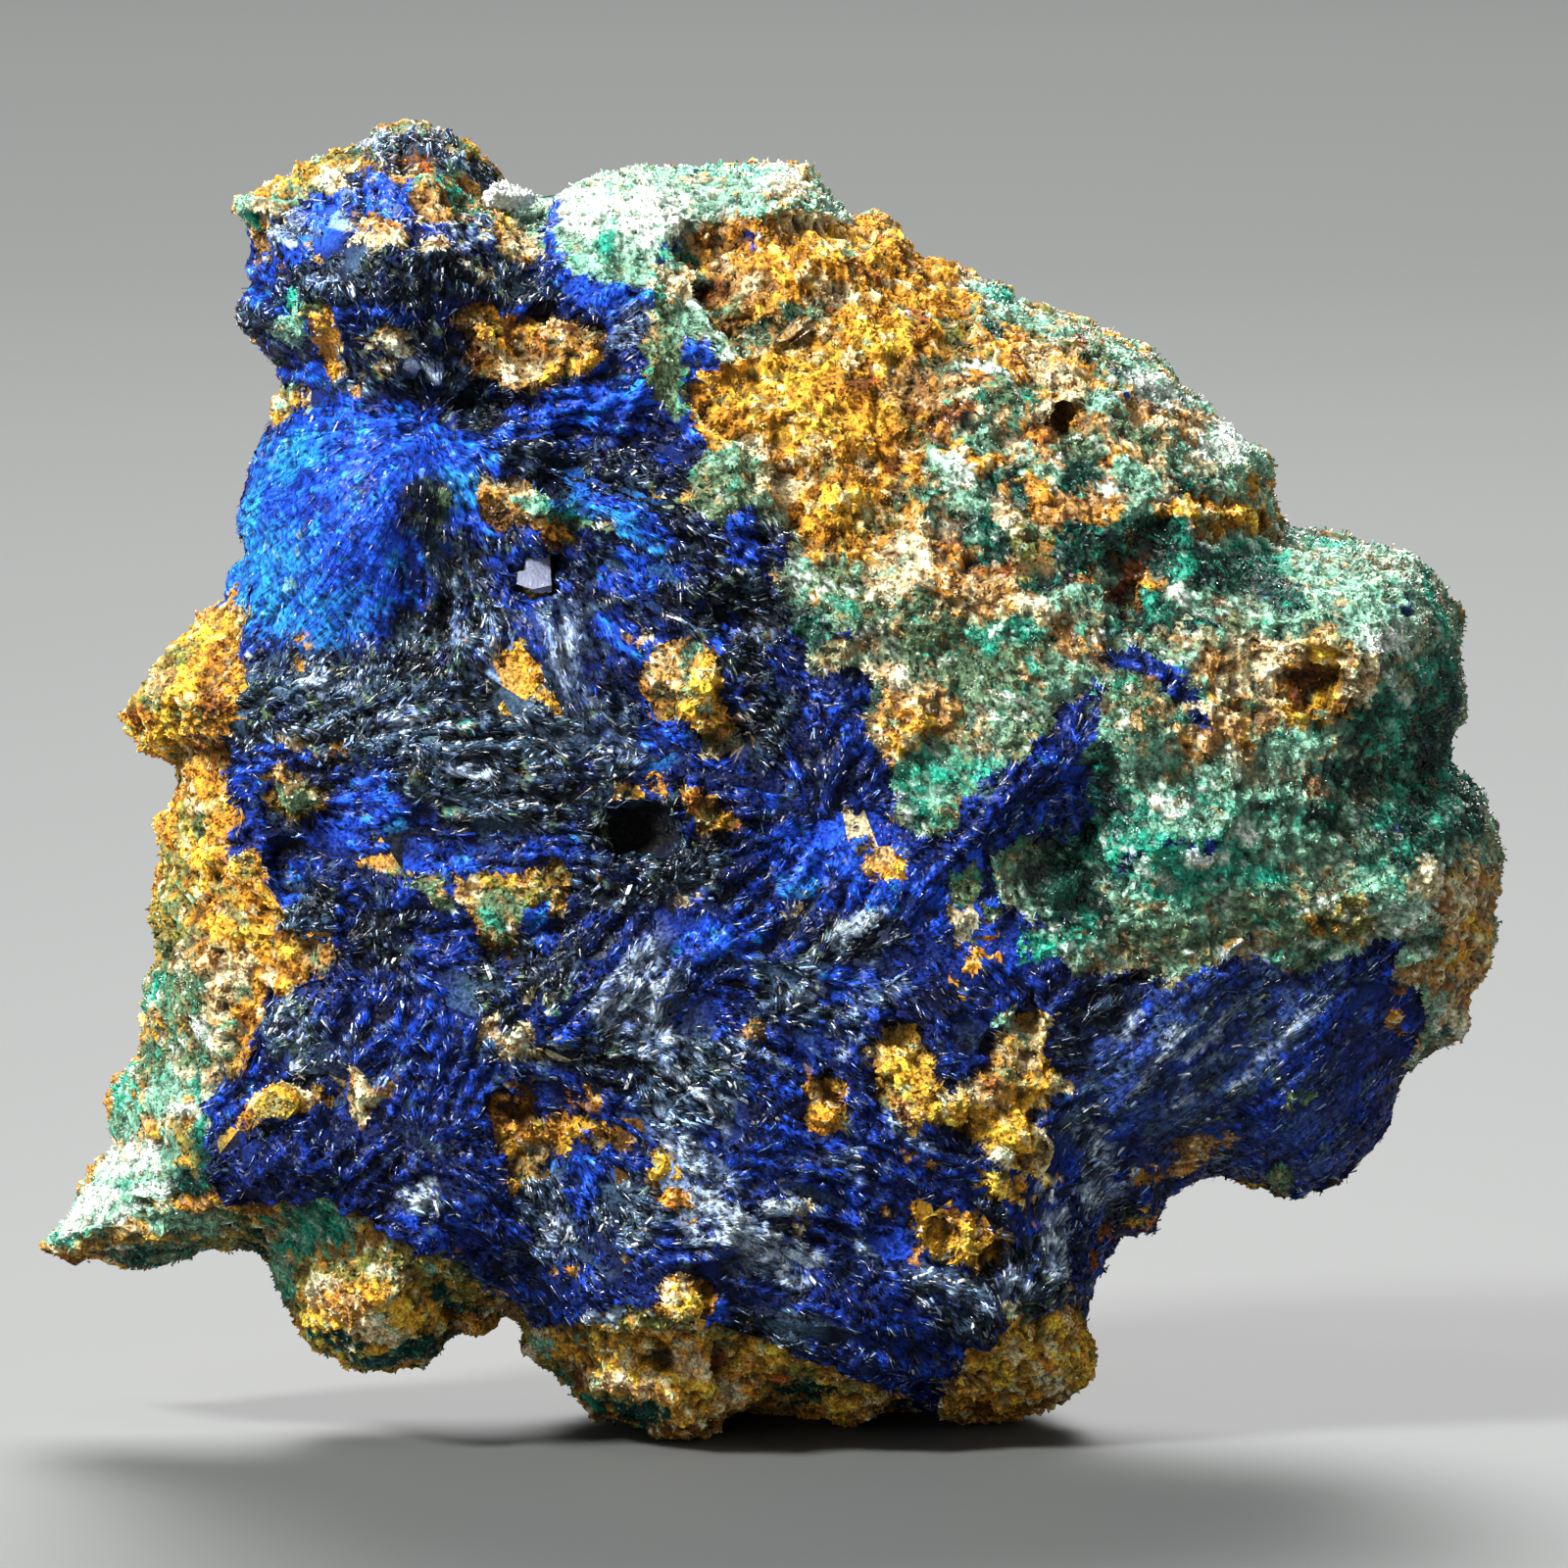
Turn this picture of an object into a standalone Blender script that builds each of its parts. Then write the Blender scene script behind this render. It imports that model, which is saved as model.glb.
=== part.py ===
"""Linarite specimen: blue linarite and green brochantite crusts grown on a lump of gossan.

The specimen stands on three worn feet and leans back a little. Its face is laid out in face
coordinates, in millimetres: u runs to the right, v up the face and w into the rock. One sheet of
triangles covers the whole face. The matrix and every crust are cut from that same sheet, so each
crust follows the rock beneath it at an even gap.
"""

import math
import random

import bmesh
import bpy
from mathutils import Vector, noise
from mathutils.geometry import delaunay_2d_cdt

MM = 0.001

# Driving dimensions, in millimetres and degrees
LEAN = 5.5
FRONT_BULGE = 12.5
BACK_BULGE = 25.0
CRUST_THICKNESS = 1.0
GAP = 0.3
SEAM_INSET = 0.2
SHELF_DROP = 3.0
FLANK_DROP = 0.9
SHELF_TOP = 28.0
FLOOR_CUT = 0.3
FLOOR_AT_DEPTH = 1.0
DEPTH_CENTRE = 8.6

# How finely the sheet is divided, in millimetres
RIM_STEP = 2.6
SEAM_STEP = 2.4
FACE_SPACING = 2.14
BACK_SPACING = 4.8
CLEARANCE = 0.85
SEAM_CLEARANCE = 0.6
FRONT_RIM_INSET = 0.9
BACK_RIM_INSET = 2.4
SHELF_INSET = 1.0
WINDOW_INSET = 0.8
WINDOW_STEP = 1.6

# The grid of loose points: its lowest corner and its size, in millimetres, and as shares of the
# spacing how far a point is shaken and how near it may come to another
GRID_CORNER = (-46.0, -2.0)
GRID_SIZE = (94.0, 84.0)
GRID_SHAKE = 0.22
GRID_CLEARANCE = 0.62

# On the back, how near loose points come to the rim and to each other, as shares of the rim inset
BACK_RING_STEP = 0.6 * BACK_SPACING
BACK_RING_TO_RIM = 0.8 * BACK_RIM_INSET
BACK_RING_CLEARANCE = 0.9 * BACK_RIM_INSET
BACK_SEAM_CLEARANCE = 1.5 * BACK_RIM_INSET

# How the sides round over, in millimetres
FRONT_ROUNDING = 6.5
BACK_ROUNDING = 9.0
HEEL_ROUNDING = 3.6
ROUNDING_UNEVENNESS = 0.5
ROUNDING_UNEVENNESS_SIZE = 7.0
RIM_WANDER = 2.2
RIM_WANDER_SIZE = 4.5
SHELF_BLEND = 6.0
SLOPE_BLEND = 1.6
LEAST_BACK_BULGE = 2.0

SEED = 11

# The whole outline of the specimen, clockwise from the left tip of the head
OUTLINE = (
    (-33.2, 75.7), (-32.5, 76.4), (-31.3, 76.7), (-30.0, 77.2), (-28.8, 78.4), (-26.2, 78.7),
    (-24.5, 80.1), (-23.0, 80.7), (-20.6, 80.8), (-19.1, 79.9), (-17.2, 78.6), (-15.5, 77.2),
    (-14.4, 77.0), (-13.8, 76.2), (-12.7, 76.7), (-11.1, 77.4), (-8.4, 78.4), (-5.2, 78.1),
    (-1.9, 78.3), (0.8, 78.7), (2.2, 77.9), (3.7, 76.5), (5.5, 75.4), (7.9, 74.5), (8.8, 73.5),
    (9.6, 72.2), (10.9, 72.5), (12.6, 71.6), (14.5, 70.8), (15.5, 69.5), (18.4, 69.2), (20.4, 68.3),
    (22.1, 67.7), (23.7, 67.0), (24.7, 65.5), (26.4, 63.7), (28.1, 62.4), (28.9, 61.3), (30.1, 61.1),
    (30.8, 60.4), (30.6, 58.0), (31.5, 56.1), (34.3, 55.7), (37.0, 55.1), (39.5, 54.4), (41.3, 52.1),
    (42.4, 50.3), (42.6, 46.8), (42.9, 44.2), (42.0, 43.2), (41.7, 41.8), (43.5, 39.9), (44.9, 37.7),
    (45.1, 36.4), (44.5, 33.0), (44.7, 31.2), (43.9, 28.4), (42.7, 27.1), (42.9, 25.2), (40.5, 23.2),
    (39.1, 22.0), (38.5, 20.8), (38.2, 19.3), (36.8, 17.2), (35.3, 15.7), (33.8, 14.6), (31.2, 14.6),
    (29.1, 15.1), (27.1, 15.8), (24.9, 14.9), (24.0, 13.3), (23.4, 12.5), (21.6, 12.2), (20.6, 10.3),
    (19.8, 8.1), (19.9, 6.2), (20.0, 4.6), (19.2, 2.9), (17.3, 2.0), (15.8, 1.1), (12.8, 0.8),
    (11.1, 0.6), (9.9, 0.9), (9.0, 1.5), (8.1, 1.3), (6.0, 0.6), (3.5, 0.8), (2.6, 1.6), (0.8, 1.9),
    (-0.9, 2.0), (-2.5, 1.6), (-3.5, 0.4), (-4.6, -0.6), (-6.4, -0.5), (-7.5, 0.3), (-9.0, 1.0),
    (-10.8, 1.4), (-11.8, 2.3), (-13.3, 3.8), (-14.5, 4.6), (-15.5, 5.0), (-15.6, 7.0), (-16.3, 7.7),
    (-17.2, 6.4), (-18.3, 5.9), (-19.3, 6.4), (-19.8, 5.3), (-21.7, 4.1), (-23.3, 3.8), (-25.3, 3.9),
    (-27.1, 5.0), (-29.1, 6.1), (-29.8, 8.0), (-30.6, 9.6), (-31.2, 11.2), (-32.4, 11.3),
    (-34.7, 11.4), (-36.6, 10.4), (-38.9, 10.0), (-40.1, 10.1), (-40.8, 10.7), (-42.2, 10.5),
    (-44.5, 11.0), (-45.1, 11.5), (-44.5, 12.8), (-42.9, 14.2), (-42.4, 16.1), (-41.9, 17.3),
    (-40.8, 17.8), (-40.6, 19.1), (-41.0, 20.2), (-40.8, 22.1), (-39.3, 23.1), (-38.7, 24.5),
    (-39.0, 26.5), (-38.9, 27.8), (-37.8, 29.8), (-38.2, 31.9), (-37.9, 34.4), (-37.6, 37.0),
    (-37.9, 37.8), (-36.8, 38.6), (-36.6, 40.1), (-36.8, 41.4), (-38.2, 41.6), (-39.6, 43.4),
    (-39.9, 44.6), (-38.4, 46.5), (-37.9, 47.4), (-36.2, 49.1), (-34.4, 50.9), (-33.3, 52.9),
    (-33.1, 55.1), (-32.9, 57.5), (-32.4, 59.0), (-31.0, 62.6), (-30.4, 65.3), (-31.7, 66.8),
    (-33.0, 68.6), (-32.5, 70.0), (-31.8, 71.6), (-31.9, 72.6), (-32.2, 73.5),
)

# Edges of the crusts, clockwise round the linarite. Points past the outline run off the rock.
HEAD_EDGE = (
    (-33.9, 70.1), (-33.1, 72.0), (-31.5, 72.4), (-30.3, 73.9), (-29.2, 75.5), (-26.6, 76.3),
    (-24.9, 77.0), (-22.6, 77.1), (-21.6, 75.9), (-20.4, 74.6), (-18.4, 74.8), (-16.9, 73.7),
    (-15.8, 72.2), (-14.4, 72.1),
)
HEAD_SPUR = (
    (-14.1, 75.7), (-13.3, 76.1), (-12.5, 74.5), (-12.0, 71.8),
)
SEAM_SLOPE = (
    (-12.0, 71.8), (-9.6, 70.5), (-7.2, 69.4), (-6.8, 68.3), (-5.6, 67.0), (-4.1, 66.1), (-5.1, 65.3),
    (-5.2, 63.8),
)
NOTCH = (
    (-4.2, 62.6), (-2.5, 61.2),
)
SEAM_FIELD = (
    (-2.5, 61.2), (-4.5, 60.2), (-5.2, 58.7), (-4.5, 57.2), (-3.3, 56.3), (-0.3, 55.3), (-0.4, 53.8),
    (0.1, 51.5), (0.8, 49.7), (2.1, 48.7), (2.4, 47.0), (4.9, 47.0), (6.0, 46.0), (5.7, 43.5),
    (7.0, 42.3), (7.5, 40.4), (7.6, 38.3), (8.7, 36.9), (12.1, 39.1), (13.0, 41.0), (15.8, 42.1),
    (16.8, 43.7), (18.0, 45.2), (19.4, 46.4), (18.8, 44.4), (20.0, 42.9), (19.9, 41.3), (19.4, 40.1),
    (17.6, 39.1), (16.3, 38.3), (15.3, 36.9), (13.0, 35.1), (13.9, 33.2), (15.4, 31.9), (16.8, 29.9),
    (18.3, 28.2), (21.8, 29.0), (23.3, 27.7), (24.8, 27.3), (26.6, 28.7), (28.3, 30.1), (28.8, 28.6),
    (32.5, 28.4), (34.5, 29.6), (36.3, 30.4), (37.8, 30.8), (37.9, 27.8), (40.1, 26.8), (39.5, 24.5),
    (39.0, 22.8),
)
RIGHT_OUTSIDE = (
    (40.9, 20.9), (39.8, 16.7), (36.8, 13.1), (30.8, 12.8), (27.1, 14.4), (25.6, 13.1), (24.4, 11.0),
    (22.3, 10.7), (21.9, 7.7),
)
LOWER_EDGE = (
    (21.9, 5.8), (18.8, 6.6), (17.6, 7.4), (16.1, 8.2), (15.4, 7.0), (13.5, 5.8), (11.8, 4.8),
    (12.6, 2.3), (10.7, 3.5), (9.6, 3.8), (9.9, -0.1), (8.2, -0.1), (7.6, 2.6), (6.3, 2.9), (3.6, 4.1),
    (0.5, 5.3), (-1.1, 5.8), (-2.7, 6.2), (-5.7, 6.7), (-7.9, 6.5), (-11.2, 6.7), (-14.1, 6.8),
    (-15.4, 7.5), (-16.5, 8.5), (-18.6, 9.5), (-20.2, 10.1), (-21.3, 11.2), (-22.6, 12.1),
    (-24.0, 12.7), (-25.4, 13.5), (-27.4, 14.4), (-29.4, 14.1), (-32.4, 13.8), (-33.8, 14.7),
    (-34.7, 15.6), (-34.5, 17.0), (-35.1, 18.5), (-34.7, 19.7), (-35.1, 20.9), (-34.4, 21.8),
    (-33.3, 22.2), (-32.7, 23.6), (-32.1, 25.0), (-31.3, 26.3), (-30.9, 28.1), (-26.4, 29.3),
    (-30.2, 31.1), (-31.2, 32.9), (-32.9, 34.7), (-33.1, 39.3), (-32.9, 41.0), (-33.3, 41.8),
    (-35.9, 42.5), (-36.3, 44.0), (-34.6, 45.8), (-32.9, 48.0), (-32.4, 50.9), (-32.5, 54.5),
    (-34.2, 55.4), (-33.6, 59.3), (-32.7, 61.7), (-30.0, 62.5), (-28.9, 64.0), (-31.5, 64.7),
    (-33.4, 67.1),
)

# Edges of the two brochantite crusts, where they leave the linarite
SLOPE_OUTSIDE = (
    (-14.6, 77.3), (-11.2, 79.1), (-8.2, 80.0), (-5.2, 79.4), (0.8, 80.3), (4.2, 77.9),
)
SLOPE_INNER = (
    (5.1, 74.6), (3.4, 74.8), (0.8, 74.8), (-2.2, 74.0), (-5.0, 74.2), (-5.8, 72.4), (-3.6, 71.2),
    (-4.3, 70.1), (-2.5, 67.7), (0.1, 67.4), (3.4, 69.6), (3.6, 68.2), (0.8, 67.0), (-1.6, 65.0),
    (-4.3, 64.2), (-5.2, 63.8),
)
FIELD_INNER = (
    (-2.5, 61.2), (0.8, 59.9), (0.8, 55.4), (3.8, 54.5), (7.0, 55.2), (8.7, 58.1), (9.4, 61.0),
    (10.5, 64.1), (10.7, 67.1), (12.8, 67.8), (11.8, 70.1), (10.7, 73.7),
)
FIELD_OUTSIDE = (
    (15.1, 72.0), (16.9, 70.7), (20.6, 69.8), (24.8, 67.7), (28.3, 63.6), (31.5, 62.2), (32.2, 58.1),
    (32.9, 56.9), (37.9, 56.3), (42.1, 53.3), (43.6, 49.7), (43.9, 43.7), (43.0, 42.2), (45.8, 39.5),
    (46.4, 35.9), (45.9, 30.5), (45.1, 28.1), (43.8, 26.3), (43.8, 24.5), (40.6, 22.2),
)

# Places where the matrix shows through a crust
WINDOWS = {
    "knuckles under the brow": (
        (-18.6, 68.3), (-17.2, 68.9), (-15.4, 67.4), (-14.2, 69.0), (-11.8, 68.8), (-10.0, 67.4),
        (-9.8, 65.8), (-10.7, 64.6), (-12.2, 64.8), (-13.9, 62.9), (-16.6, 62.9), (-17.2, 65.0),
        (-18.6, 67.1),
    ),
    "tan lump on the fan": (
        (-17.1, 58.1), (-15.4, 58.8), (-13.0, 58.6), (-11.2, 57.2), (-11.4, 55.7), (-13.7, 55.1),
        (-16.1, 55.2), (-17.1, 56.3),
    ),
    "arm": (
        (-7.2, 48.2), (-5.2, 49.0), (-3.9, 47.8), (-2.9, 45.8), (-1.6, 42.7), (-3.0, 41.8), (-5.2, 43.0),
        (-6.9, 44.4), (-7.4, 46.6),
    ),
    "green eye": (
        (-18.6, 34.7), (-16.1, 35.0), (-13.8, 35.8), (-12.3, 34.5), (-12.4, 31.4), (-13.5, 30.1),
        (-15.4, 29.5), (-17.0, 29.6), (-18.1, 31.0),
    ),
    "lip of the deep pit": (
        (-5.8, 40.1), (-3.4, 40.5), (-2.5, 38.6), (-1.6, 37.1), (-2.9, 36.2), (-4.3, 36.1), (-5.4, 37.4),
        (-6.1, 38.9),
    ),
    "forked window": (
        (5.5, 24.0), (6.8, 25.8), (8.7, 25.2), (9.5, 23.4), (11.2, 22.0), (12.4, 22.3), (13.8, 25.0),
        (15.4, 26.8), (16.1, 25.1), (15.9, 23.3), (18.1, 23.0), (17.2, 20.6), (16.1, 20.0), (16.3, 18.2),
        (17.2, 17.1), (15.1, 17.4), (13.0, 18.4), (10.7, 18.5), (9.2, 20.8), (7.2, 20.0), (6.1, 22.0),
    ),
    "orange hook": (
        (-16.8, 21.6), (-14.5, 20.0), (-11.2, 19.8), (-10.3, 18.8), (-11.2, 18.0), (-13.7, 18.4),
        (-14.1, 16.4), (-14.5, 15.1), (-15.8, 15.5), (-15.4, 17.8), (-16.9, 19.4),
    ),
    "gold flake": (
        (-4.4, 10.4), (-3.5, 9.3), (-4.0, 8.0), (-5.0, 7.1), (-6.5, 7.4), (-6.9, 8.3), (-5.7, 9.3),
    ),
    "triangle": (
        (3.3, 22.6), (4.2, 21.2), (5.0, 19.7), (3.4, 19.3), (1.8, 19.5), (2.4, 21.2),
    ),
    "lens": (
        (-32.2, 20.6), (-31.0, 21.8), (-28.6, 22.3), (-26.6, 22.0), (-26.3, 20.9), (-28.1, 19.8),
        (-30.1, 19.1), (-31.9, 19.7),
    ),
    "ochre bar": (
        (9.4, 13.4), (12.4, 13.4), (13.3, 12.1), (15.0, 11.7), (15.1, 10.7), (13.3, 10.6), (10.7, 11.0),
        (9.8, 12.2),
    ),
    "hexagon": (
        (-30.9, 39.8), (-29.2, 41.3), (-27.4, 41.0), (-26.5, 40.1), (-26.7, 38.0), (-28.6, 37.1),
        (-30.1, 37.4),
    ),
    "gold halo of the pocket": (
        (28.1, 48.0), (30.8, 49.6), (33.8, 50.2), (35.9, 49.2), (36.3, 46.7), (35.7, 44.6), (33.8, 43.2),
        (30.8, 43.4), (28.5, 44.3), (27.3, 46.1),
    ),
    "ochre strip": (
        (22.9, 57.2), (25.6, 57.8), (30.1, 57.1), (30.5, 55.7), (27.1, 55.2), (24.8, 54.5), (23.1, 55.7),
    ),
    "cream knuckle": (
        (15.8, 66.2), (17.8, 67.1), (19.5, 66.2), (19.6, 64.1), (18.3, 61.4), (16.5, 61.7), (15.4, 64.1),
    ),
}

# Small crystals and veins set into the crusts
PATCHES = {
    "linarite_vein_upper": (
        (20.4, 48.8), (21.8, 49.1), (22.7, 47.5), (24.5, 46.7), (25.5, 45.1), (26.4, 43.6), (25.1, 43.6),
        (23.9, 45.1), (22.3, 46.1), (20.3, 47.5),
    ),
    "linarite_vein_middle": (
        (20.7, 34.5), (21.8, 35.8), (23.6, 36.4), (24.8, 36.2), (24.6, 35.5), (22.9, 35.0), (21.9, 33.8),
    ),
    "cerussite_flake": (
        (-17.2, 76.6), (-16.3, 76.9), (-14.8, 76.3), (-14.2, 76.0), (-15.3, 75.7), (-16.8, 76.0),
    ),
    "anglesite_crystal": (
        (-14.8, 53.8), (-13.3, 54.0), (-13.1, 51.9), (-14.4, 51.6), (-15.5, 52.0), (-15.4, 53.0),
        (-14.8, 53.1),
    ),
}

# Broad facets of the front: they fall away past (u, v) in a direction, by a slope
FRONT_FACETS = (
    # (u, v, direction in degrees, slope)
    (0.0, 57.0, 82, 0.48),
    (22.0, 52.0, 50, 0.40),
    (30.0, 36.0, 0, 0.32),
    (13.0, 24.0, -35, 0.40),
    (-22.0, 45.0, 172, 0.48),
    (-20.0, 24.0, 205, 0.26),
    (0.0, 9.0, -90, 0.35),
)
BACK_FACETS = (
    (0.0, 52.0, 98, 0.52),
    (17.0, 42.0, 12, 0.56),
    (-13.0, 40.0, 170, 0.50),
    (-10.0, 26.0, 214, 0.52),
    (12.0, 22.0, -38, 0.55),
    (-2.0, 34.0, 60, 0.16),
    (0.0, 16.0, -92, 0.22),
)

# How deep the outline's edge lies at places round it
RIM_DEPTHS = (
    # (u, v, w)
    (-33.0, 76.0, 3.5), (-20.0, 80.5, 7.0), (-14.0, 76.5, 9.0), (-5.0, 78.0, 10.0),
    (8.0, 74.5, 10.5), (22.0, 67.5, 9.0), (31.0, 60.0, 8.0), (38.0, 55.0, 7.0), (43.0, 46.0, 8.0),
    (44.5, 36.0, 8.5), (43.0, 27.0, 7.0), (38.0, 20.0, 6.0), (32.0, 14.5, 7.0), (22.0, 11.5, 8.0),
    (20.0, 5.0, 6.5), (12.0, 0.8, 7.5), (3.0, 1.2, 7.0), (-4.7, -0.4, 1.0), (-10.0, 1.4, 4.0),
    (-15.5, 5.0, 7.0), (-23.0, 4.0, 6.0), (-29.0, 7.0, 8.0), (-33.0, 11.0, 9.5),
    (-44.0, 12.0, 9.0), (-41.0, 18.0, 9.5), (-38.0, 27.0, 8.0), (-37.0, 37.0, 7.0),
    (-39.7, 44.0, 6.0), (-34.0, 52.0, 5.0), (-32.5, 58.0, 4.0), (-30.5, 65.0, 5.5),
    (-33.0, 69.0, 3.0),
)

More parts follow.
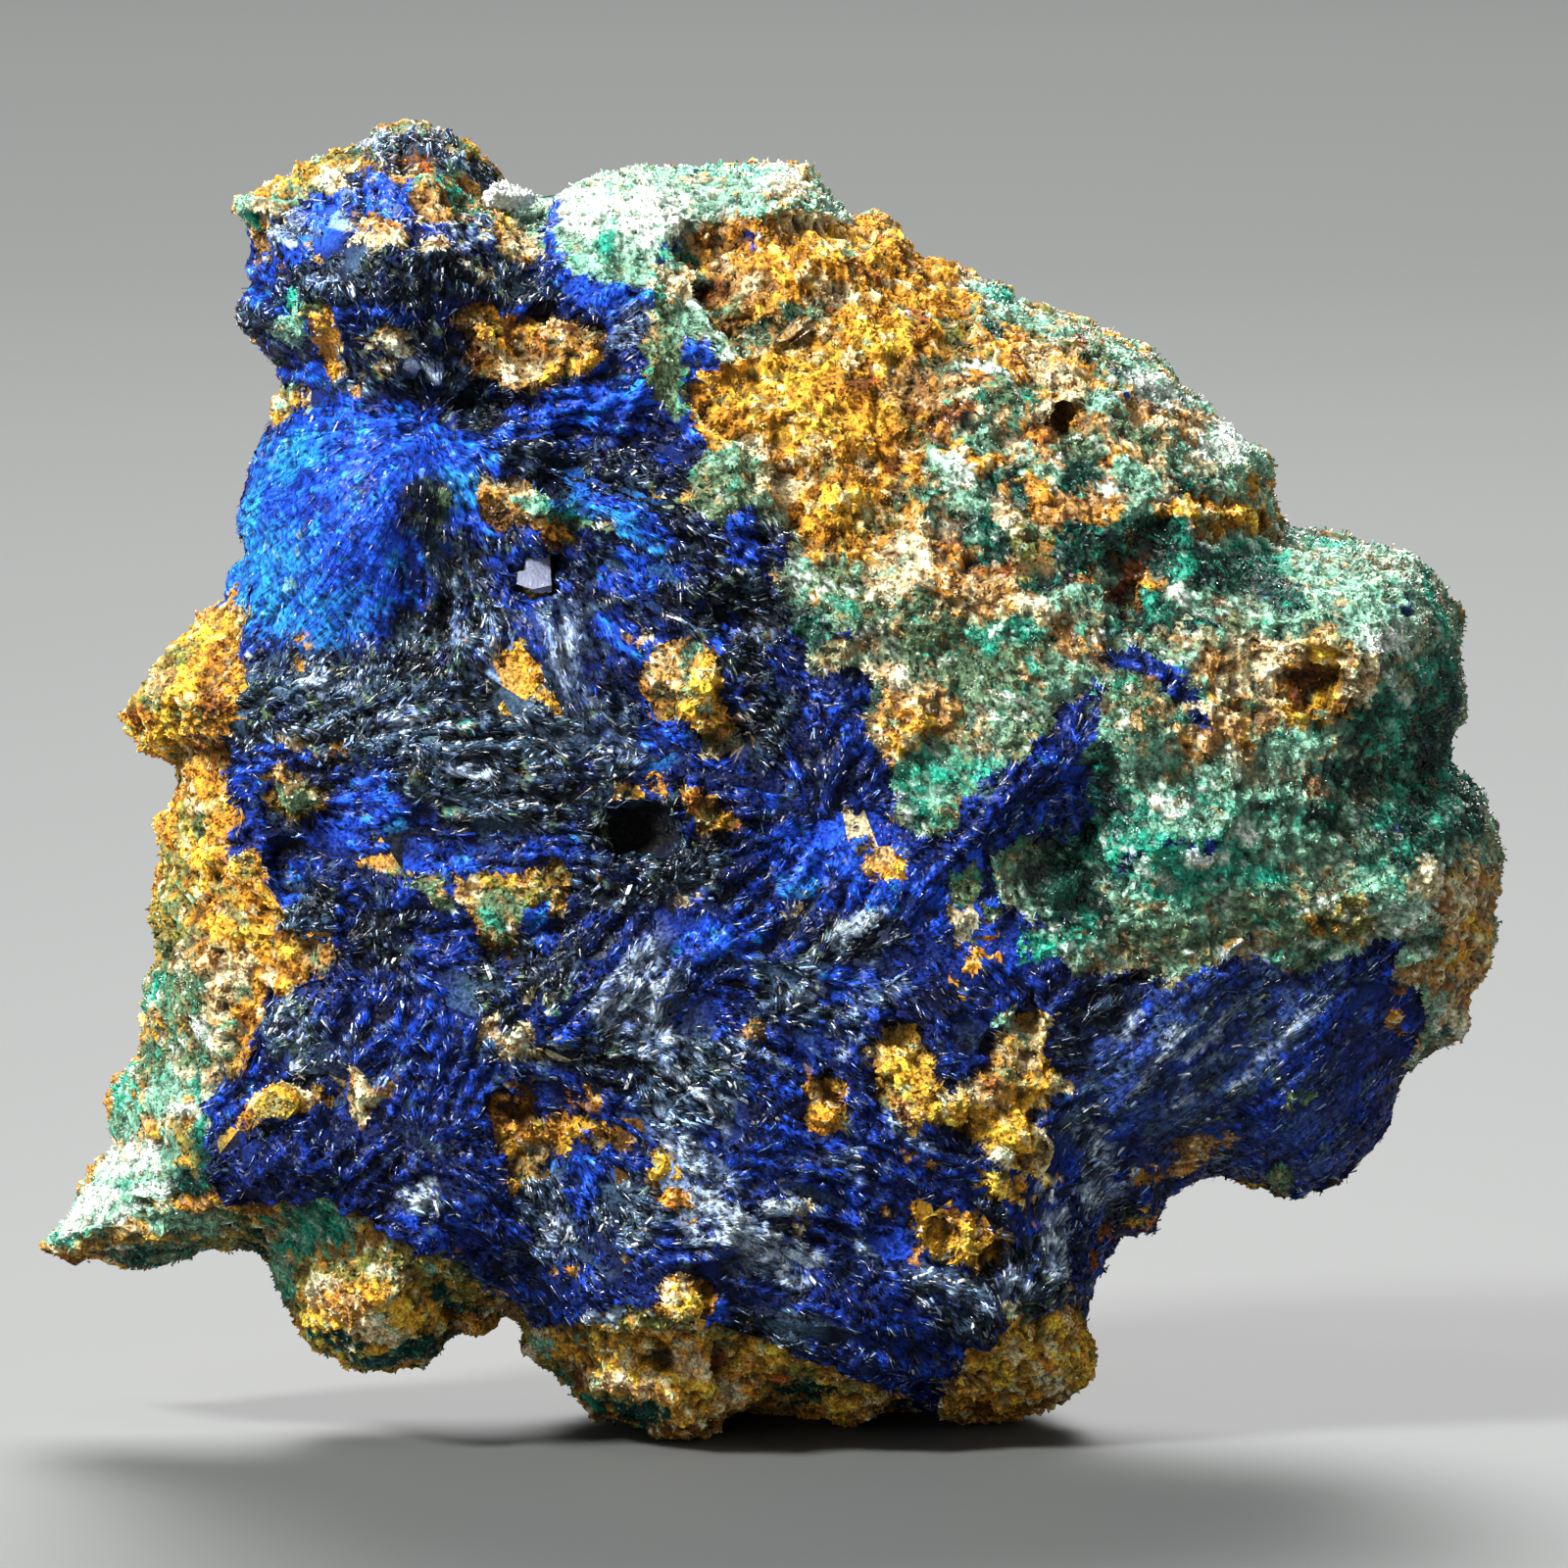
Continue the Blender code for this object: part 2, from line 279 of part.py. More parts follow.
# Lumps (height above 0) and hollows (below 0) of the front
FRONT_FORMS = (
    # (u, v, half length, half width, turned by degrees, height)
    # head
    (-23.2, 71.6, 9.9, 7.2, 0, 5.5),
    (-21.8, 78.2, 6.6, 2.7, 8, 2.1),
    (-31.8, 75.2, 2.0, 1.8, 0, 2.0),
    (-23.7, 73.5, 2.0, 1.4, 0, 1.3),
    (-20.1, 72.8, 1.4, 1.3, 0, 1.2),
    (-25.3, 66.8, 3.0, 1.4, 0, 1.4),
    (-16.8, 67.0, 1.9, 1.9, 0, 1.7),
    (-12.3, 66.8, 2.8, 2.3, -15, 2.5),
    (-15.1, 64.0, 2.0, 1.3, 15, 1.2),
    (-26.6, 73.4, 1.2, 1.8, -15, -2.9),
    (-22.1, 78.0, 1.6, 1.0, -10, -2.1),
    (-29.2, 68.3, 2.4, 2.4, 0, 1.6),
    (-13.7, 74.0, 1.8, 3.0, 0, 1.2),
    (-17.2, 73.7, 2.4, 1.3, -35, 1.0),
    # groove under the head
    (-27.1, 64.0, 4.0, 1.3, 0, -2.3),
    (-18.4, 62.6, 6.6, 1.9, 0, -3.4),
    (-8.8, 60.8, 4.8, 1.8, 0, -2.3),
    (-11.8, 59.9, 3.6, 1.8, 0, -1.6),
    # knobs right of the head
    (-12.8, 62.3, 1.9, 1.8, 0, 1.7),
    (-9.3, 61.7, 1.8, 1.7, 0, 1.4),
    (-7.9, 64.4, 2.2, 1.8, 0, 1.4),
    (-10.5, 69.8, 3.0, 1.8, 0, 1.2),
    (-7.6, 69.0, 1.9, 1.7, 0, 1.3),
    (-5.8, 66.2, 2.0, 1.6, 0, 1.3),
    # azure fan
    (-25.6, 56.6, 9.0, 7.8, 0, 3.6),
    (-20.2, 54.5, 3.6, 4.2, 0, -1.6),
    (-20.2, 49.7, 3.6, 2.4, 0, -1.3),
    # middle
    (-14.1, 56.8, 3.4, 2.0, -8, 2.7),
    (-13.9, 54.3, 2.6, 0.8, 0, -2.3),
    (-13.7, 48.5, 2.2, 3.6, 0, 1.0),
    (-15.3, 46.2, 1.7, 2.3, 0, -1.2),
    (-29.2, 45.2, 7.2, 3.0, 0, 1.7),
    (-28.8, 39.2, 2.4, 2.2, 0, 1.4),
    (-28.9, 35.2, 2.4, 1.4, -12, -3.1),
    (-23.7, 30.6, 2.3, 2.0, 0, -2.5),
    (-22.1, 34.0, 3.7, 1.3, -12, 1.2),
    (-15.6, 32.4, 3.4, 3.0, 0, 1.6),
    (-20.2, 41.3, 7.2, 3.6, 0, 1.0),
    (-4.5, 45.8, 2.3, 3.5, -25, 2.1),
    (-2.6, 47.6, 1.1, 1.9, 0, 1.0),
    (-2.1, 49.7, 3.1, 2.5, 0, -1.8),
    (-7.9, 37.4, 2.5, 1.7, 0, -5.2),
    (-3.4, 38.3, 2.2, 2.2, 0, 1.3),
    (3.8, 42.5, 2.6, 3.6, 0, 1.2),
    (5.5, 35.3, 2.4, 2.6, 0, 1.0),
    (-11.2, 27.5, 7.2, 3.6, 20, 1.2),
    (-4.0, 30.5, 7.8, 3.0, -20, 1.0),
    # tongue and its cavity
    (13.9, 39.2, 6.6, 2.5, 42, 2.6),
    (18.6, 35.4, 3.0, 3.8, 0, -5.7),
    (11.5, 33.2, 1.4, 2.4, 15, -1.2),
    # lower half
    (-1.8, 13.1, 3.1, 2.6, 0, 1.6),
    (10.9, 21.8, 4.2, 3.0, 0, 1.6),
    (13.8, 15.6, 1.9, 1.2, -40, 1.4),
    (13.0, 13.9, 1.8, 0.7, -35, -1.3),
    (12.4, 12.1, 3.1, 1.4, -25, 1.3),
    (-13.7, 19.1, 3.6, 2.4, 0, -1.0),
    (-5.8, 8.6, 2.2, 2.0, 0, 1.0),
    (-8.8, 9.5, 7.8, 2.8, 0, 1.8),
    (6.8, 5.9, 7.2, 3.0, -10, 1.6),
    (17.6, 9.5, 3.0, 3.6, 0, 1.0),
    (-13.7, 13.1, 2.0, 4.2, 0, -1.3),
    (-20.8, 16.1, 5.4, 3.0, -20, 1.0),
    (-29.2, 17.6, 6.6, 3.7, 0, 3.1),
    (-29.4, 20.6, 3.2, 1.4, 6, 1.2),
    (-29.8, 25.7, 3.0, 2.4, 0, 0.9),
    (19.9, 17.9, 3.6, 1.8, -20, -1.2),
    (21.8, 15.2, 3.6, 1.6, 10, 0.8),
    # lower right plate
    (26.4, 28.7, 2.8, 0.5, 36, 1.3),
    (23.6, 24.5, 6.6, 1.8, 35, 0.9),
    (33.4, 24.5, 5.4, 3.0, 60, 0.9),
    (30.1, 18.5, 6.0, 2.4, -10, 1.0),
    (22.3, 28.6, 2.6, 0.7, 15, -1.7),
    (39.4, 29.8, 1.7, 0.8, 5, -2.9),
    # right lobes
    (35.9, 48.8, 6.7, 6.7, 0, 4.9),
    (32.5, 46.3, 2.0, 2.2, 0, -4.7),
    (31.2, 46.9, 0.7, 0.6, 0, 1.3),
    (39.8, 35.0, 5.7, 5.7, 0, 3.4),
    (38.2, 41.0, 6.0, 1.4, 0, -2.9),
    (40.9, 39.6, 1.4, 0.8, 0, -1.8),
    (40.4, 31.9, 0.8, 0.5, 0, -1.2),
    (21.8, 43.1, 3.1, 3.4, 0, 2.3),
    (24.4, 36.4, 4.6, 3.5, 0, 2.6),
    (30.8, 32.6, 8.4, 2.2, -8, 1.3),
    (21.8, 52.8, 2.4, 2.2, 0, -4.9),
    (22.7, 51.4, 1.0, 1.0, 0, 2.1),
    (28.3, 53.9, 3.6, 2.0, 0, -1.0),
    (26.8, 56.6, 4.2, 1.3, -3, 1.2),
    # upper right
    (11.2, 54.4, 1.9, 1.2, -15, -2.6),
    (14.3, 61.0, 0.9, 0.7, 0, -2.2),
    (11.4, 62.3, 0.8, 0.8, 0, -2.0),
    (17.8, 62.2, 0.8, 1.6, 0, -1.8),
    (22.3, 62.6, 0.4, 1.0, 32, -1.6),
    (26.7, 61.4, 0.6, 0.4, 0, -1.0),
    (-2.7, 58.2, 2.8, 2.6, 0, 2.1),
    (17.6, 65.0, 2.2, 2.6, 0, 1.3),
    (29.2, 59.3, 1.9, 2.0, 0, 1.6),
    (22.6, 65.6, 3.0, 1.8, -25, 1.0),
    (12.8, 65.6, 2.6, 1.7, 0, 1.0),
    (11.2, 58.7, 2.9, 2.3, 0, 1.2),
    (4.3, 49.7, 4.2, 1.8, 0, 1.0),
    (8.2, 44.0, 2.8, 2.5, 0, 1.2),
    (9.8, 52.1, 3.6, 1.8, 0, 0.9),
    (15.1, 50.9, 3.6, 2.6, 0, 1.2),
    (3.8, 48.1, 2.4, 1.1, 0, 1.0),
    # slope and gold field
    (-7.9, 74.6, 5.0, 3.1, 10, 2.1),
    (0.8, 77.0, 3.6, 1.8, 0, 1.6),
    (2.5, 72.0, 4.2, 2.6, 0, 1.4),
    (-4.0, 73.9, 1.0, 1.2, 0, -1.8),
    (-1.5, 73.3, 1.1, 1.0, 0, -1.8),
    (-4.3, 70.1, 0.8, 0.8, 0, -1.3),
    (-1.6, 69.5, 2.4, 1.6, 0, 1.0),
    (7.0, 73.7, 2.2, 1.6, -25, 1.4),
    (10.7, 71.8, 1.6, 1.1, 0, 1.2),
    (15.1, 70.1, 2.2, 1.2, -20, 1.2),
    (3.1, 62.3, 4.8, 3.6, 0, 1.3),
    (5.5, 67.1, 3.0, 2.4, 0, 1.0),
    (3.8, 57.5, 3.6, 2.4, 0, 1.2),
    # left flank
    (-36.9, 45.8, 3.4, 3.5, 0, 2.9),
    (-34.9, 36.5, 3.0, 4.2, 0, 1.8),
    (-35.9, 28.1, 3.5, 3.4, 0, 2.1),
    (-38.2, 20.9, 2.8, 2.0, 0, 1.6),
    (-37.6, 16.7, 3.0, 2.6, 0, 1.4),
    (-41.9, 12.8, 3.6, 1.9, 20, 1.8),
    (-33.4, 31.7, 2.2, 2.4, 0, 1.3),
    (-35.2, 12.8, 3.6, 1.6, 10, 1.0),
    # lower lobes
    (-23.7, 8.6, 6.7, 4.4, 0, 3.4),
    (-26.6, 8.3, 2.4, 2.0, 0, 1.0),
    (-19.1, 7.7, 2.0, 1.6, 0, 1.0),
    (-28.1, 12.4, 3.0, 1.6, 0, 1.0),
    (-5.8, 3.5, 7.8, 3.1, 0, 3.1),
    (-7.2, 5.0, 3.6, 1.7, 0, -1.6),
    (-2.7, 5.0, 1.6, 2.2, 0, -1.3),
    (-11.2, 4.1, 2.4, 2.2, 0, 1.0),
    (-5.0, 1.1, 2.0, 1.3, 0, 1.6),
    (5.5, 2.0, 3.6, 1.4, 0, 1.6),
    (17.1, 4.8, 3.5, 3.2, 0, 3.1),
    (13.9, 2.6, 2.6, 1.6, 0, 1.0),
)
# Lumps and hollows of the back, whose height is away from the face
BACK_FORMS = (
    (-22.0, 70.0, 12.0, 9.0, 10, 5.0),
    (-30.0, 48.0, 9.0, 12.0, 0, 3.0),
    (-8.0, 60.0, 14.0, 7.0, -20, -3.0),
    (12.0, 58.0, 13.0, 9.0, -30, 3.5),
    (30.0, 44.0, 11.0, 9.0, 15, 4.0),
    (22.0, 28.0, 10.0, 6.0, 30, -2.8),
    (34.0, 26.0, 8.0, 8.0, 0, 2.5),
    (-4.0, 38.0, 16.0, 10.0, 25, 2.6),
    (-20.0, 28.0, 11.0, 6.0, -30, -3.2),
    (-34.0, 18.0, 10.0, 7.0, 10, 3.0),
    (-24.0, 11.0, 8.0, 6.0, 0, 3.0),
    (2.0, 16.0, 15.0, 9.0, 0, 2.5),
    (8.0, 44.0, 7.0, 5.0, 40, -2.4),
    (-12.0, 50.0, 6.0, 6.0, 0, 2.0),
)
# Rubble on the front and the back: (size of the lumps in mm, their height in mm). Each surface
# reads its noise on a level of its own.
MATRIX_GRAIN = ((6.0, 0.8), (3.0, 0.55))
CRUST_GRAIN = ((8.0, 0.7), (3.8, 0.4))
BACK_GRAIN = ((21.0, 2.2), (9.0, 1.1), (5.0, 0.5))
FRONT_LEVEL = 3.0
RIM_LEVEL = 9.0
BACK_LEVEL = 40.0

# The heel is the ridge behind the lower edge that the specimen leans on
HEEL_CENTRE = (3.0, 7.0, 15.5)
HEEL_RADII = (14.0, 7.6, 8.5)
HEEL_REACH = (3.0, 6.0, 19.0, 13.0)
HEEL_ROUGHNESS = 0.12
HEEL_LUMPS = 2.2
FLOOR_BLOCK = 0.2

COLOURS = {
    "gossan_matrix": (0.50, 0.27, 0.07),
    "linarite_crust": (0.02, 0.05, 0.38),
    "brochantite_slope": (0.38, 0.62, 0.48),
    "brochantite_field": (0.12, 0.36, 0.26),
    "linarite_vein_upper": (0.03, 0.07, 0.45),
    "linarite_vein_middle": (0.03, 0.07, 0.45),
    "cerussite_flake": (0.85, 0.84, 0.80),
    "anglesite_crystal": (0.60, 0.60, 0.72),
}
ROUGHNESS = {"gossan_matrix": 0.85, "cerussite_flake": 0.35, "anglesite_crystal": 0.3}
CRUST_ROUGHNESS = 0.4


def clear_scene():
    for obj in list(bpy.data.objects):
        bpy.data.objects.remove(obj, do_unlink=True)


# ---------------------------------------------------------------- flat geometry


def inside(loop, u, v):
    """Whether a point of the face lies inside a closed outline."""
    found = False
    u1, v1 = loop[-1]
    for u2, v2 in loop:
        if (v1 > v) != (v2 > v) and u < (u2 - u1) * (v - v1) / (v2 - v1) + u1:
            found = not found
        u1, v1 = u2, v2
    return found


def distance_to_path(path, u, v, closed=True):
    """Shortest distance from a point to a line of points."""
    best = math.inf
    ends = path[1:] + path[:1] if closed else path[1:]
    for (u1, v1), (u2, v2) in zip(path, ends):
        du, dv = u2 - u1, v2 - v1
        along = ((u - u1) * du + (v - v1) * dv) / max(du * du + dv * dv, 1e-9)
        along = min(max(along, 0.0), 1.0)
        best = min(best, math.hypot(u - u1 - along * du, v - v1 - along * dv))
    return best


def divided(path, step, closed=True):
    """The path with every stretch longer than a step divided evenly."""
    points = []
    ends = path[1:] + path[:1] if closed else path[1:]
    for (u1, v1), (u2, v2) in zip(path, ends):
        pieces = max(1, math.ceil(math.hypot(u2 - u1, v2 - v1) / step))
        for i in range(pieces):
            part = i / pieces
            points.append((u1 + (u2 - u1) * part, v1 + (v2 - v1) * part))
    if not closed:
        points.append(path[-1])
    return points


def smoothstep(value):
    value = min(max(value, 0.0), 1.0)
    return value * value * (3.0 - 2.0 * value)


# ---------------------------------------------------------------- outlines of the regions

RIM = divided(list(OUTLINE), RIM_STEP)
LINARITE = list(
    HEAD_EDGE + HEAD_SPUR[:-1] + SEAM_SLOPE + NOTCH[:-1] + SEAM_FIELD + RIGHT_OUTSIDE + LOWER_EDGE
)
SLOPE = list(HEAD_SPUR[::-1] + SLOPE_OUTSIDE + SLOPE_INNER[:-1] + SEAM_SLOPE[::-1][:-1])
FIELD = list(FIELD_INNER + FIELD_OUTSIDE + SEAM_FIELD[::-1][:-1])


def region_at(u, v):
    """The name of the piece that shows at a point of the face."""
    if any(inside(loop, u, v) for loop in WINDOWS.values()):
        return "gossan_matrix"
    for name, loop in PATCHES.items():
        if inside(loop, u, v):
            return name
    if inside(LINARITE, u, v):
        return "linarite_crust"
    if inside(SLOPE, u, v):
        return "brochantite_slope"
    if inside(FIELD, u, v):
        return "brochantite_field"
    return "gossan_matrix"


# ---------------------------------------------------------------- depth of the surfaces


def facets(top, planes, u, v):
    """A plateau with broad planes falling away from it, blended where they meet."""
    total = math.exp(-top / SLOPE_BLEND)
    for u0, v0, direction, slope in planes:
        angle = math.radians(direction)
        past = (u - u0) * math.cos(angle) + (v - v0) * math.sin(angle)
        total += math.exp(-(top - slope * past) / SLOPE_BLEND)
    return -SLOPE_BLEND * math.log(total)


def forms(rows, u, v):
    """The summed height of a list of lumps and hollows at a point."""
    height = 0.0
    for u0, v0, length, width, turn, top in rows:
        angle = math.radians(turn)
        along = (u - u0) * math.cos(angle) + (v - v0) * math.sin(angle)
        across = (v - v0) * math.cos(angle) - (u - u0) * math.sin(angle)
        reach = (along / length) ** 2 + (across / width) ** 2
        if reach < 1.0:
            height += top * (1.0 - reach) ** 1.5
    return height


def grain(layers, u, v, level):
    """Rubbly unevenness from a few layers of noise."""
    return sum(
        height * noise.noise(Vector((u / size, v / size, level + size)))
        for size, height in layers
    )


def rim_depth(u, v):
    """Depth of the specimen's edge, blended from the nearest stated places."""
    total = 0.0
    weights = 0.0
    for u0, v0, w0 in RIM_DEPTHS:
        weight = 1.0 / ((u - u0) ** 2 + (v - v0) ** 2 + 1.0) ** 2
        total += weight * w0
        weights += weight
    place = Vector((u / RIM_WANDER_SIZE, v / RIM_WANDER_SIZE, RIM_LEVEL))
    return total / weights + RIM_WANDER * noise.noise(place)


def rounding(u, v, reach):
    """From 0 at the edge to 1 at the reach, leaving the edge steeply."""
    place = Vector((u / ROUNDING_UNEVENNESS_SIZE, v / ROUNDING_UNEVENNESS_SIZE, reach))
    reach *= 1.0 + ROUNDING_UNEVENNESS * noise.noise(place)
    left = 1.0 - min(distance_to_path(RIM, u, v) / reach, 1.0)
    return math.sqrt(1.0 - left * left)


def back_reach(u, v):
    """How far in the back rounds over: less above the heel, which stands out behind."""
    u0, v0, length, height = HEEL_REACH
    away = math.hypot((u - u0) / length, (v - v0) / height)
    return HEEL_ROUNDING + (BACK_ROUNDING - HEEL_ROUNDING) * smoothstep(2.0 * away - 1.0)


def shelf(u, v):
    """How far the bare matrix stands back from the linarite crust's edge."""
    if inside(LINARITE, u, v) or inside(FIELD, u, v) or inside(SLOPE, u, v):
        return 0.0
    drop = FLANK_DROP + (SHELF_DROP - FLANK_DROP) * smoothstep((SHELF_TOP - v) / SHELF_BLEND)
    return drop * smoothstep(distance_to_path(LINARITE, u, v) / SHELF_INSET)


def front_depth(u, v):
    """Depth w of the front of the specimen, crusts included."""
    rim = rim_depth(u, v)
    height = facets(FRONT_BULGE, FRONT_FACETS, u, v) + forms(FRONT_FORMS, u, v) - shelf(u, v)
    layers = MATRIX_GRAIN if region_at(u, v) == "gossan_matrix" else CRUST_GRAIN
    height += grain(layers, u, v, FRONT_LEVEL)
    return rim - (rim + height) * rounding(u, v, FRONT_ROUNDING)


def back_depth(u, v):
    """Depth w of the broken back of the matrix."""
    rim = rim_depth(u, v)
    depth = facets(BACK_BULGE, BACK_FACETS, u, v) + forms(BACK_FORMS, u, v)
    depth += grain(BACK_GRAIN, u, v, BACK_LEVEL)
    return rim + (max(depth, rim + LEAST_BACK_BULGE) - rim) * rounding(u, v, back_reach(u, v))


# ---------------------------------------------------------------- the shared sheet


class Plan:
    """Points and fixed edges of a flat triangulation."""

    def __init__(self):
        self.points = []
        self.edges = []
        self.index = {}

    def add(self, u, v):
        key = (round(u, 3), round(v, 3))
        if key not in self.index:
            self.index[key] = len(self.points)
            self.points.append(Vector(key))
        return self.index[key]

    def path(self, path, closed=True):
        ids = [self.add(u, v) for u, v in path]
        ends = ids[1:] + ids[:1] if closed else ids[1:]
        self.edges += [pair for pair in zip(ids, ends) if pair[0] != pair[1]]

    def clear_of(self, u, v, distance):
        """Whether no point is nearer than the distance."""
        for point in self.points:
            if abs(point.x - u) < distance and abs(point.y - v) < distance:
                if math.hypot(point.x - u, point.y - v) < distance:
                    return False
        return True

    def triangulate(self):
        result = delaunay_2d_cdt(self.points, self.edges, [], 0, 1e-4)
        points = [(p.x, p.y) for p in result[0]]
        triangles = []
        for face in result[2]:
            u = sum(points[i][0] for i in face) / 3.0
            v = sum(points[i][1] for i in face) / 3.0
            if inside(RIM, u, v):
                triangles.append(tuple(face))
        return points, [wound(points, face) for face in triangles]


def wound(points, face):
    """A triangle's corners, counter-clockwise."""
    (ua, va), (ub, vb), (uc, vc) = (points[i] for i in face)
    turn = (ub - ua) * (vc - va) - (uc - ua) * (vb - va)
    return face if turn > 0.0 else (face[0], face[2], face[1])


def inset_points(loop, distance, step):
    """Points at one distance inside a closed outline that runs clockwise."""
    points = []
    for (u1, v1), (u2, v2) in zip(loop, loop[1:] + loop[:1]):
        length = math.hypot(u2 - u1, v2 - v1)
        normal = ((v2 - v1) / length, -(u2 - u1) / length)
        pieces = max(1, round(length / step))
        for i in range(pieces):
            part = (i + 0.5) / pieces
            points.append(
                (
                    u1 + (u2 - u1) * part + normal[0] * distance,
                    v1 + (v2 - v1) * part + normal[1] * distance,
                )
            )
    return points


def fill(plan, spacing, seams, clearance, rng):
    """Loose points on a shaken triangular grid, clear of the fixed edges."""
    row_height = spacing * math.sqrt(3.0) / 2.0
    shake = GRID_SHAKE * spacing
    for row in range(int(GRID_SIZE[1] / row_height)):
        for column in range(int(GRID_SIZE[0] / spacing)):
            shift = 0.5 * spacing if row % 2 else 0.0
            u = GRID_CORNER[0] + column * spacing + shift + rng.uniform(-shake, shake)
            v = GRID_CORNER[1] + row * row_height + rng.uniform(-shake, shake)
            if not inside(RIM, u, v):
                continue
            if not plan.clear_of(u, v, GRID_CLEARANCE * spacing):
                continue
            if all(distance_to_path(path, u, v) > clearance for path in seams):
                plan.add(u, v)


def face_plan():
    """The face: the outline, every seam and window, and loose points between."""
    rng = random.Random(SEED)
    plan = Plan()
    plan.path(RIM)
    seams = [RIM]
    outlines = [LINARITE, SLOPE, FIELD]
    outlines += [list(loop) for loop in WINDOWS.values()]
    outlines += [list(loop) for loop in PATCHES.values()]
    for loop in outlines:
        path = divided(loop, SEAM_STEP)
        plan.path(path)
        seams.append(path)
    for u, v in inset_points(RIM, FRONT_RIM_INSET, RIM_STEP):
        if inside(RIM, u, v) and plan.clear_of(u, v, CLEARANCE):
            if all(distance_to_path(path, u, v) > SEAM_CLEARANCE for path in seams):
                plan.add(u, v)
    for u, v in inset_points(divided(LINARITE, SEAM_STEP), -SHELF_INSET, SEAM_STEP):
        if region_at(u, v) == "gossan_matrix" and inside(RIM, u, v) and plan.clear_of(u, v, CLEARANCE):
            if all(distance_to_path(path, u, v) > SEAM_CLEARANCE for path in seams):
                plan.add(u, v)
    for loop in WINDOWS.values():
        for u, v in inset_points(list(loop), WINDOW_INSET, WINDOW_STEP):
            if inside(loop, u, v) and plan.clear_of(u, v, WINDOW_INSET):
                if distance_to_path(list(loop), u, v) > SEAM_CLEARANCE:
                    plan.add(u, v)
    fill(plan, FACE_SPACING, seams, CLEARANCE, rng)
    return plan


def rim_loop(triangles):
    """The outer edge of a set of triangles, in order."""
    after = {}
    edges = {(a, b) for t in triangles for a, b in zip(t, t[1:] + t[:1])}
    for a, b in edges:
        if (b, a) not in edges:
            after[a] = b
    start = min(after)
    loop = [start]
    while after[loop[-1]] != start:
        loop.append(after[loop[-1]])
    return loop


def back_plan(rim):
    """The back: the same outline, with wider spacing."""
    rng = random.Random(SEED + 1)
    plan = Plan()
    plan.path(rim)
    clockwise = rim[::-1]
    for u, v in inset_points(clockwise, BACK_RIM_INSET, BACK_RING_STEP):
        if inside(RIM, u, v) and distance_to_path(RIM, u, v) > BACK_RING_TO_RIM:
            if plan.clear_of(u, v, BACK_RING_CLEARANCE):
                plan.add(u, v)
    fill(plan, BACK_SPACING, [RIM], BACK_SEAM_CLEARANCE, rng)
    return plan


# ---------------------------------------------------------------- solids


class Sheet:
    """The whole outside of the specimen: face and back, joined at the rim."""

    def __init__(self):
        flat, self.front = face_plan().triangulate()
        self.rim = rim_loop(self.front)
        self.points = [Vector((u, v, front_depth(u, v))) for u, v in flat]
        for i in self.rim:
            self.points[i].z = rim_depth(*flat[i])
        self.regions = [self.region_of(face) for face in self.front]
        self.back = self.back_faces([flat[i] for i in self.rim])
        self.normals = self.point_normals()

    def region_of(self, face):
        u = sum(self.points[i].x for i in face) / 3.0
        v = sum(self.points[i].y for i in face) / 3.0
        return region_at(u, v)

    def back_faces(self, rim):
        flat, triangles = back_plan(rim).triangulate()
        known = {(round(u, 3), round(v, 3)): i for (u, v), i in zip(rim, self.rim)}
        ids = []
        for u, v in flat:
            key = (round(u, 3), round(v, 3))
            if key not in known:
                known[key] = len(self.points)
                self.points.append(Vector((u, v, back_depth(u, v))))
            ids.append(known[key])
        return [(ids[c], ids[b], ids[a]) for a, b, c in triangles]

    def point_normals(self):
        """Outward directions in (u, v, w), where w runs into the rock."""
        normals = [Vector((0.0, 0.0, 0.0)) for _ in self.points]
        for a, b, c in self.front + self.back:
            pa, pb, pc = self.points[a], self.points[b], self.points[c]
            area = (pc - pa).cross(pb - pa)
            for i in (a, b, c):
                normals[i] += area
        return [normal.normalized() for normal in normals]

    def covered(self):
        """Points of the face that have a crust over them."""
        found = set()
        for face, region in zip(self.front, self.regions):
            if region != "gossan_matrix":
                found.update(face)
        return found


def matrix_mesh(sheet):
    """The rock: the whole sheet, let in under the crusts."""
    let_in = CRUST_THICKNESS + GAP
    covered = sheet.covered()
    points = [
        point - sheet.normals[i] * let_in if i in covered else point.copy()
        for i, point in enumerate(sheet.points)
    ]
    return points, sheet.front + sheet.back


def region_edges(faces):
    """The outer edges of a region, each with the face that it belongs to."""
    owner = {(a, b): t for t in faces for a, b in zip(t, t[1:] + t[:1])}
    return {edge: owner[edge] for edge in sorted(owner) if edge[::-1] not in owner}


def seam_shifts(sheet, outer):
    """Which way each point of a seam moves, to leave a gap to the neighbouring piece."""
    rim_pairs = set(zip(sheet.rim, sheet.rim[1:] + sheet.rim[:1]))
    shifts = {}
    for (a, b), face in outer.items():
        if (a, b) in rim_pairs:
            continue
        along = (sheet.points[b] - sheet.points[a]).normalized()
        centre = sum((sheet.points[i] for i in face), Vector((0.0, 0.0, 0.0))) / 3.0
        inward = centre - sheet.points[a]
        inward = (inward - inward.dot(along) * along).normalized()
        for i in (a, b):
            shifts[i] = shifts.get(i, Vector((0.0, 0.0, 0.0))) + inward
    return {i: shift.normalized() * SEAM_INSET for i, shift in shifts.items()}


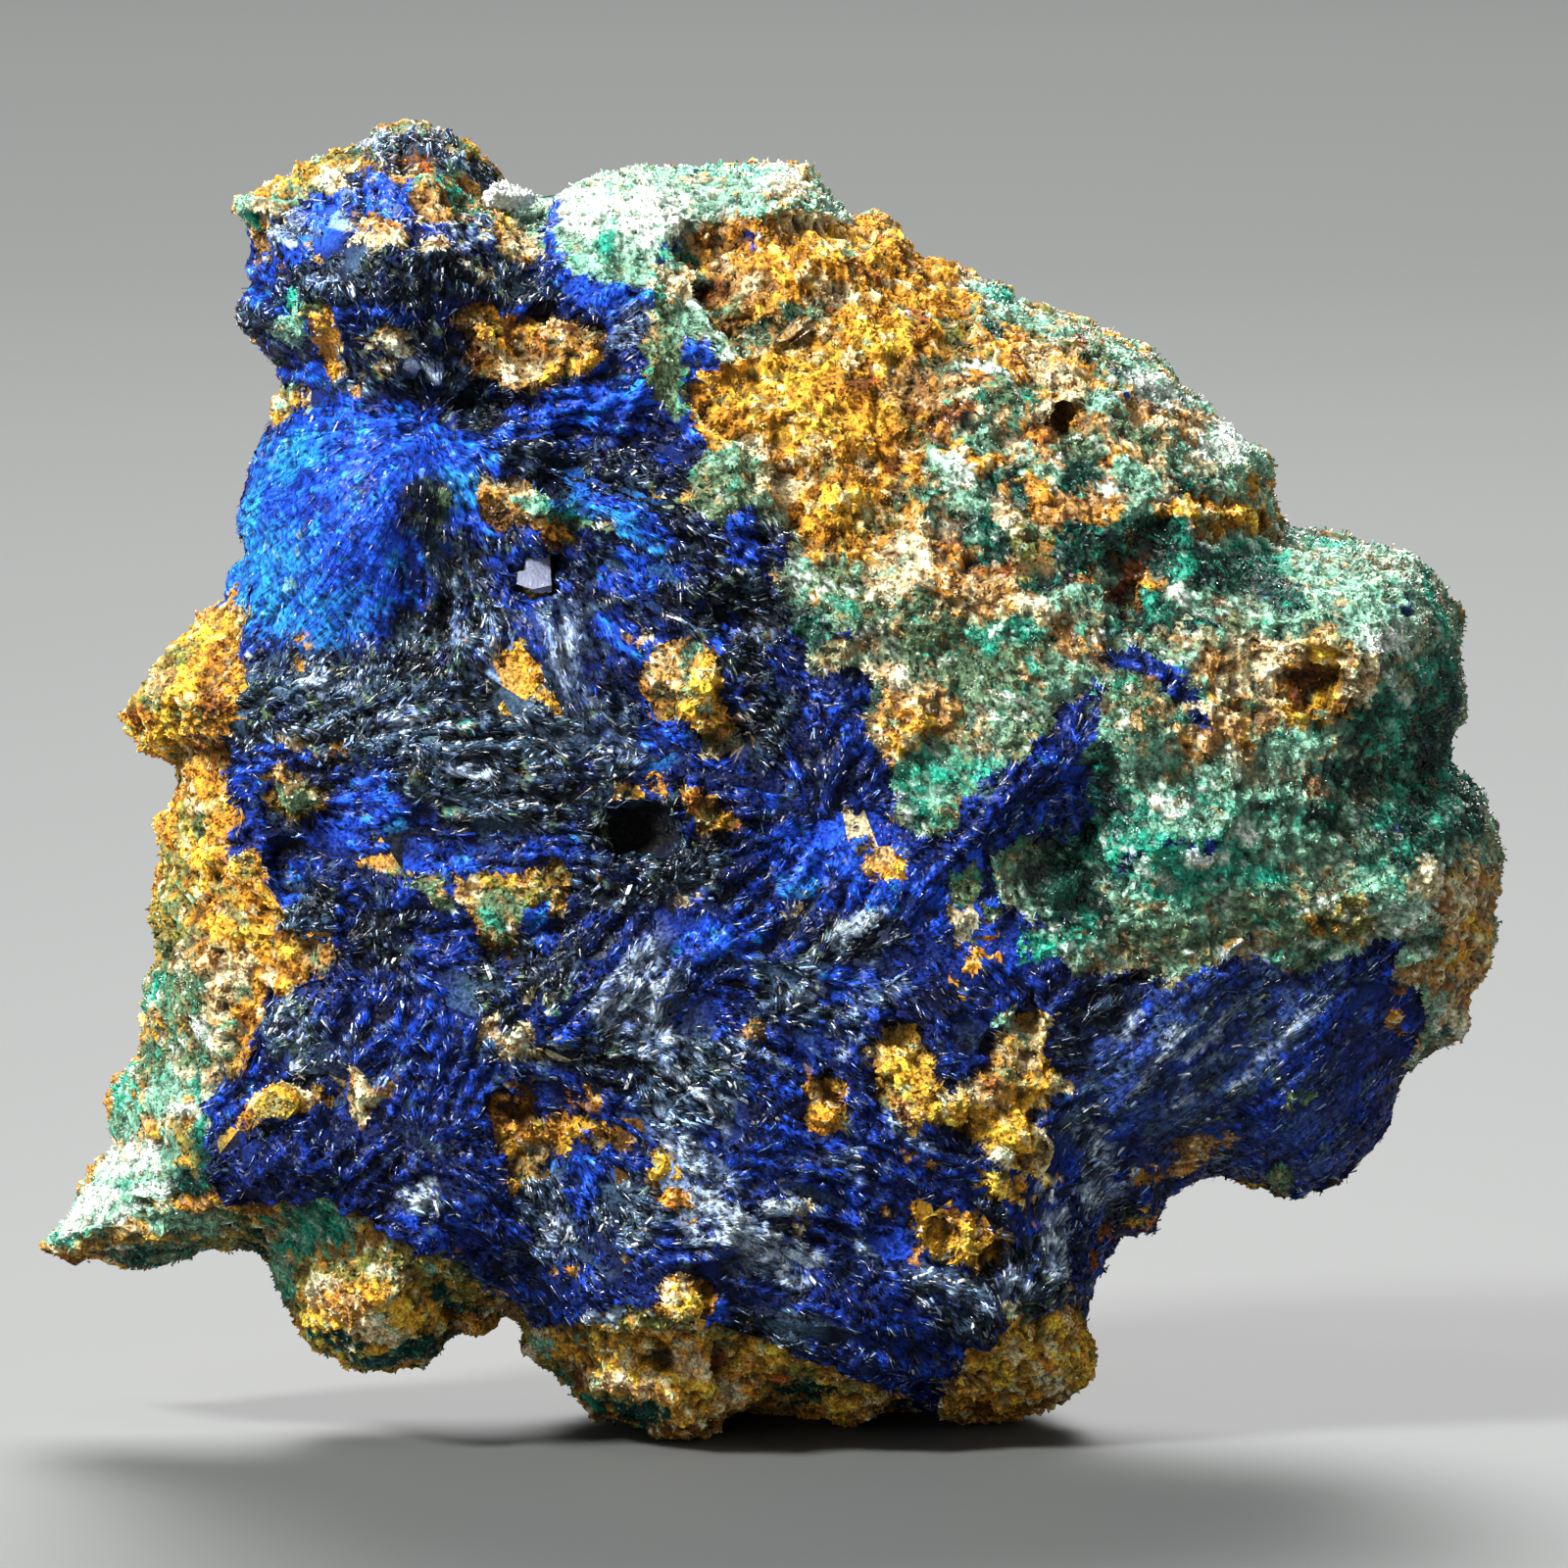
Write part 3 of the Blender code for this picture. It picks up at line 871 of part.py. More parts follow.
def crust_mesh(sheet, name):
    """One crust: its part of the face, closed off at an even thickness behind."""
    faces = [face for face, region in zip(sheet.front, sheet.regions) if region == name]
    outer = region_edges(faces)
    shifts = seam_shifts(sheet, outer)
    ids = sorted({i for face in faces for i in face})
    place = {i: n for n, i in enumerate(ids)}
    none = Vector((0.0, 0.0, 0.0))
    points = [
        sheet.points[i] - sheet.normals[i] * depth + shifts.get(i, none)
        for depth in (0.0, CRUST_THICKNESS)
        for i in ids
    ]
    count = len(ids)
    front = [tuple(place[i] for i in face) for face in faces]
    back = [(c + count, b + count, a + count) for a, b, c in front]
    sides = []
    for a, b in outer:
        pa, pb = place[a], place[b]
        sides += [(pb, pa, pa + count), (pb, pa + count, pb + count)]
    return points, front + back + sides


def to_world(point):
    """From face coordinates to the standing, leaning specimen, in metres."""
    lean = math.radians(LEAN)
    u, v, w = point
    y = v * math.sin(lean) + w * math.cos(lean) - DEPTH_CENTRE
    z = v * math.cos(lean) - (w - FLOOR_AT_DEPTH) * math.sin(lean) - FLOOR_CUT
    return Vector((u, y, z)) * MM


def material(name):
    made = bpy.data.materials.new(name)
    made.use_nodes = True
    shader = made.node_tree.nodes["Principled BSDF"]
    shader.inputs["Base Color"].default_value = (*COLOURS[name], 1.0)
    shader.inputs["Roughness"].default_value = ROUGHNESS.get(name, CRUST_ROUGHNESS)
    shader.inputs["Metallic"].default_value = 0.0
    return made


def add_object(name, points, faces):
    """A mesh object in world coordinates."""
    mesh = bpy.data.meshes.new(name)
    mesh.from_pydata([to_world(point) for point in points], [], faces)
    mesh.update()
    obj = bpy.data.objects.new(name, mesh)
    bpy.context.scene.collection.objects.link(obj)
    return obj


def helper(name, mesh):
    obj = bpy.data.objects.new(name, mesh)
    obj.hide_render = True
    obj.display_type = "WIRE"
    bpy.context.scene.collection.objects.link(obj)
    return obj


def heel_helper():
    """A rough ridge low on the back, which the matrix is joined to."""
    mesh = bpy.data.meshes.new("heel")
    bm = bmesh.new()
    bmesh.ops.create_icosphere(bm, subdivisions=3, radius=1.0)
    for vert in bm.verts:
        swell = 1.0 + HEEL_ROUGHNESS * noise.noise(vert.co * HEEL_LUMPS)
        u, v, w = (
            centre + radius * swell * way
            for centre, radius, way in zip(HEEL_CENTRE, HEEL_RADII, vert.co)
        )
        vert.co = to_world((u, v, w))
    bmesh.ops.recalc_face_normals(bm, faces=bm.faces)
    bm.to_mesh(mesh)
    bm.free()
    return helper("heel", mesh)


def floor_helper():
    """A block whose top is the plane that the specimen rests on."""
    mesh = bpy.data.meshes.new("floor_block")
    bm = bmesh.new()
    bmesh.ops.create_cube(bm, size=FLOOR_BLOCK)
    bmesh.ops.translate(bm, verts=bm.verts, vec=(0.0, 0.0, -FLOOR_BLOCK / 2.0))
    bm.to_mesh(mesh)
    bm.free()
    return helper("floor_block", mesh)


def boolean(obj, other, operation):
    modifier = obj.modifiers.new(other.name, "BOOLEAN")
    modifier.operation = operation
    modifier.object = other
    modifier.solver = "EXACT"


def build():
    clear_scene()
    sheet = Sheet()
    matrix = add_object("gossan_matrix", *matrix_mesh(sheet))
    matrix.data.materials.append(material("gossan_matrix"))
    boolean(matrix, heel_helper(), "UNION")
    boolean(matrix, floor_helper(), "DIFFERENCE")
    crusts = ["linarite_crust", "brochantite_slope", "brochantite_field", *PATCHES]
    for name in crusts:
        crust = add_object(name, *crust_mesh(sheet, name))
        crust.data.materials.append(material(name))


build()
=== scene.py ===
"""Looks of the linarite specimen: rock, crusts and over a hundred thousand small crystals.

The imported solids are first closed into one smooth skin. Places on the face are given in face
coordinates, in millimetres, as on the solids: u to the right, v up the face and w into the rock.
Colours are named spots laid over the skin, and each colour belongs to a mineral. The mineral
decides the fine relief and which crystals grow there.
"""

import math

import bpy
import numpy as np
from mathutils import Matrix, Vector
from mathutils.bvhtree import BVHTree
from mathutils.kdtree import KDTree


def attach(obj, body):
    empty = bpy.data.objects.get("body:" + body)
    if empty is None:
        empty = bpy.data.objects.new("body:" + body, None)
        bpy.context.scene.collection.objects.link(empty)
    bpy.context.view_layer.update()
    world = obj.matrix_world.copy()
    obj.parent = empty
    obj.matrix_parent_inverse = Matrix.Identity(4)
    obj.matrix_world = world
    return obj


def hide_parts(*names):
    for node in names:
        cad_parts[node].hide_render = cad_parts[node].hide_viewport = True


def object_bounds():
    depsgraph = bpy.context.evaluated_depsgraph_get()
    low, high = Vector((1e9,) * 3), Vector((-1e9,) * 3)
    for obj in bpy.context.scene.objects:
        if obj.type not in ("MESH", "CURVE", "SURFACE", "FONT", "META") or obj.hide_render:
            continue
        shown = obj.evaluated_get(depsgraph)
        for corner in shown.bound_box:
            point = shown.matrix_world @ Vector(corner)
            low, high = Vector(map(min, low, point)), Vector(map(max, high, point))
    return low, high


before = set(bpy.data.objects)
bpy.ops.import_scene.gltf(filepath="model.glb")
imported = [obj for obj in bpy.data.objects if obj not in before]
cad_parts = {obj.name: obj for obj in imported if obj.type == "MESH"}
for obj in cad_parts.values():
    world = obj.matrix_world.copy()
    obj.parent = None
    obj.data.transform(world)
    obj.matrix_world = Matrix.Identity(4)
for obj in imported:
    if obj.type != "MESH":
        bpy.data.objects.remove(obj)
CAD_BOX = [list(corner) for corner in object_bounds()]

MM = 0.001
SEED = 20

# How the face stands in the frame, in degrees and millimetres
LEAN = math.radians(5.5)
DEPTH_CENTRE = 8.6
FLOOR_AT_DEPTH = 1.0
FLOOR_CUT = 0.3

# The photograph's frame, in face coordinates and millimetres
VIEW_CENTRE = (0.75, 40.08)
VIEW_WIDTH = 96.0
VIEW_DEPTH = 7.0
LENS = 400.0
SENSOR = 36.0

# The skin over all the solids, in millimetres
CLOSING = 0.24
VOXEL = 0.30
SMOOTHING_PASSES = 10
LONGEST_SPIKE = 0.45
# Where the close and the wide normals agree less than this, the skin is folded
FOLDED = 0.4

# Edges that wander: (size of the bends, how far they swing) in millimetres
SEAM_WANDER = ((3.2, 0.55), (1.1, 0.35))
SPOT_WANDER = ((2.2, 0.9), (0.8, 0.45))
SIDE_WANDER = ((4.5, 6.0), (1.8, 3.0))
STAIN_WANDER = ((3.0, 1.6), (1.1, 0.8), (0.5, 0.4))
RAGGED_EDGE = 0.4
# Noise that tears the crusts' border behind the solids' rim: (amount, size, seed)
TORN = ((1.5, 6.0, 16), (0.8, 1.6, 17))
RIM_PASSES = 240
# How near to a crust a place has to be for the crust to run on over it: at least, and with the
# tearing noise added
OVERGROWN = (0.03, 0.2)
# Over how many passes the normals are evened out to tell folds and sides
NORMAL_PASSES = 20
# How far the surface may turn from the face (-1 on it, 1 behind) and still be painted, carry
# crystals or have fine forms
PAINTED_UNTIL = 0.7
GROWN_UNTIL = 0.5
FORMED_UNTIL = 0.35

# Relief in millimetres: rock in the blue crust's windows lies lower, and gritty skin is jolted
RECESS = 0.35
RECESS_PASSES = 60
JOLT = 0.05
MEAN_RELIEF = 0.4
# Ridges that follow the fibres: (distance between them, steps along each)
FINE_RIDGES = (0.12, 10)
BROAD_RIDGES = (0.38, 6)

# The fans in which linarite grows: their size, how far they turn, and how far back their centres
# lie in a loose fan and in a strict lane
FAN_SIZE = 2.2
FAN_TURN = math.radians(28)
FAN_REACH = 1.8
LANE_REACH = 9.0
FIBRE_STRETCH = 0.12

# The crusts' thickness, how deep the rock sinks under them, and what share of the triangles stays
# on backs that can't be seen
CRUST_DEPTH = 0.9
SUNK = 0.6
BACK_FACING = 0.2
BACK_SHARE = 0.12
ROCK_SHARE = 0.17
ROCK_KEPT = 0.71

# Patches of gloss and the grit among the fibres in millimetres, and the part of a noise that is
# spread over a range
GLOSS_PATCH = 0.6
GRIT_GRAIN = 0.2
NOISE_MIDDLE = (0.3, 0.7)

ROCK = "gossan_matrix"
# The two clear crystals: (name, 8-bit sRGB colour, share of light that passes through)
CLEAR_CRYSTALS = (
    ("cerussite_flake", (232, 236, 230), 0.3),
    ("anglesite_crystal", (168, 180, 222), 0.5),
)
CLEAR_INDEX = 1.9
CLEAR_ROUGHNESS = (0.12, 0.4)
# Their clouds and the height of the fine lines in millimetres, and how the lines are stretched
CLEAR_CLOUD = 0.8
CLEAR_LINES = 0.08
CLEAR_STRETCH = (6.0, 6.0, 0.6)

FLOOR_SIZE = 8.0
FLOOR_COLOUR = (98, 100, 98)
FLOOR_ROUGHNESS = 0.6
FLOOR_SHINE = 0.27
# How fine its mottling is, and how much darker it is there
FLOOR_MOTTLE = (4.0, 0.97)
SKY_COLOUR = (226, 230, 236)
SKY_STRENGTH = 0.12
LIGHT_TARGET_HEIGHT = 0.035
# (name, azimuth, elevation, distance and size in metres, watts, how far back it is aimed)
LIGHTS = (
    ("key", -52, 44, 0.65, 0.12, 7.8, 0.0),
    ("glint_left", -75, 20, 0.7, 0.08, 0.6, 0.0),
    ("glint_top", -15, 65, 0.7, 0.08, 0.6, 0.0),
    ("fill", 50, 25, 0.9, 0.5, 0.7, 0.0),
    ("low", -15, 4, 0.9, 0.5, 1.2, 0.0),
    ("behind", 170, 35, 0.9, 0.5, 3.0, 0.0),
    ("wash", 180, 60, 1.5, 1.2, 54.0, 1.0),
)

# Colours as they look in daylight, as 8-bit sRGB, apart from the painted glints and sheen noted below
PALETTE = {
    "royal": (12, 46, 140),
    "deep": (4, 23, 82),
    "azure": (34, 88, 240),
    "cyan": (44, 150, 240),
    "navy": (2, 10, 36),
    "black_green": (12, 22, 32),
    # Partly the grey of the crystals and partly painted sheen
    "steel": (62, 88, 112),
    # Painted glints: the colour of light reflected from crystal faces
    "lavender": (150, 182, 236),
    "mint": (132, 184, 156),
    "pale": (222, 240, 222),
    "sage": (92, 118, 84),
    "teal": (34, 152, 124),
    "forest": (5, 58, 44),
    "ochre": (204, 140, 42),
    "gold": (240, 184, 60),
    "brown": (98, 58, 22),
    "cream": (240, 224, 178),
    "tan": (172, 132, 78),
    "olive": (122, 118, 52),
    "rust": (164, 84, 32),
    # The white of cerussite, and painted glints on other crystals
    "white": (244, 244, 236),
    # Painted sheen and glints: light reflected from the fibres
    "silver": (176, 198, 232),
    "slate": (50, 78, 154),
}
ROUGH_COLOURS = ("navy", "black_green", "steel", "lavender", "silver")
LINARITE, BROCHANTITE, GOSSAN = range(3)
MINERAL = {
    **dict.fromkeys(
        (
            "royal", "deep", "azure", "cyan", "navy", "black_green", "steel", "lavender", "silver",
            "slate",
        ),
        LINARITE,
    ),
    **dict.fromkeys(("mint", "pale", "sage", "teal", "forest", "white"), BROCHANTITE),
    **dict.fromkeys(("ochre", "gold", "brown", "cream", "tan", "olive", "rust"), GOSSAN),
}

NAMES = list(PALETTE)
# What else is sprinkled through each colour: (other colour, share of the grains)
MIXTURES = {
    "royal": (
        ("deep", 0.22), ("azure", 0.08), ("navy", 0.18), ("steel", 0.05), ("lavender", 0.07),
        ("white", 0.05),
    ),
    "deep": (("royal", 0.24), ("navy", 0.26), ("steel", 0.04), ("lavender", 0.05), ("white", 0.03)),
    "azure": (("royal", 0.25), ("deep", 0.08), ("cyan", 0.12), ("lavender", 0.06), ("white", 0.04)),
    "cyan": (("azure", 0.25), ("royal", 0.10), ("mint", 0.05), ("white", 0.04)),
    "navy": (("black_green", 0.20), ("deep", 0.25), ("steel", 0.14), ("lavender", 0.12), ("white", 0.09)),
    "black_green": (
        ("navy", 0.20), ("steel", 0.22), ("deep", 0.10), ("sage", 0.06), ("lavender", 0.11),
        ("white", 0.11),
    ),
    "steel": (("black_green", 0.25), ("deep", 0.12), ("lavender", 0.18), ("sage", 0.08), ("white", 0.19)),
    "lavender": (("steel", 0.22), ("royal", 0.18), ("navy", 0.14), ("white", 0.30)),
    "silver": (("white", 0.34), ("steel", 0.16), ("royal", 0.14), ("navy", 0.12)),
    "slate": (("steel", 0.20), ("royal", 0.18), ("lavender", 0.14), ("navy", 0.14), ("white", 0.04)),
    "mint": (("sage", 0.24), ("white", 0.10), ("teal", 0.12), ("tan", 0.10), ("forest", 0.08)),
    "pale": (("mint", 0.25), ("white", 0.25), ("sage", 0.10), ("tan", 0.06)),
    "sage": (("teal", 0.12), ("tan", 0.18), ("pale", 0.10), ("forest", 0.14), ("brown", 0.12)),
    "teal": (("forest", 0.20), ("mint", 0.18), ("pale", 0.06), ("white", 0.06), ("sage", 0.08)),
    "forest": (("teal", 0.16), ("black_green", 0.28), ("brown", 0.06), ("mint", 0.04)),
    "ochre": (("gold", 0.16), ("brown", 0.18), ("cream", 0.10), ("olive", 0.08), ("sage", 0.05)),
    "gold": (("ochre", 0.24), ("cream", 0.12), ("brown", 0.10), ("olive", 0.06), ("mint", 0.05)),
    "brown": (("rust", 0.16), ("ochre", 0.18), ("navy", 0.06), ("olive", 0.08), ("cream", 0.04)),
    "cream": (("tan", 0.20), ("white", 0.16), ("ochre", 0.10), ("brown", 0.08), ("mint", 0.08)),
    "tan": (("cream", 0.18), ("ochre", 0.16), ("brown", 0.14), ("sage", 0.14), ("white", 0.04)),
    "olive": (("sage", 0.18), ("ochre", 0.16), ("brown", 0.16), ("forest", 0.10), ("cream", 0.05)),
    "rust": (("brown", 0.24), ("ochre", 0.18), ("tan", 0.10)),
}
# Painted glints, colours of light reflected from crystal faces: too bright for a whole patch, they show
# only as single crystals over a darker ground
GLINTS = ("lavender", "white", "silver")
SHADED = {"lavender": 0.5, "steel": 0.75}
MIXTURE_STRENGTH = 0.75
# Coarse and fine grains: (size in millimetres, seed)
COARSE_GRAIN = (1.1, 56)
FINE_GRAIN = (0.5, 57)
# How much of each mixture shows in coarse grains and in fine grains, for each mineral
MIXTURE_AMOUNTS = ((0.5, 0.6), (0.25, 0.45), (0.5, 0.6))
CRYSTAL_MIXTURE = 0.8
CRYSTAL_TONE = 0.7
# Painted shade and light: how much darker hollows and how much lighter crests are painted, for each
# mineral:
# (level, by wide relief, by close relief, least)
HOLLOWS = ((0.86, 1.7, 6.0, 0.07), (0.97, 1.2, 4.5, 0.16), (1.02, 0.8, 3.5, 0.34))
# The most painted light, the range of the painted shade and light from close relief, and the passes that
# find wide and close relief
MOST_LIGHT = 1.15
DETAIL_LIGHT = (0.3, 1.4)
WIDE_PASSES = 30
CLOSE_PASSES = 4
# A painted glint is never dimmer than this
LEAST_GLINT = 1.4

# Noise under the colours of the face: (size in millimetres, seed)
BASE_PATTERNS = {
    "broad": (3.4, 11), "fine": (0.9, 12), "speck": (0.45, 13), "dark": (2.0, 14), "green": (4.5, 15),
}
# What lies on each ground: (ground, ((colour, strength, pattern, gain, level), ...))
BASE_COATS = {
    "linarite": ("deep", (
        ("royal", 1.0, "broad", 1.0, 0.0), ("azure", 0.35, "fine", 2.2, -1.2),
        ("black_green", 0.6, "dark", 2.4, 0.0),
    )),
    "field": ("sage", (
        ("mint", 1.0, "fine", 1.0, 0.0), ("tan", 0.7, "broad", 2.4, -1.3),
        ("pale", 1.0, "speck", 3.0, -0.8), ("brown", 0.5, "speck", -3.0, -0.9),
    )),
    "slope": ("mint", (("pale", 1.0, "fine", 1.0, 0.0), ("sage", 1.0, "speck", -2.6, -0.4))),
    "rock": ("ochre", (
        ("tan", 1.0, "broad", 1.0, 0.0), ("olive", 0.7, "green", 2.5, 0.0),
        ("brown", 0.7, "fine", -3.2, 1.6), ("gold", 1.0, "speck", 3.0, -0.8),
    )),
}
# The same for the broken back
BACK_PATTERNS = {
    "broad": (6.5, 31), "fine": (1.3, 32), "green": (9.0, 33), "speck": (0.6, 34), "ochre": (5.0, 39),
    "teal": (3.0, 41),
}
BACK_COATS = {
    "rock": ("tan", (
        ("brown", 1.0, "broad", 1.7, -0.2), ("ochre", 0.8, "ochre", 1.0, -0.3),
        ("olive", 0.6, "green", 2.5, 0.0), ("tan", 0.7, "fine", 2.6, -1.3),
        ("gold", 1.0, "speck", 4.0, -1.2), ("brown", 1.0, "speck", -4.0, -1.2),
    )),
    "stain": ("sage", (("mint", 1.0, "fine", 1.0, 0.0), ("teal", 1.0, "teal", 2.5, 0.0))),
}

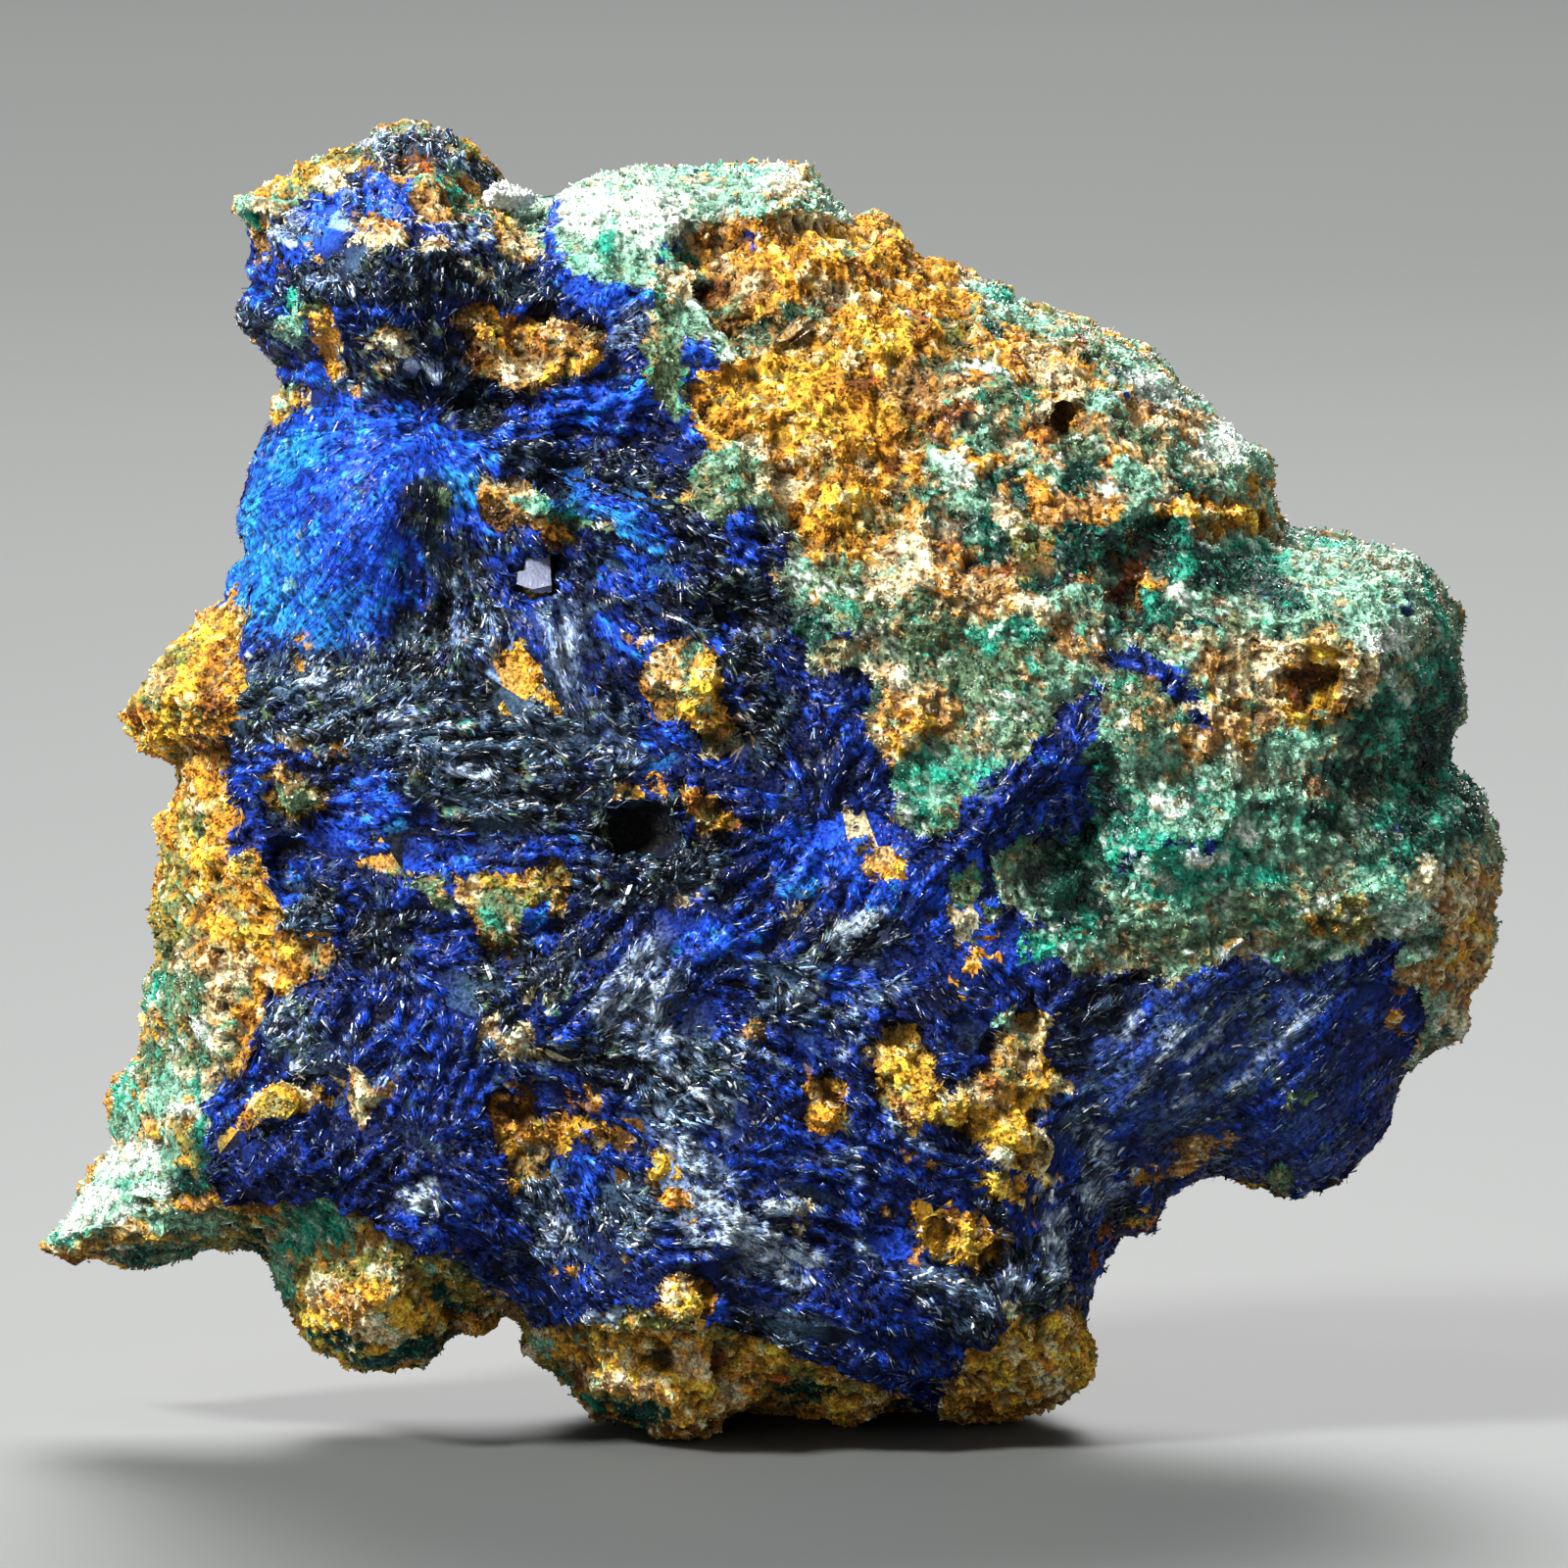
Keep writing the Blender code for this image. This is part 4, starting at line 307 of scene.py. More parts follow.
# Spots of colour, later rows over earlier ones: (colour, softness of the edge, spots), where
# each spot is (u, v, half length, half width) and, where it is turned, the degrees
SPOTS = (
    ("azure", 0.6, (
        (-8.8, 70.1, 4.0, 1.6, -14), (-5.2, 64.4, 2.0, 3.0), (-13.7, 61.1, 3.6, 1.8),
        (-32.2, 70.7, 1.7, 1.4, 60), (-26.6, 70.1, 1.4, 1.1), (-22.5, 67.8, 1.4, 1.1, 30),
        (-24.1, 62.9, 1.8, 0.7), (-28.5, 64.9, 1.6, 0.8, -20), (-11.2, 62.3, 3.6, 2.0),
    )),
    ("black_green", 0.7, (
        (-23.2, 70.7, 7.8, 2.0), (-20.8, 64.4, 6.0, 3.6, -15), (-32.1, 68.3, 1.6, 1.6),
        (-17.2, 70.7, 3.6, 1.6, -10), (-22.1, 61.7, 3.0, 1.7), (-13.7, 59.3, 4.2, 1.4),
    )),
    ("steel", 0.6, (
        (-23.7, 79.3, 2.0, 1.6, 10), (-20.8, 79.7, 2.4, 1.4), (-26.6, 75.8, 2.4, 1.1, 20),
        (-18.4, 78.2, 2.6, 1.2, -38),
    )),
    ("lavender", 0.5, (
        (-24.3, 79.7, 1.0, 1.1), (-29.2, 74.0, 1.1, 1.8, -30), (-26.6, 74.8, 1.1, 1.2),
        (-17.7, 73.6, 2.0, 0.7, -36), (-21.4, 80.2, 1.6, 0.5), (-27.1, 70.6, 1.2, 0.5),
        (-15.3, 67.0, 0.4, 1.0), (-8.2, 67.4, 1.4, 1.3),
    )),
    ("azure", 0.5, (
        (-23.3, 76.0, 1.9, 1.2, -10), (-27.4, 75.4, 1.6, 1.1, 30), (-29.1, 72.4, 1.6, 1.0, 40),
        (-12.9, 74.0, 0.7, 1.9, 5),
    )),
    ("mint", 0.5, (
        (-32.1, 75.4, 1.3, 1.1), (-30.1, 76.2, 1.0, 0.7), (-15.0, 74.2, 1.0, 1.2),
        (-29.2, 67.2, 1.3, 1.0), (-24.6, 66.4, 1.6, 0.6), (-27.9, 69.1, 0.7, 0.6),
        (-30.0, 63.4, 1.3, 0.5, 30),
    )),
    ("teal", 0.5, (
        (-19.1, 76.1, 2.0, 0.5, -38), (-16.9, 77.2, 1.3, 0.5, -38), (-20.6, 77.4, 1.2, 0.5),
        (-29.2, 69.1, 0.8, 0.7), (-32.4, 74.2, 0.6, 0.5),
    )),
    ("olive", 0.6, ((-27.4, 77.5, 2.0, 0.7, 14), (-28.2, 68.6, 1.3, 1.0), (-17.8, 79.0, 1.1, 0.7, -38))),
    ("cream", 0.4, (
        (-30.8, 74.8, 1.2, 0.8), (-23.6, 72.8, 1.9, 0.5), (-20.1, 72.7, 1.0, 0.8),
        (-15.6, 73.1, 1.1, 0.7), (-22.9, 66.1, 0.7, 0.7), (-26.6, 77.4, 1.2, 0.5, 10),
        (-31.0, 63.6, 0.8, 0.7), (-15.4, 64.9, 0.7, 0.6), (-18.4, 71.1, 0.5, 0.5),
        (-17.5, 70.7, 0.5, 0.5),
    )),
    ("tan", 0.4, (
        (-31.0, 73.0, 0.5, 1.1), (-24.0, 73.9, 1.8, 0.9, -10), (-20.4, 75.6, 1.3, 1.1),
        (-27.9, 72.8, 0.6, 0.5), (-28.6, 63.6, 0.7, 0.5), (-25.3, 63.8, 0.5, 0.5),
        (-16.3, 73.3, 0.8, 0.6),
    )),
    ("brown", 0.5, (
        (-23.5, 73.9, 0.8, 0.5), (-21.3, 78.0, 1.3, 0.5, -20), (-19.8, 75.8, 0.6, 0.6),
        (-19.9, 72.6, 0.4, 0.4),
    )),
    ("ochre", 0.4, (
        (-31.0, 76.5, 1.0, 0.4, 10), (-27.0, 67.0, 0.6, 1.7), (-26.6, 65.4, 0.5, 0.7),
        (-27.4, 67.8, 0.6, 0.4),
    )),
    ("brown", 0.6, ((-17.4, 67.0, 1.0, 1.4, -20), (-16.5, 64.8, 1.0, 0.7), (-13.7, 64.4, 1.0, 0.6))),
    ("gold", 0.6, ((-13.7, 67.7, 1.1, 1.0), (-11.8, 66.2, 1.6, 1.2), (-14.2, 65.4, 1.3, 1.0))),
    ("azure", 0.35, ((-24.9, 56.3, 8.4, 7.0), (-18.8, 59.0, 3.1, 2.6), (-29.2, 52.1, 4.2, 2.8))),
    ("cyan", 0.8, (
        (-30.8, 52.7, 2.3, 3.1), (-27.4, 49.7, 2.4, 1.3), (-32.2, 56.9, 0.8, 3.0, 10),
        (-18.4, 57.8, 1.8, 1.3), (-29.2, 59.9, 2.2, 1.2, 30),
    )),
    ("navy", 0.7, (
        (-10.0, 58.1, 5.4, 2.8), (-5.8, 54.5, 4.8, 2.6), (-2.9, 54.5, 3.6, 2.4), (-8.8, 52.1, 4.2, 2.6),
    )),
    ("azure", 0.7, ((-8.8, 56.3, 3.0, 0.8, -25), (-1.6, 54.5, 1.3, 1.8), (-8.2, 52.7, 2.4, 1.2))),
    ("cyan", 0.6, ((-12.8, 57.5, 2.0, 0.5, -12), (-8.8, 55.4, 2.0, 0.5, -28))),
    ("teal", 0.5, ((-13.7, 57.8, 1.6, 0.5, -10), (-12.2, 56.3, 1.1, 0.5))),
    ("black_green", 0.55, (
        (-18.6, 51.6, 2.0, 3.4, 10), (-20.6, 48.9, 3.0, 1.8), (-16.4, 54.6, 1.2, 1.0),
        (-23.8, 44.9, 11.4, 3.7), (-29.2, 44.0, 6.6, 2.6), (-16.1, 40.7, 7.2, 3.7, -8),
        (-11.2, 42.5, 3.6, 3.6), (-2.1, 49.7, 3.6, 3.2), (-20.8, 56.9, 1.6, 2.0), (-0.4, 43.7, 1.6, 3.6),
    )),
    ("steel", 0.8, (
        (-27.4, 46.1, 5.4, 1.0), (-22.1, 42.5, 7.2, 0.8, -6), (-17.2, 38.9, 5.4, 1.0, -10),
        (-13.7, 43.7, 2.4, 3.0), (-29.8, 47.3, 2.4, 0.7),
    )),
    ("lavender", 0.7, (
        (-12.3, 48.0, 1.2, 2.6, 5), (-13.7, 49.7, 0.7, 0.8), (-8.8, 42.5, 1.8, 0.8, -30),
        (-16.9, 48.8, 0.5, 2.4),
    )),
    ("azure", 0.5, (
        (-3.3, 47.8, 0.5, 2.3, -24), (-8.8, 49.1, 1.0, 1.8, 40), (-5.8, 43.1, 1.2, 0.7),
        (-31.5, 40.7, 1.6, 1.1), (-24.4, 38.5, 2.0, 2.6), (-19.9, 35.3, 2.6, 0.8, -25),
        (-29.2, 42.4, 1.4, 0.6),
    )),
    ("royal", 0.5, ((-31.9, 38.9, 1.0, 2.4), (-21.4, 36.5, 3.6, 1.0, -12))),
    ("cream", 0.4, (
        (-28.9, 42.8, 1.2, 0.5), (-5.1, 33.1, 0.4, 0.9), (-6.6, 57.7, 0.4, 0.4),
        (-16.5, 46.1, 0.4, 1.9, 5), (-2.9, 42.2, 1.1, 0.4, 20), (4.4, 38.3, 0.5, 0.5),
    )),
    ("ochre", 0.35, (
        (-15.4, 46.1, 1.3, 2.0), (-13.7, 44.9, 0.5, 0.7), (-28.6, 48.8, 0.4, 0.4),
        (-28.6, 47.2, 0.4, 0.4), (-26.5, 42.7, 0.5, 0.4), (-8.4, 38.9, 1.1, 1.0), (-6.9, 40.1, 0.6, 0.4),
        (-7.9, 48.8, 0.7, 0.4, -45),
    )),
    ("brown", 0.5, ((-15.8, 46.7, 0.7, 0.8), (-8.8, 38.0, 0.6, 0.5), (-4.5, 38.9, 0.8, 0.7))),
    ("gold", 0.5, ((-15.4, 45.0, 1.0, 0.8), (-3.8, 46.7, 1.0, 1.3), (-5.2, 44.0, 1.0, 0.8))),
    ("mint", 0.5, ((-4.8, 47.5, 0.8, 1.0, -20), (-4.3, 45.2, 0.5, 0.6))),
    ("sage", 0.5, (
        (-28.8, 39.4, 1.3, 1.2), (-23.2, 34.8, 1.8, 0.6, -12), (-20.8, 33.8, 1.8, 0.8, -20),
        (-16.1, 32.6, 1.8, 1.6),
    )),
    ("olive", 0.5, (
        (-29.2, 38.3, 1.1, 0.6), (-27.4, 40.1, 0.5, 0.8), (-17.2, 34.1, 1.3, 0.7),
        (-13.9, 33.8, 1.2, 1.0),
    )),
    ("tan", 0.4, (
        (-24.4, 35.0, 1.1, 0.5, -10), (-18.4, 33.8, 0.7, 0.6), (-15.0, 31.1, 1.1, 0.8),
        (-30.1, 40.4, 0.6, 0.5),
    )),
    ("gold", 0.5, ((-13.0, 34.4, 0.7, 0.8),)),
    ("ochre", 0.35, (
        (-31.3, 32.0, 3.0, 1.4, -20), (-30.1, 29.6, 2.6, 1.6), (-32.9, 28.1, 1.6, 2.4),
        (-31.8, 34.7, 1.4, 1.3), (-32.0, 25.4, 0.8, 2.0),
    )),
    ("gold", 0.5, ((-30.8, 30.5, 2.0, 1.1, -20), (-32.9, 31.4, 1.2, 1.6))),
    ("tan", 0.4, (
        (-27.4, 29.4, 1.0, 0.7), (-24.6, 21.3, 1.2, 1.4), (-23.2, 22.8, 0.6, 0.5),
        (-25.4, 25.4, 0.5, 0.4), (-29.8, 26.7, 0.4, 0.4),
    )),
    ("ochre", 0.3, ((-24.7, 27.5, 0.7, 0.8, 20),)),
    ("steel", 0.6, ((-28.9, 25.4, 2.0, 2.4), (-27.4, 23.0, 1.8, 0.7), (-28.2, 32.3, 1.4, 1.6))),
    ("royal", 0.5, ((-20.6, 28.1, 2.8, 2.4), (-23.6, 25.7, 1.8, 3.0, 20), (-18.4, 24.5, 2.4, 3.6))),
    ("azure", 0.5, ((-33.8, 20.9, 1.1, 1.9), (-29.2, 34.1, 0.8, 1.2), (-19.8, 26.2, 0.6, 1.8, 10))),
    ("black_green", 0.6, ((-23.6, 30.6, 2.4, 2.0), (-13.7, 28.1, 1.8, 2.0), (-13.0, 30.2, 1.8, 1.2))),
    ("lavender", 0.5, (
        (-25.3, 24.4, 1.3, 0.2, 40), (-24.9, 25.0, 1.3, 0.2, 40), (-22.9, 23.0, 1.6, 0.2, 35),
    )),
    ("deep", 0.5, ((-30.4, 17.9, 4.6, 3.2), (-23.2, 17.3, 5.4, 3.0))),
    ("cream", 0.35, (
        (-14.1, 23.2, 1.2, 0.5, -15), (-14.1, 27.5, 0.7, 0.4), (-14.5, 18.0, 0.7, 0.4),
        (1.7, 13.7, 0.4, 1.1), (0.6, 16.1, 0.4, 0.4), (-5.1, 33.0, 0.3, 0.7),
    )),
    ("mint", 0.5, ((-14.8, 30.6, 0.4, 0.4),)),
    ("brown", 0.5, ((-15.6, 20.2, 1.3, 1.0, -30), (-14.5, 21.4, 1.1, 0.3), (-11.8, 20.9, 1.2, 0.4))),
    ("ochre", 0.3, (
        (-11.8, 19.2, 1.8, 0.8, -18), (-14.8, 16.3, 1.0, 1.1), (-10.7, 21.6, 0.7, 0.5),
        (-9.2, 18.5, 0.9, 0.7), (-6.3, 16.3, 0.8, 1.8), (-5.2, 14.5, 0.6, 1.1, -10),
        (-8.5, 13.3, 0.4, 0.4), (-8.5, 12.1, 0.3, 0.4), (-12.1, 10.6, 0.5, 0.5), (-13.2, 10.7, 0.4, 0.4),
        (-15.4, 13.6, 0.3, 0.4), (-5.2, 8.8, 1.4, 1.4), (3.1, 21.5, 1.3, 0.9), (3.5, 20.1, 0.8, 0.7),
        (-18.4, 11.2, 0.2, 0.3), (2.2, 21.8, 0.5, 0.4),
    )),
    ("gold", 0.5, (
        (-6.2, 16.7, 0.5, 1.0), (-5.2, 9.0, 0.9, 0.8), (-11.8, 19.0, 1.1, 0.5), (-14.8, 16.6, 0.6, 0.6),
        (6.6, 23.6, 0.8, 1.0), (8.5, 22.4, 1.6, 1.2), (15.1, 23.9, 1.2, 2.0), (16.6, 22.1, 1.1, 1.2),
        (11.8, 20.9, 1.8, 1.2),
    )),
    ("tan", 0.4, ((-1.2, 25.3, 0.8, 1.1), (2.7, 21.2, 0.7, 0.5))),
    ("steel", 0.7, (
        (-5.2, 22.1, 3.6, 3.0), (-8.8, 24.5, 2.4, 2.4), (2.5, 27.5, 3.6, 2.4), (-13.7, 13.7, 1.4, 3.0),
        (-8.8, 14.3, 2.4, 1.8),
    )),
    ("black_green", 0.7, (
        (-17.2, 26.9, 1.6, 3.6), (0.8, 7.1, 3.6, 1.4, -10), (-11.2, 23.3, 3.0, 1.1, -10),
        (-5.8, 35.3, 3.6, 1.4), (-8.8, 33.8, 3.6, 1.4), (5.5, 30.5, 3.0, 1.4),
    )),
    ("lavender", 0.5, (
        (-7.8, 28.7, 0.8, 2.6, -35), (-10.0, 27.5, 0.6, 1.8, -35), (-1.6, 12.8, 2.4, 1.9, -20),
        (-3.1, 14.6, 1.6, 0.7), (-5.2, 18.5, 2.6, 0.7, -40), (-10.0, 7.7, 1.6, 0.7),
        (-21.4, 15.2, 1.4, 1.2, 40), (-2.9, 16.7, 1.8, 0.8, -30), (0.1, 10.7, 1.8, 0.7, -20),
        (-8.2, 25.1, 2.2, 0.6, -30),
    )),
    ("azure", 0.6, (
        (4.3, 28.1, 1.8, 1.1, 20), (10.5, 32.5, 1.3, 1.0), (12.2, 35.5, 1.1, 1.3, 30),
        (7.0, 33.8, 2.4, 1.2, 30), (1.9, 35.3, 1.8, 2.4), (-11.2, 16.7, 0.7, 2.4),
        (-13.7, 31.7, 1.2, 1.2), (5.5, 35.9, 2.4, 2.0), (-2.9, 30.5, 3.0, 1.2),
    )),
    ("brown", 0.5, ((12.8, 19.7, 1.2, 0.8), (15.1, 19.1, 0.8, 1.2))),
    ("ochre", 0.3, (
        (7.1, 14.0, 0.4, 0.4), (8.5, 12.1, 0.4, 0.5), (8.4, 17.6, 0.4, 0.4), (10.0, 16.8, 0.4, 0.4),
        (16.2, 14.2, 0.5, 0.4), (11.5, 29.0, 0.6, 1.8, -10), (6.8, 35.3, 1.4, 1.3, -20),
        (6.3, 37.1, 1.0, 0.5, 30), (13.0, 30.5, 1.2, 0.6),
    )),
    ("olive", 0.4, ((13.8, 15.6, 1.4, 0.9, -35), (10.3, 12.4, 1.3, 0.5, -20))),
    ("cream", 0.4, (
        (13.1, 8.7, 0.4, 0.8, -10), (11.3, 31.7, 0.7, 0.8), (1.4, 32.2, 0.8, 0.4), (15.1, 25.1, 0.5, 1.2),
        (7.0, 25.1, 0.6, 0.8),
    )),
    ("rust", 0.4, ((13.2, 7.1, 0.5, 0.4), (19.6, 11.0, 0.5, 0.5), (20.6, 12.4, 0.7, 0.5))),
    ("sage", 0.5, ((11.8, 33.8, 1.3, 0.8, 60), (12.8, 32.3, 0.7, 0.5))),
    ("black_green", 0.6, ((13.3, 13.9, 1.8, 0.5, -32), (21.8, 13.7, 1.1, 0.7), (17.2, 9.5, 1.4, 1.8))),
    ("navy", 0.7, (
        (20.6, 24.5, 3.6, 4.2), (23.6, 21.5, 3.0, 3.0), (27.8, 24.5, 5.4, 2.4, 38),
        (21.8, 28.1, 2.4, 0.6),
    )),
    ("black_green", 0.8, ((27.1, 23.3, 3.6, 1.1, 38), (32.5, 25.7, 2.4, 1.8), (20.6, 21.5, 1.8, 1.4))),
    ("azure", 0.6, (
        (33.4, 25.1, 1.6, 1.2), (29.9, 19.6, 0.8, 0.6), (21.5, 19.1, 1.2, 1.0), (35.5, 22.1, 1.2, 1.8),
        (26.4, 29.0, 2.3, 0.5, 36),
    )),
    ("steel", 0.7, ((24.8, 24.5, 2.4, 0.8, 38), (30.1, 24.5, 3.0, 0.7, 38), (19.9, 15.5, 1.0, 1.4))),
    ("tan", 0.4, ((25.5, 16.8, 2.3, 0.4, 28), (22.6, 13.1, 1.1, 0.5), (24.0, 21.8, 0.4, 0.4))),
    ("sage", 0.4, ((36.2, 19.6, 0.5, 0.5), (30.6, 15.7, 1.1, 0.6))),
    ("ochre", 0.4, ((22.6, 13.0, 1.0, 0.5), (23.4, 13.7, 0.6, 0.4), (37.9, 25.7, 0.5, 0.5))),
    ("lavender", 0.5, (
        (20.6, 15.4, 0.6, 1.3), (17.2, 13.1, 0.6, 1.4), (26.7, 28.7, 2.0, 0.2, 36), (19.3, 8.3, 0.5, 1.0),
    )),
    ("mint", 0.3, ((-8.2, 74.0, 4.8, 3.4, 10), (0.8, 76.7, 3.6, 1.7), (-5.2, 77.3, 3.6, 1.4))),
    ("pale", 0.7, ((-7.9, 74.8, 3.0, 1.9, 10), (1.3, 77.0, 2.0, 1.0), (-11.2, 75.2, 1.7, 1.6))),
    ("teal", 0.7, (
        (-2.9, 78.2, 3.6, 0.5), (-5.2, 71.9, 1.3, 1.1), (-10.0, 73.1, 0.8, 1.2), (2.9, 77.9, 1.0, 0.7),
    )),
    ("sage", 0.6, ((-6.5, 65.3, 1.3, 3.0, 10), (-5.2, 68.3, 0.8, 1.4))),
    ("ochre", 0.3, (
        (3.8, 71.9, 7.2, 2.8, -10), (-1.6, 73.1, 3.0, 1.6), (5.5, 67.7, 5.4, 3.0), (0.8, 62.9, 6.0, 3.6),
        (5.5, 61.1, 5.4, 3.6), (5.0, 56.3, 4.2, 2.4), (9.2, 70.1, 3.6, 2.4, -20), (4.3, 54.5, 3.0, 1.8),
    )),
    ("tan", 0.8, (
        (-4.0, 73.1, 1.4, 1.3), (0.8, 67.1, 2.4, 1.1), (9.8, 64.1, 3.0, 1.8), (-1.6, 70.1, 1.8, 1.4),
        (3.8, 73.7, 2.4, 0.8),
    )),
    ("gold", 0.6, (
        (5.0, 72.8, 2.4, 1.0, -10), (-0.4, 64.1, 2.8, 1.3), (2.5, 61.7, 3.6, 1.6), (6.8, 67.1, 2.0, 1.3),
        (5.0, 56.9, 2.6, 1.1), (1.9, 65.9, 1.8, 0.8),
    )),
    ("brown", 0.5, (
        (-4.1, 73.9, 0.8, 0.9), (-1.6, 73.3, 0.8, 0.7), (-3.4, 70.1, 0.7, 0.5),
        (6.1, 70.7, 1.4, 0.6, -10), (9.2, 68.3, 1.1, 0.5), (5.5, 64.1, 1.2, 0.5), (10.3, 61.1, 0.7, 1.4),
        (6.8, 59.3, 1.2, 0.4),
    )),
    ("cream", 0.7, (
        (0.8, 76.1, 1.8, 0.6), (-5.8, 70.1, 1.4, 1.8), (-1.6, 59.9, 1.8, 0.8), (2.5, 74.3, 1.8, 0.5),
        (12.8, 62.9, 1.4, 1.1), (0.1, 58.1, 1.6, 0.7), (3.8, 69.5, 1.2, 0.5),
    )),
    ("sage", 0.6, (
        (1.8, 68.8, 1.6, 0.7), (5.0, 72.6, 0.8, 0.4), (-6.0, 66.5, 1.0, 3.2, 8), (-2.9, 58.4, 2.5, 2.4),
        (12.8, 65.7, 1.6, 1.2), (10.9, 58.8, 1.8, 2.0), (-1.1, 67.1, 1.2, 0.7),
    )),
    ("mint", 0.6, (
        (-5.2, 68.3, 0.7, 1.8), (-3.4, 59.9, 1.2, 0.7), (21.1, 65.3, 2.6, 1.3, -20),
        (27.8, 61.7, 1.8, 1.2), (16.3, 68.3, 1.8, 0.7, -10), (10.3, 59.3, 1.0, 1.0),
        (28.9, 59.3, 1.2, 1.4),
    )),
    ("royal", 0.4, (
        (-6.2, 72.5, 0.4, 0.4), (21.3, 63.7, 0.7, 0.4, -40), (6.8, 49.7, 2.3, 0.3, 10),
        (-1.6, 73.3, 0.4, 0.4),
    )),
    ("tan", 0.6, (
        (17.6, 56.9, 3.6, 3.6), (13.3, 52.1, 3.6, 3.0), (19.9, 61.1, 4.8, 2.4), (9.2, 52.1, 3.6, 2.4),
        (24.8, 62.9, 3.6, 1.8, -25), (15.1, 48.5, 3.6, 1.8), (8.5, 43.7, 2.8, 2.4),
        (25.2, 42.5, 1.7, 1.6), (28.3, 43.7, 2.4, 1.2), (26.6, 47.3, 1.4, 1.2), (8.5, 54.5, 1.8, 1.6),
    )),
    ("ochre", 0.5, (
        (26.7, 56.4, 3.7, 1.0, -3), (8.5, 43.7, 2.0, 1.6), (33.1, 46.7, 3.4, 3.4), (22.7, 51.6, 1.0, 1.0),
        (12.8, 54.5, 1.2, 0.6), (9.2, 52.7, 1.8, 1.2), (30.1, 31.1, 1.4, 0.6), (42.4, 32.3, 2.2, 2.8),
        (30.1, 58.1, 0.8, 0.6), (23.6, 67.1, 1.2, 0.7, -30), (18.8, 68.9, 2.0, 0.5, -10),
        (10.3, 71.9, 1.4, 0.8), (17.6, 61.7, 1.2, 1.8),
    )),
    ("cream", 0.6, (
        (17.8, 65.0, 1.7, 1.6), (9.0, 54.2, 1.8, 1.4), (30.8, 48.5, 1.7, 1.0), (30.1, 46.1, 0.8, 1.8),
        (35.5, 46.7, 0.7, 1.8), (24.1, 43.7, 1.0, 0.7), (16.3, 50.9, 1.2, 0.8), (13.3, 61.7, 1.4, 0.7),
        (23.6, 61.1, 1.8, 0.7), (26.6, 59.9, 1.2, 0.6), (6.8, 46.7, 1.2, 0.8),
    )),
    ("pale", 0.7, (
        (35.2, 52.1, 4.2, 1.6), (36.8, 49.7, 2.4, 1.8), (31.3, 50.9, 1.6, 1.2), (39.1, 33.5, 1.8, 1.8),
        (28.9, 35.9, 1.8, 1.8), (27.8, 61.7, 1.2, 1.0), (23.6, 64.1, 1.8, 0.8, -20),
    )),
    ("mint", 0.6, (
        (34.4, 51.5, 5.4, 2.4), (21.8, 43.1, 3.0, 3.0), (32.5, 42.5, 3.0, 1.2), (30.1, 37.1, 3.0, 3.0),
        (36.8, 34.1, 3.0, 2.2), (24.8, 31.7, 3.6, 1.4), (13.3, 68.3, 1.6, 0.8),
        (26.6, 64.1, 3.0, 1.2, -30), (18.8, 52.1, 2.4, 1.8), (3.8, 50.9, 2.6, 1.3),
        (16.3, 46.1, 2.0, 1.4),
    )),
    ("sage", 0.6, (
        (6.8, 50.9, 3.0, 1.6), (12.8, 47.3, 4.2, 2.4), (10.3, 40.1, 2.4, 3.0), (21.8, 44.9, 2.4, 2.0),
        (24.8, 30.5, 3.6, 1.4), (31.9, 32.3, 4.2, 1.8), (16.3, 42.5, 2.4, 1.8), (15.1, 36.5, 1.4, 1.2),
        (11.5, 48.5, 4.8, 2.0), (3.8, 52.1, 2.4, 1.8),
    )),
    ("teal", 0.5, (
        (24.4, 36.4, 4.8, 3.6), (20.6, 38.3, 1.2, 1.8), (33.4, 55.4, 2.8, 0.7, -8),
        (41.1, 51.5, 1.0, 2.2), (14.2, 69.8, 1.8, 0.7, -20), (23.6, 54.5, 2.4, 1.6),
        (28.3, 53.6, 3.4, 1.4), (16.3, 52.7, 1.0, 0.8), (9.2, 40.1, 2.0, 2.0), (13.9, 49.1, 2.4, 1.3),
        (12.8, 40.7, 1.3, 1.0), (38.5, 44.3, 3.6, 1.8), (41.5, 46.1, 0.8, 2.4), (16.9, 30.5, 1.8, 1.2),
        (15.1, 70.1, 1.8, 0.7, -20),
    )),
    ("forest", 0.5, (
        (22.6, 54.5, 2.8, 2.2), (27.8, 52.7, 3.0, 1.2), (18.3, 35.9, 2.4, 3.4), (38.5, 43.4, 4.0, 2.4),
        (39.1, 37.7, 4.2, 2.0), (30.8, 51.5, 1.2, 0.8), (35.5, 40.7, 2.4, 1.2), (19.3, 32.0, 1.8, 1.2),
        (25.6, 49.7, 1.8, 0.7), (2.5, 49.7, 1.4, 1.1), (33.4, 38.3, 1.2, 1.2), (42.8, 38.3, 1.2, 1.8),
    )),
    ("brown", 0.5, (
        (32.5, 46.3, 1.2, 1.3), (40.9, 39.6, 1.1, 0.7), (14.3, 60.9, 0.8, 0.6), (11.4, 62.3, 0.7, 0.7),
        (11.1, 54.4, 1.2, 0.8), (21.8, 52.7, 1.3, 1.1), (40.4, 31.9, 0.7, 0.5), (39.0, 28.1, 0.7, 0.5),
    )),
    ("gold", 0.5, (
        (32.5, 45.2, 1.8, 1.2), (33.8, 48.5, 1.2, 0.7), (26.8, 56.5, 2.4, 0.5), (22.8, 51.7, 0.5, 0.5),
    )),
    ("tan", 0.6, (
        (42.6, 31.9, 2.0, 2.6), (28.9, 30.6, 1.1, 0.5), (40.0, 28.7, 1.8, 1.2), (40.9, 39.2, 1.2, 0.6),
        (42.8, 28.1, 1.2, 2.0),
    )),
    ("cream", 0.7, ((39.1, 34.1, 1.4, 1.2), (41.5, 26.3, 1.0, 0.8))),
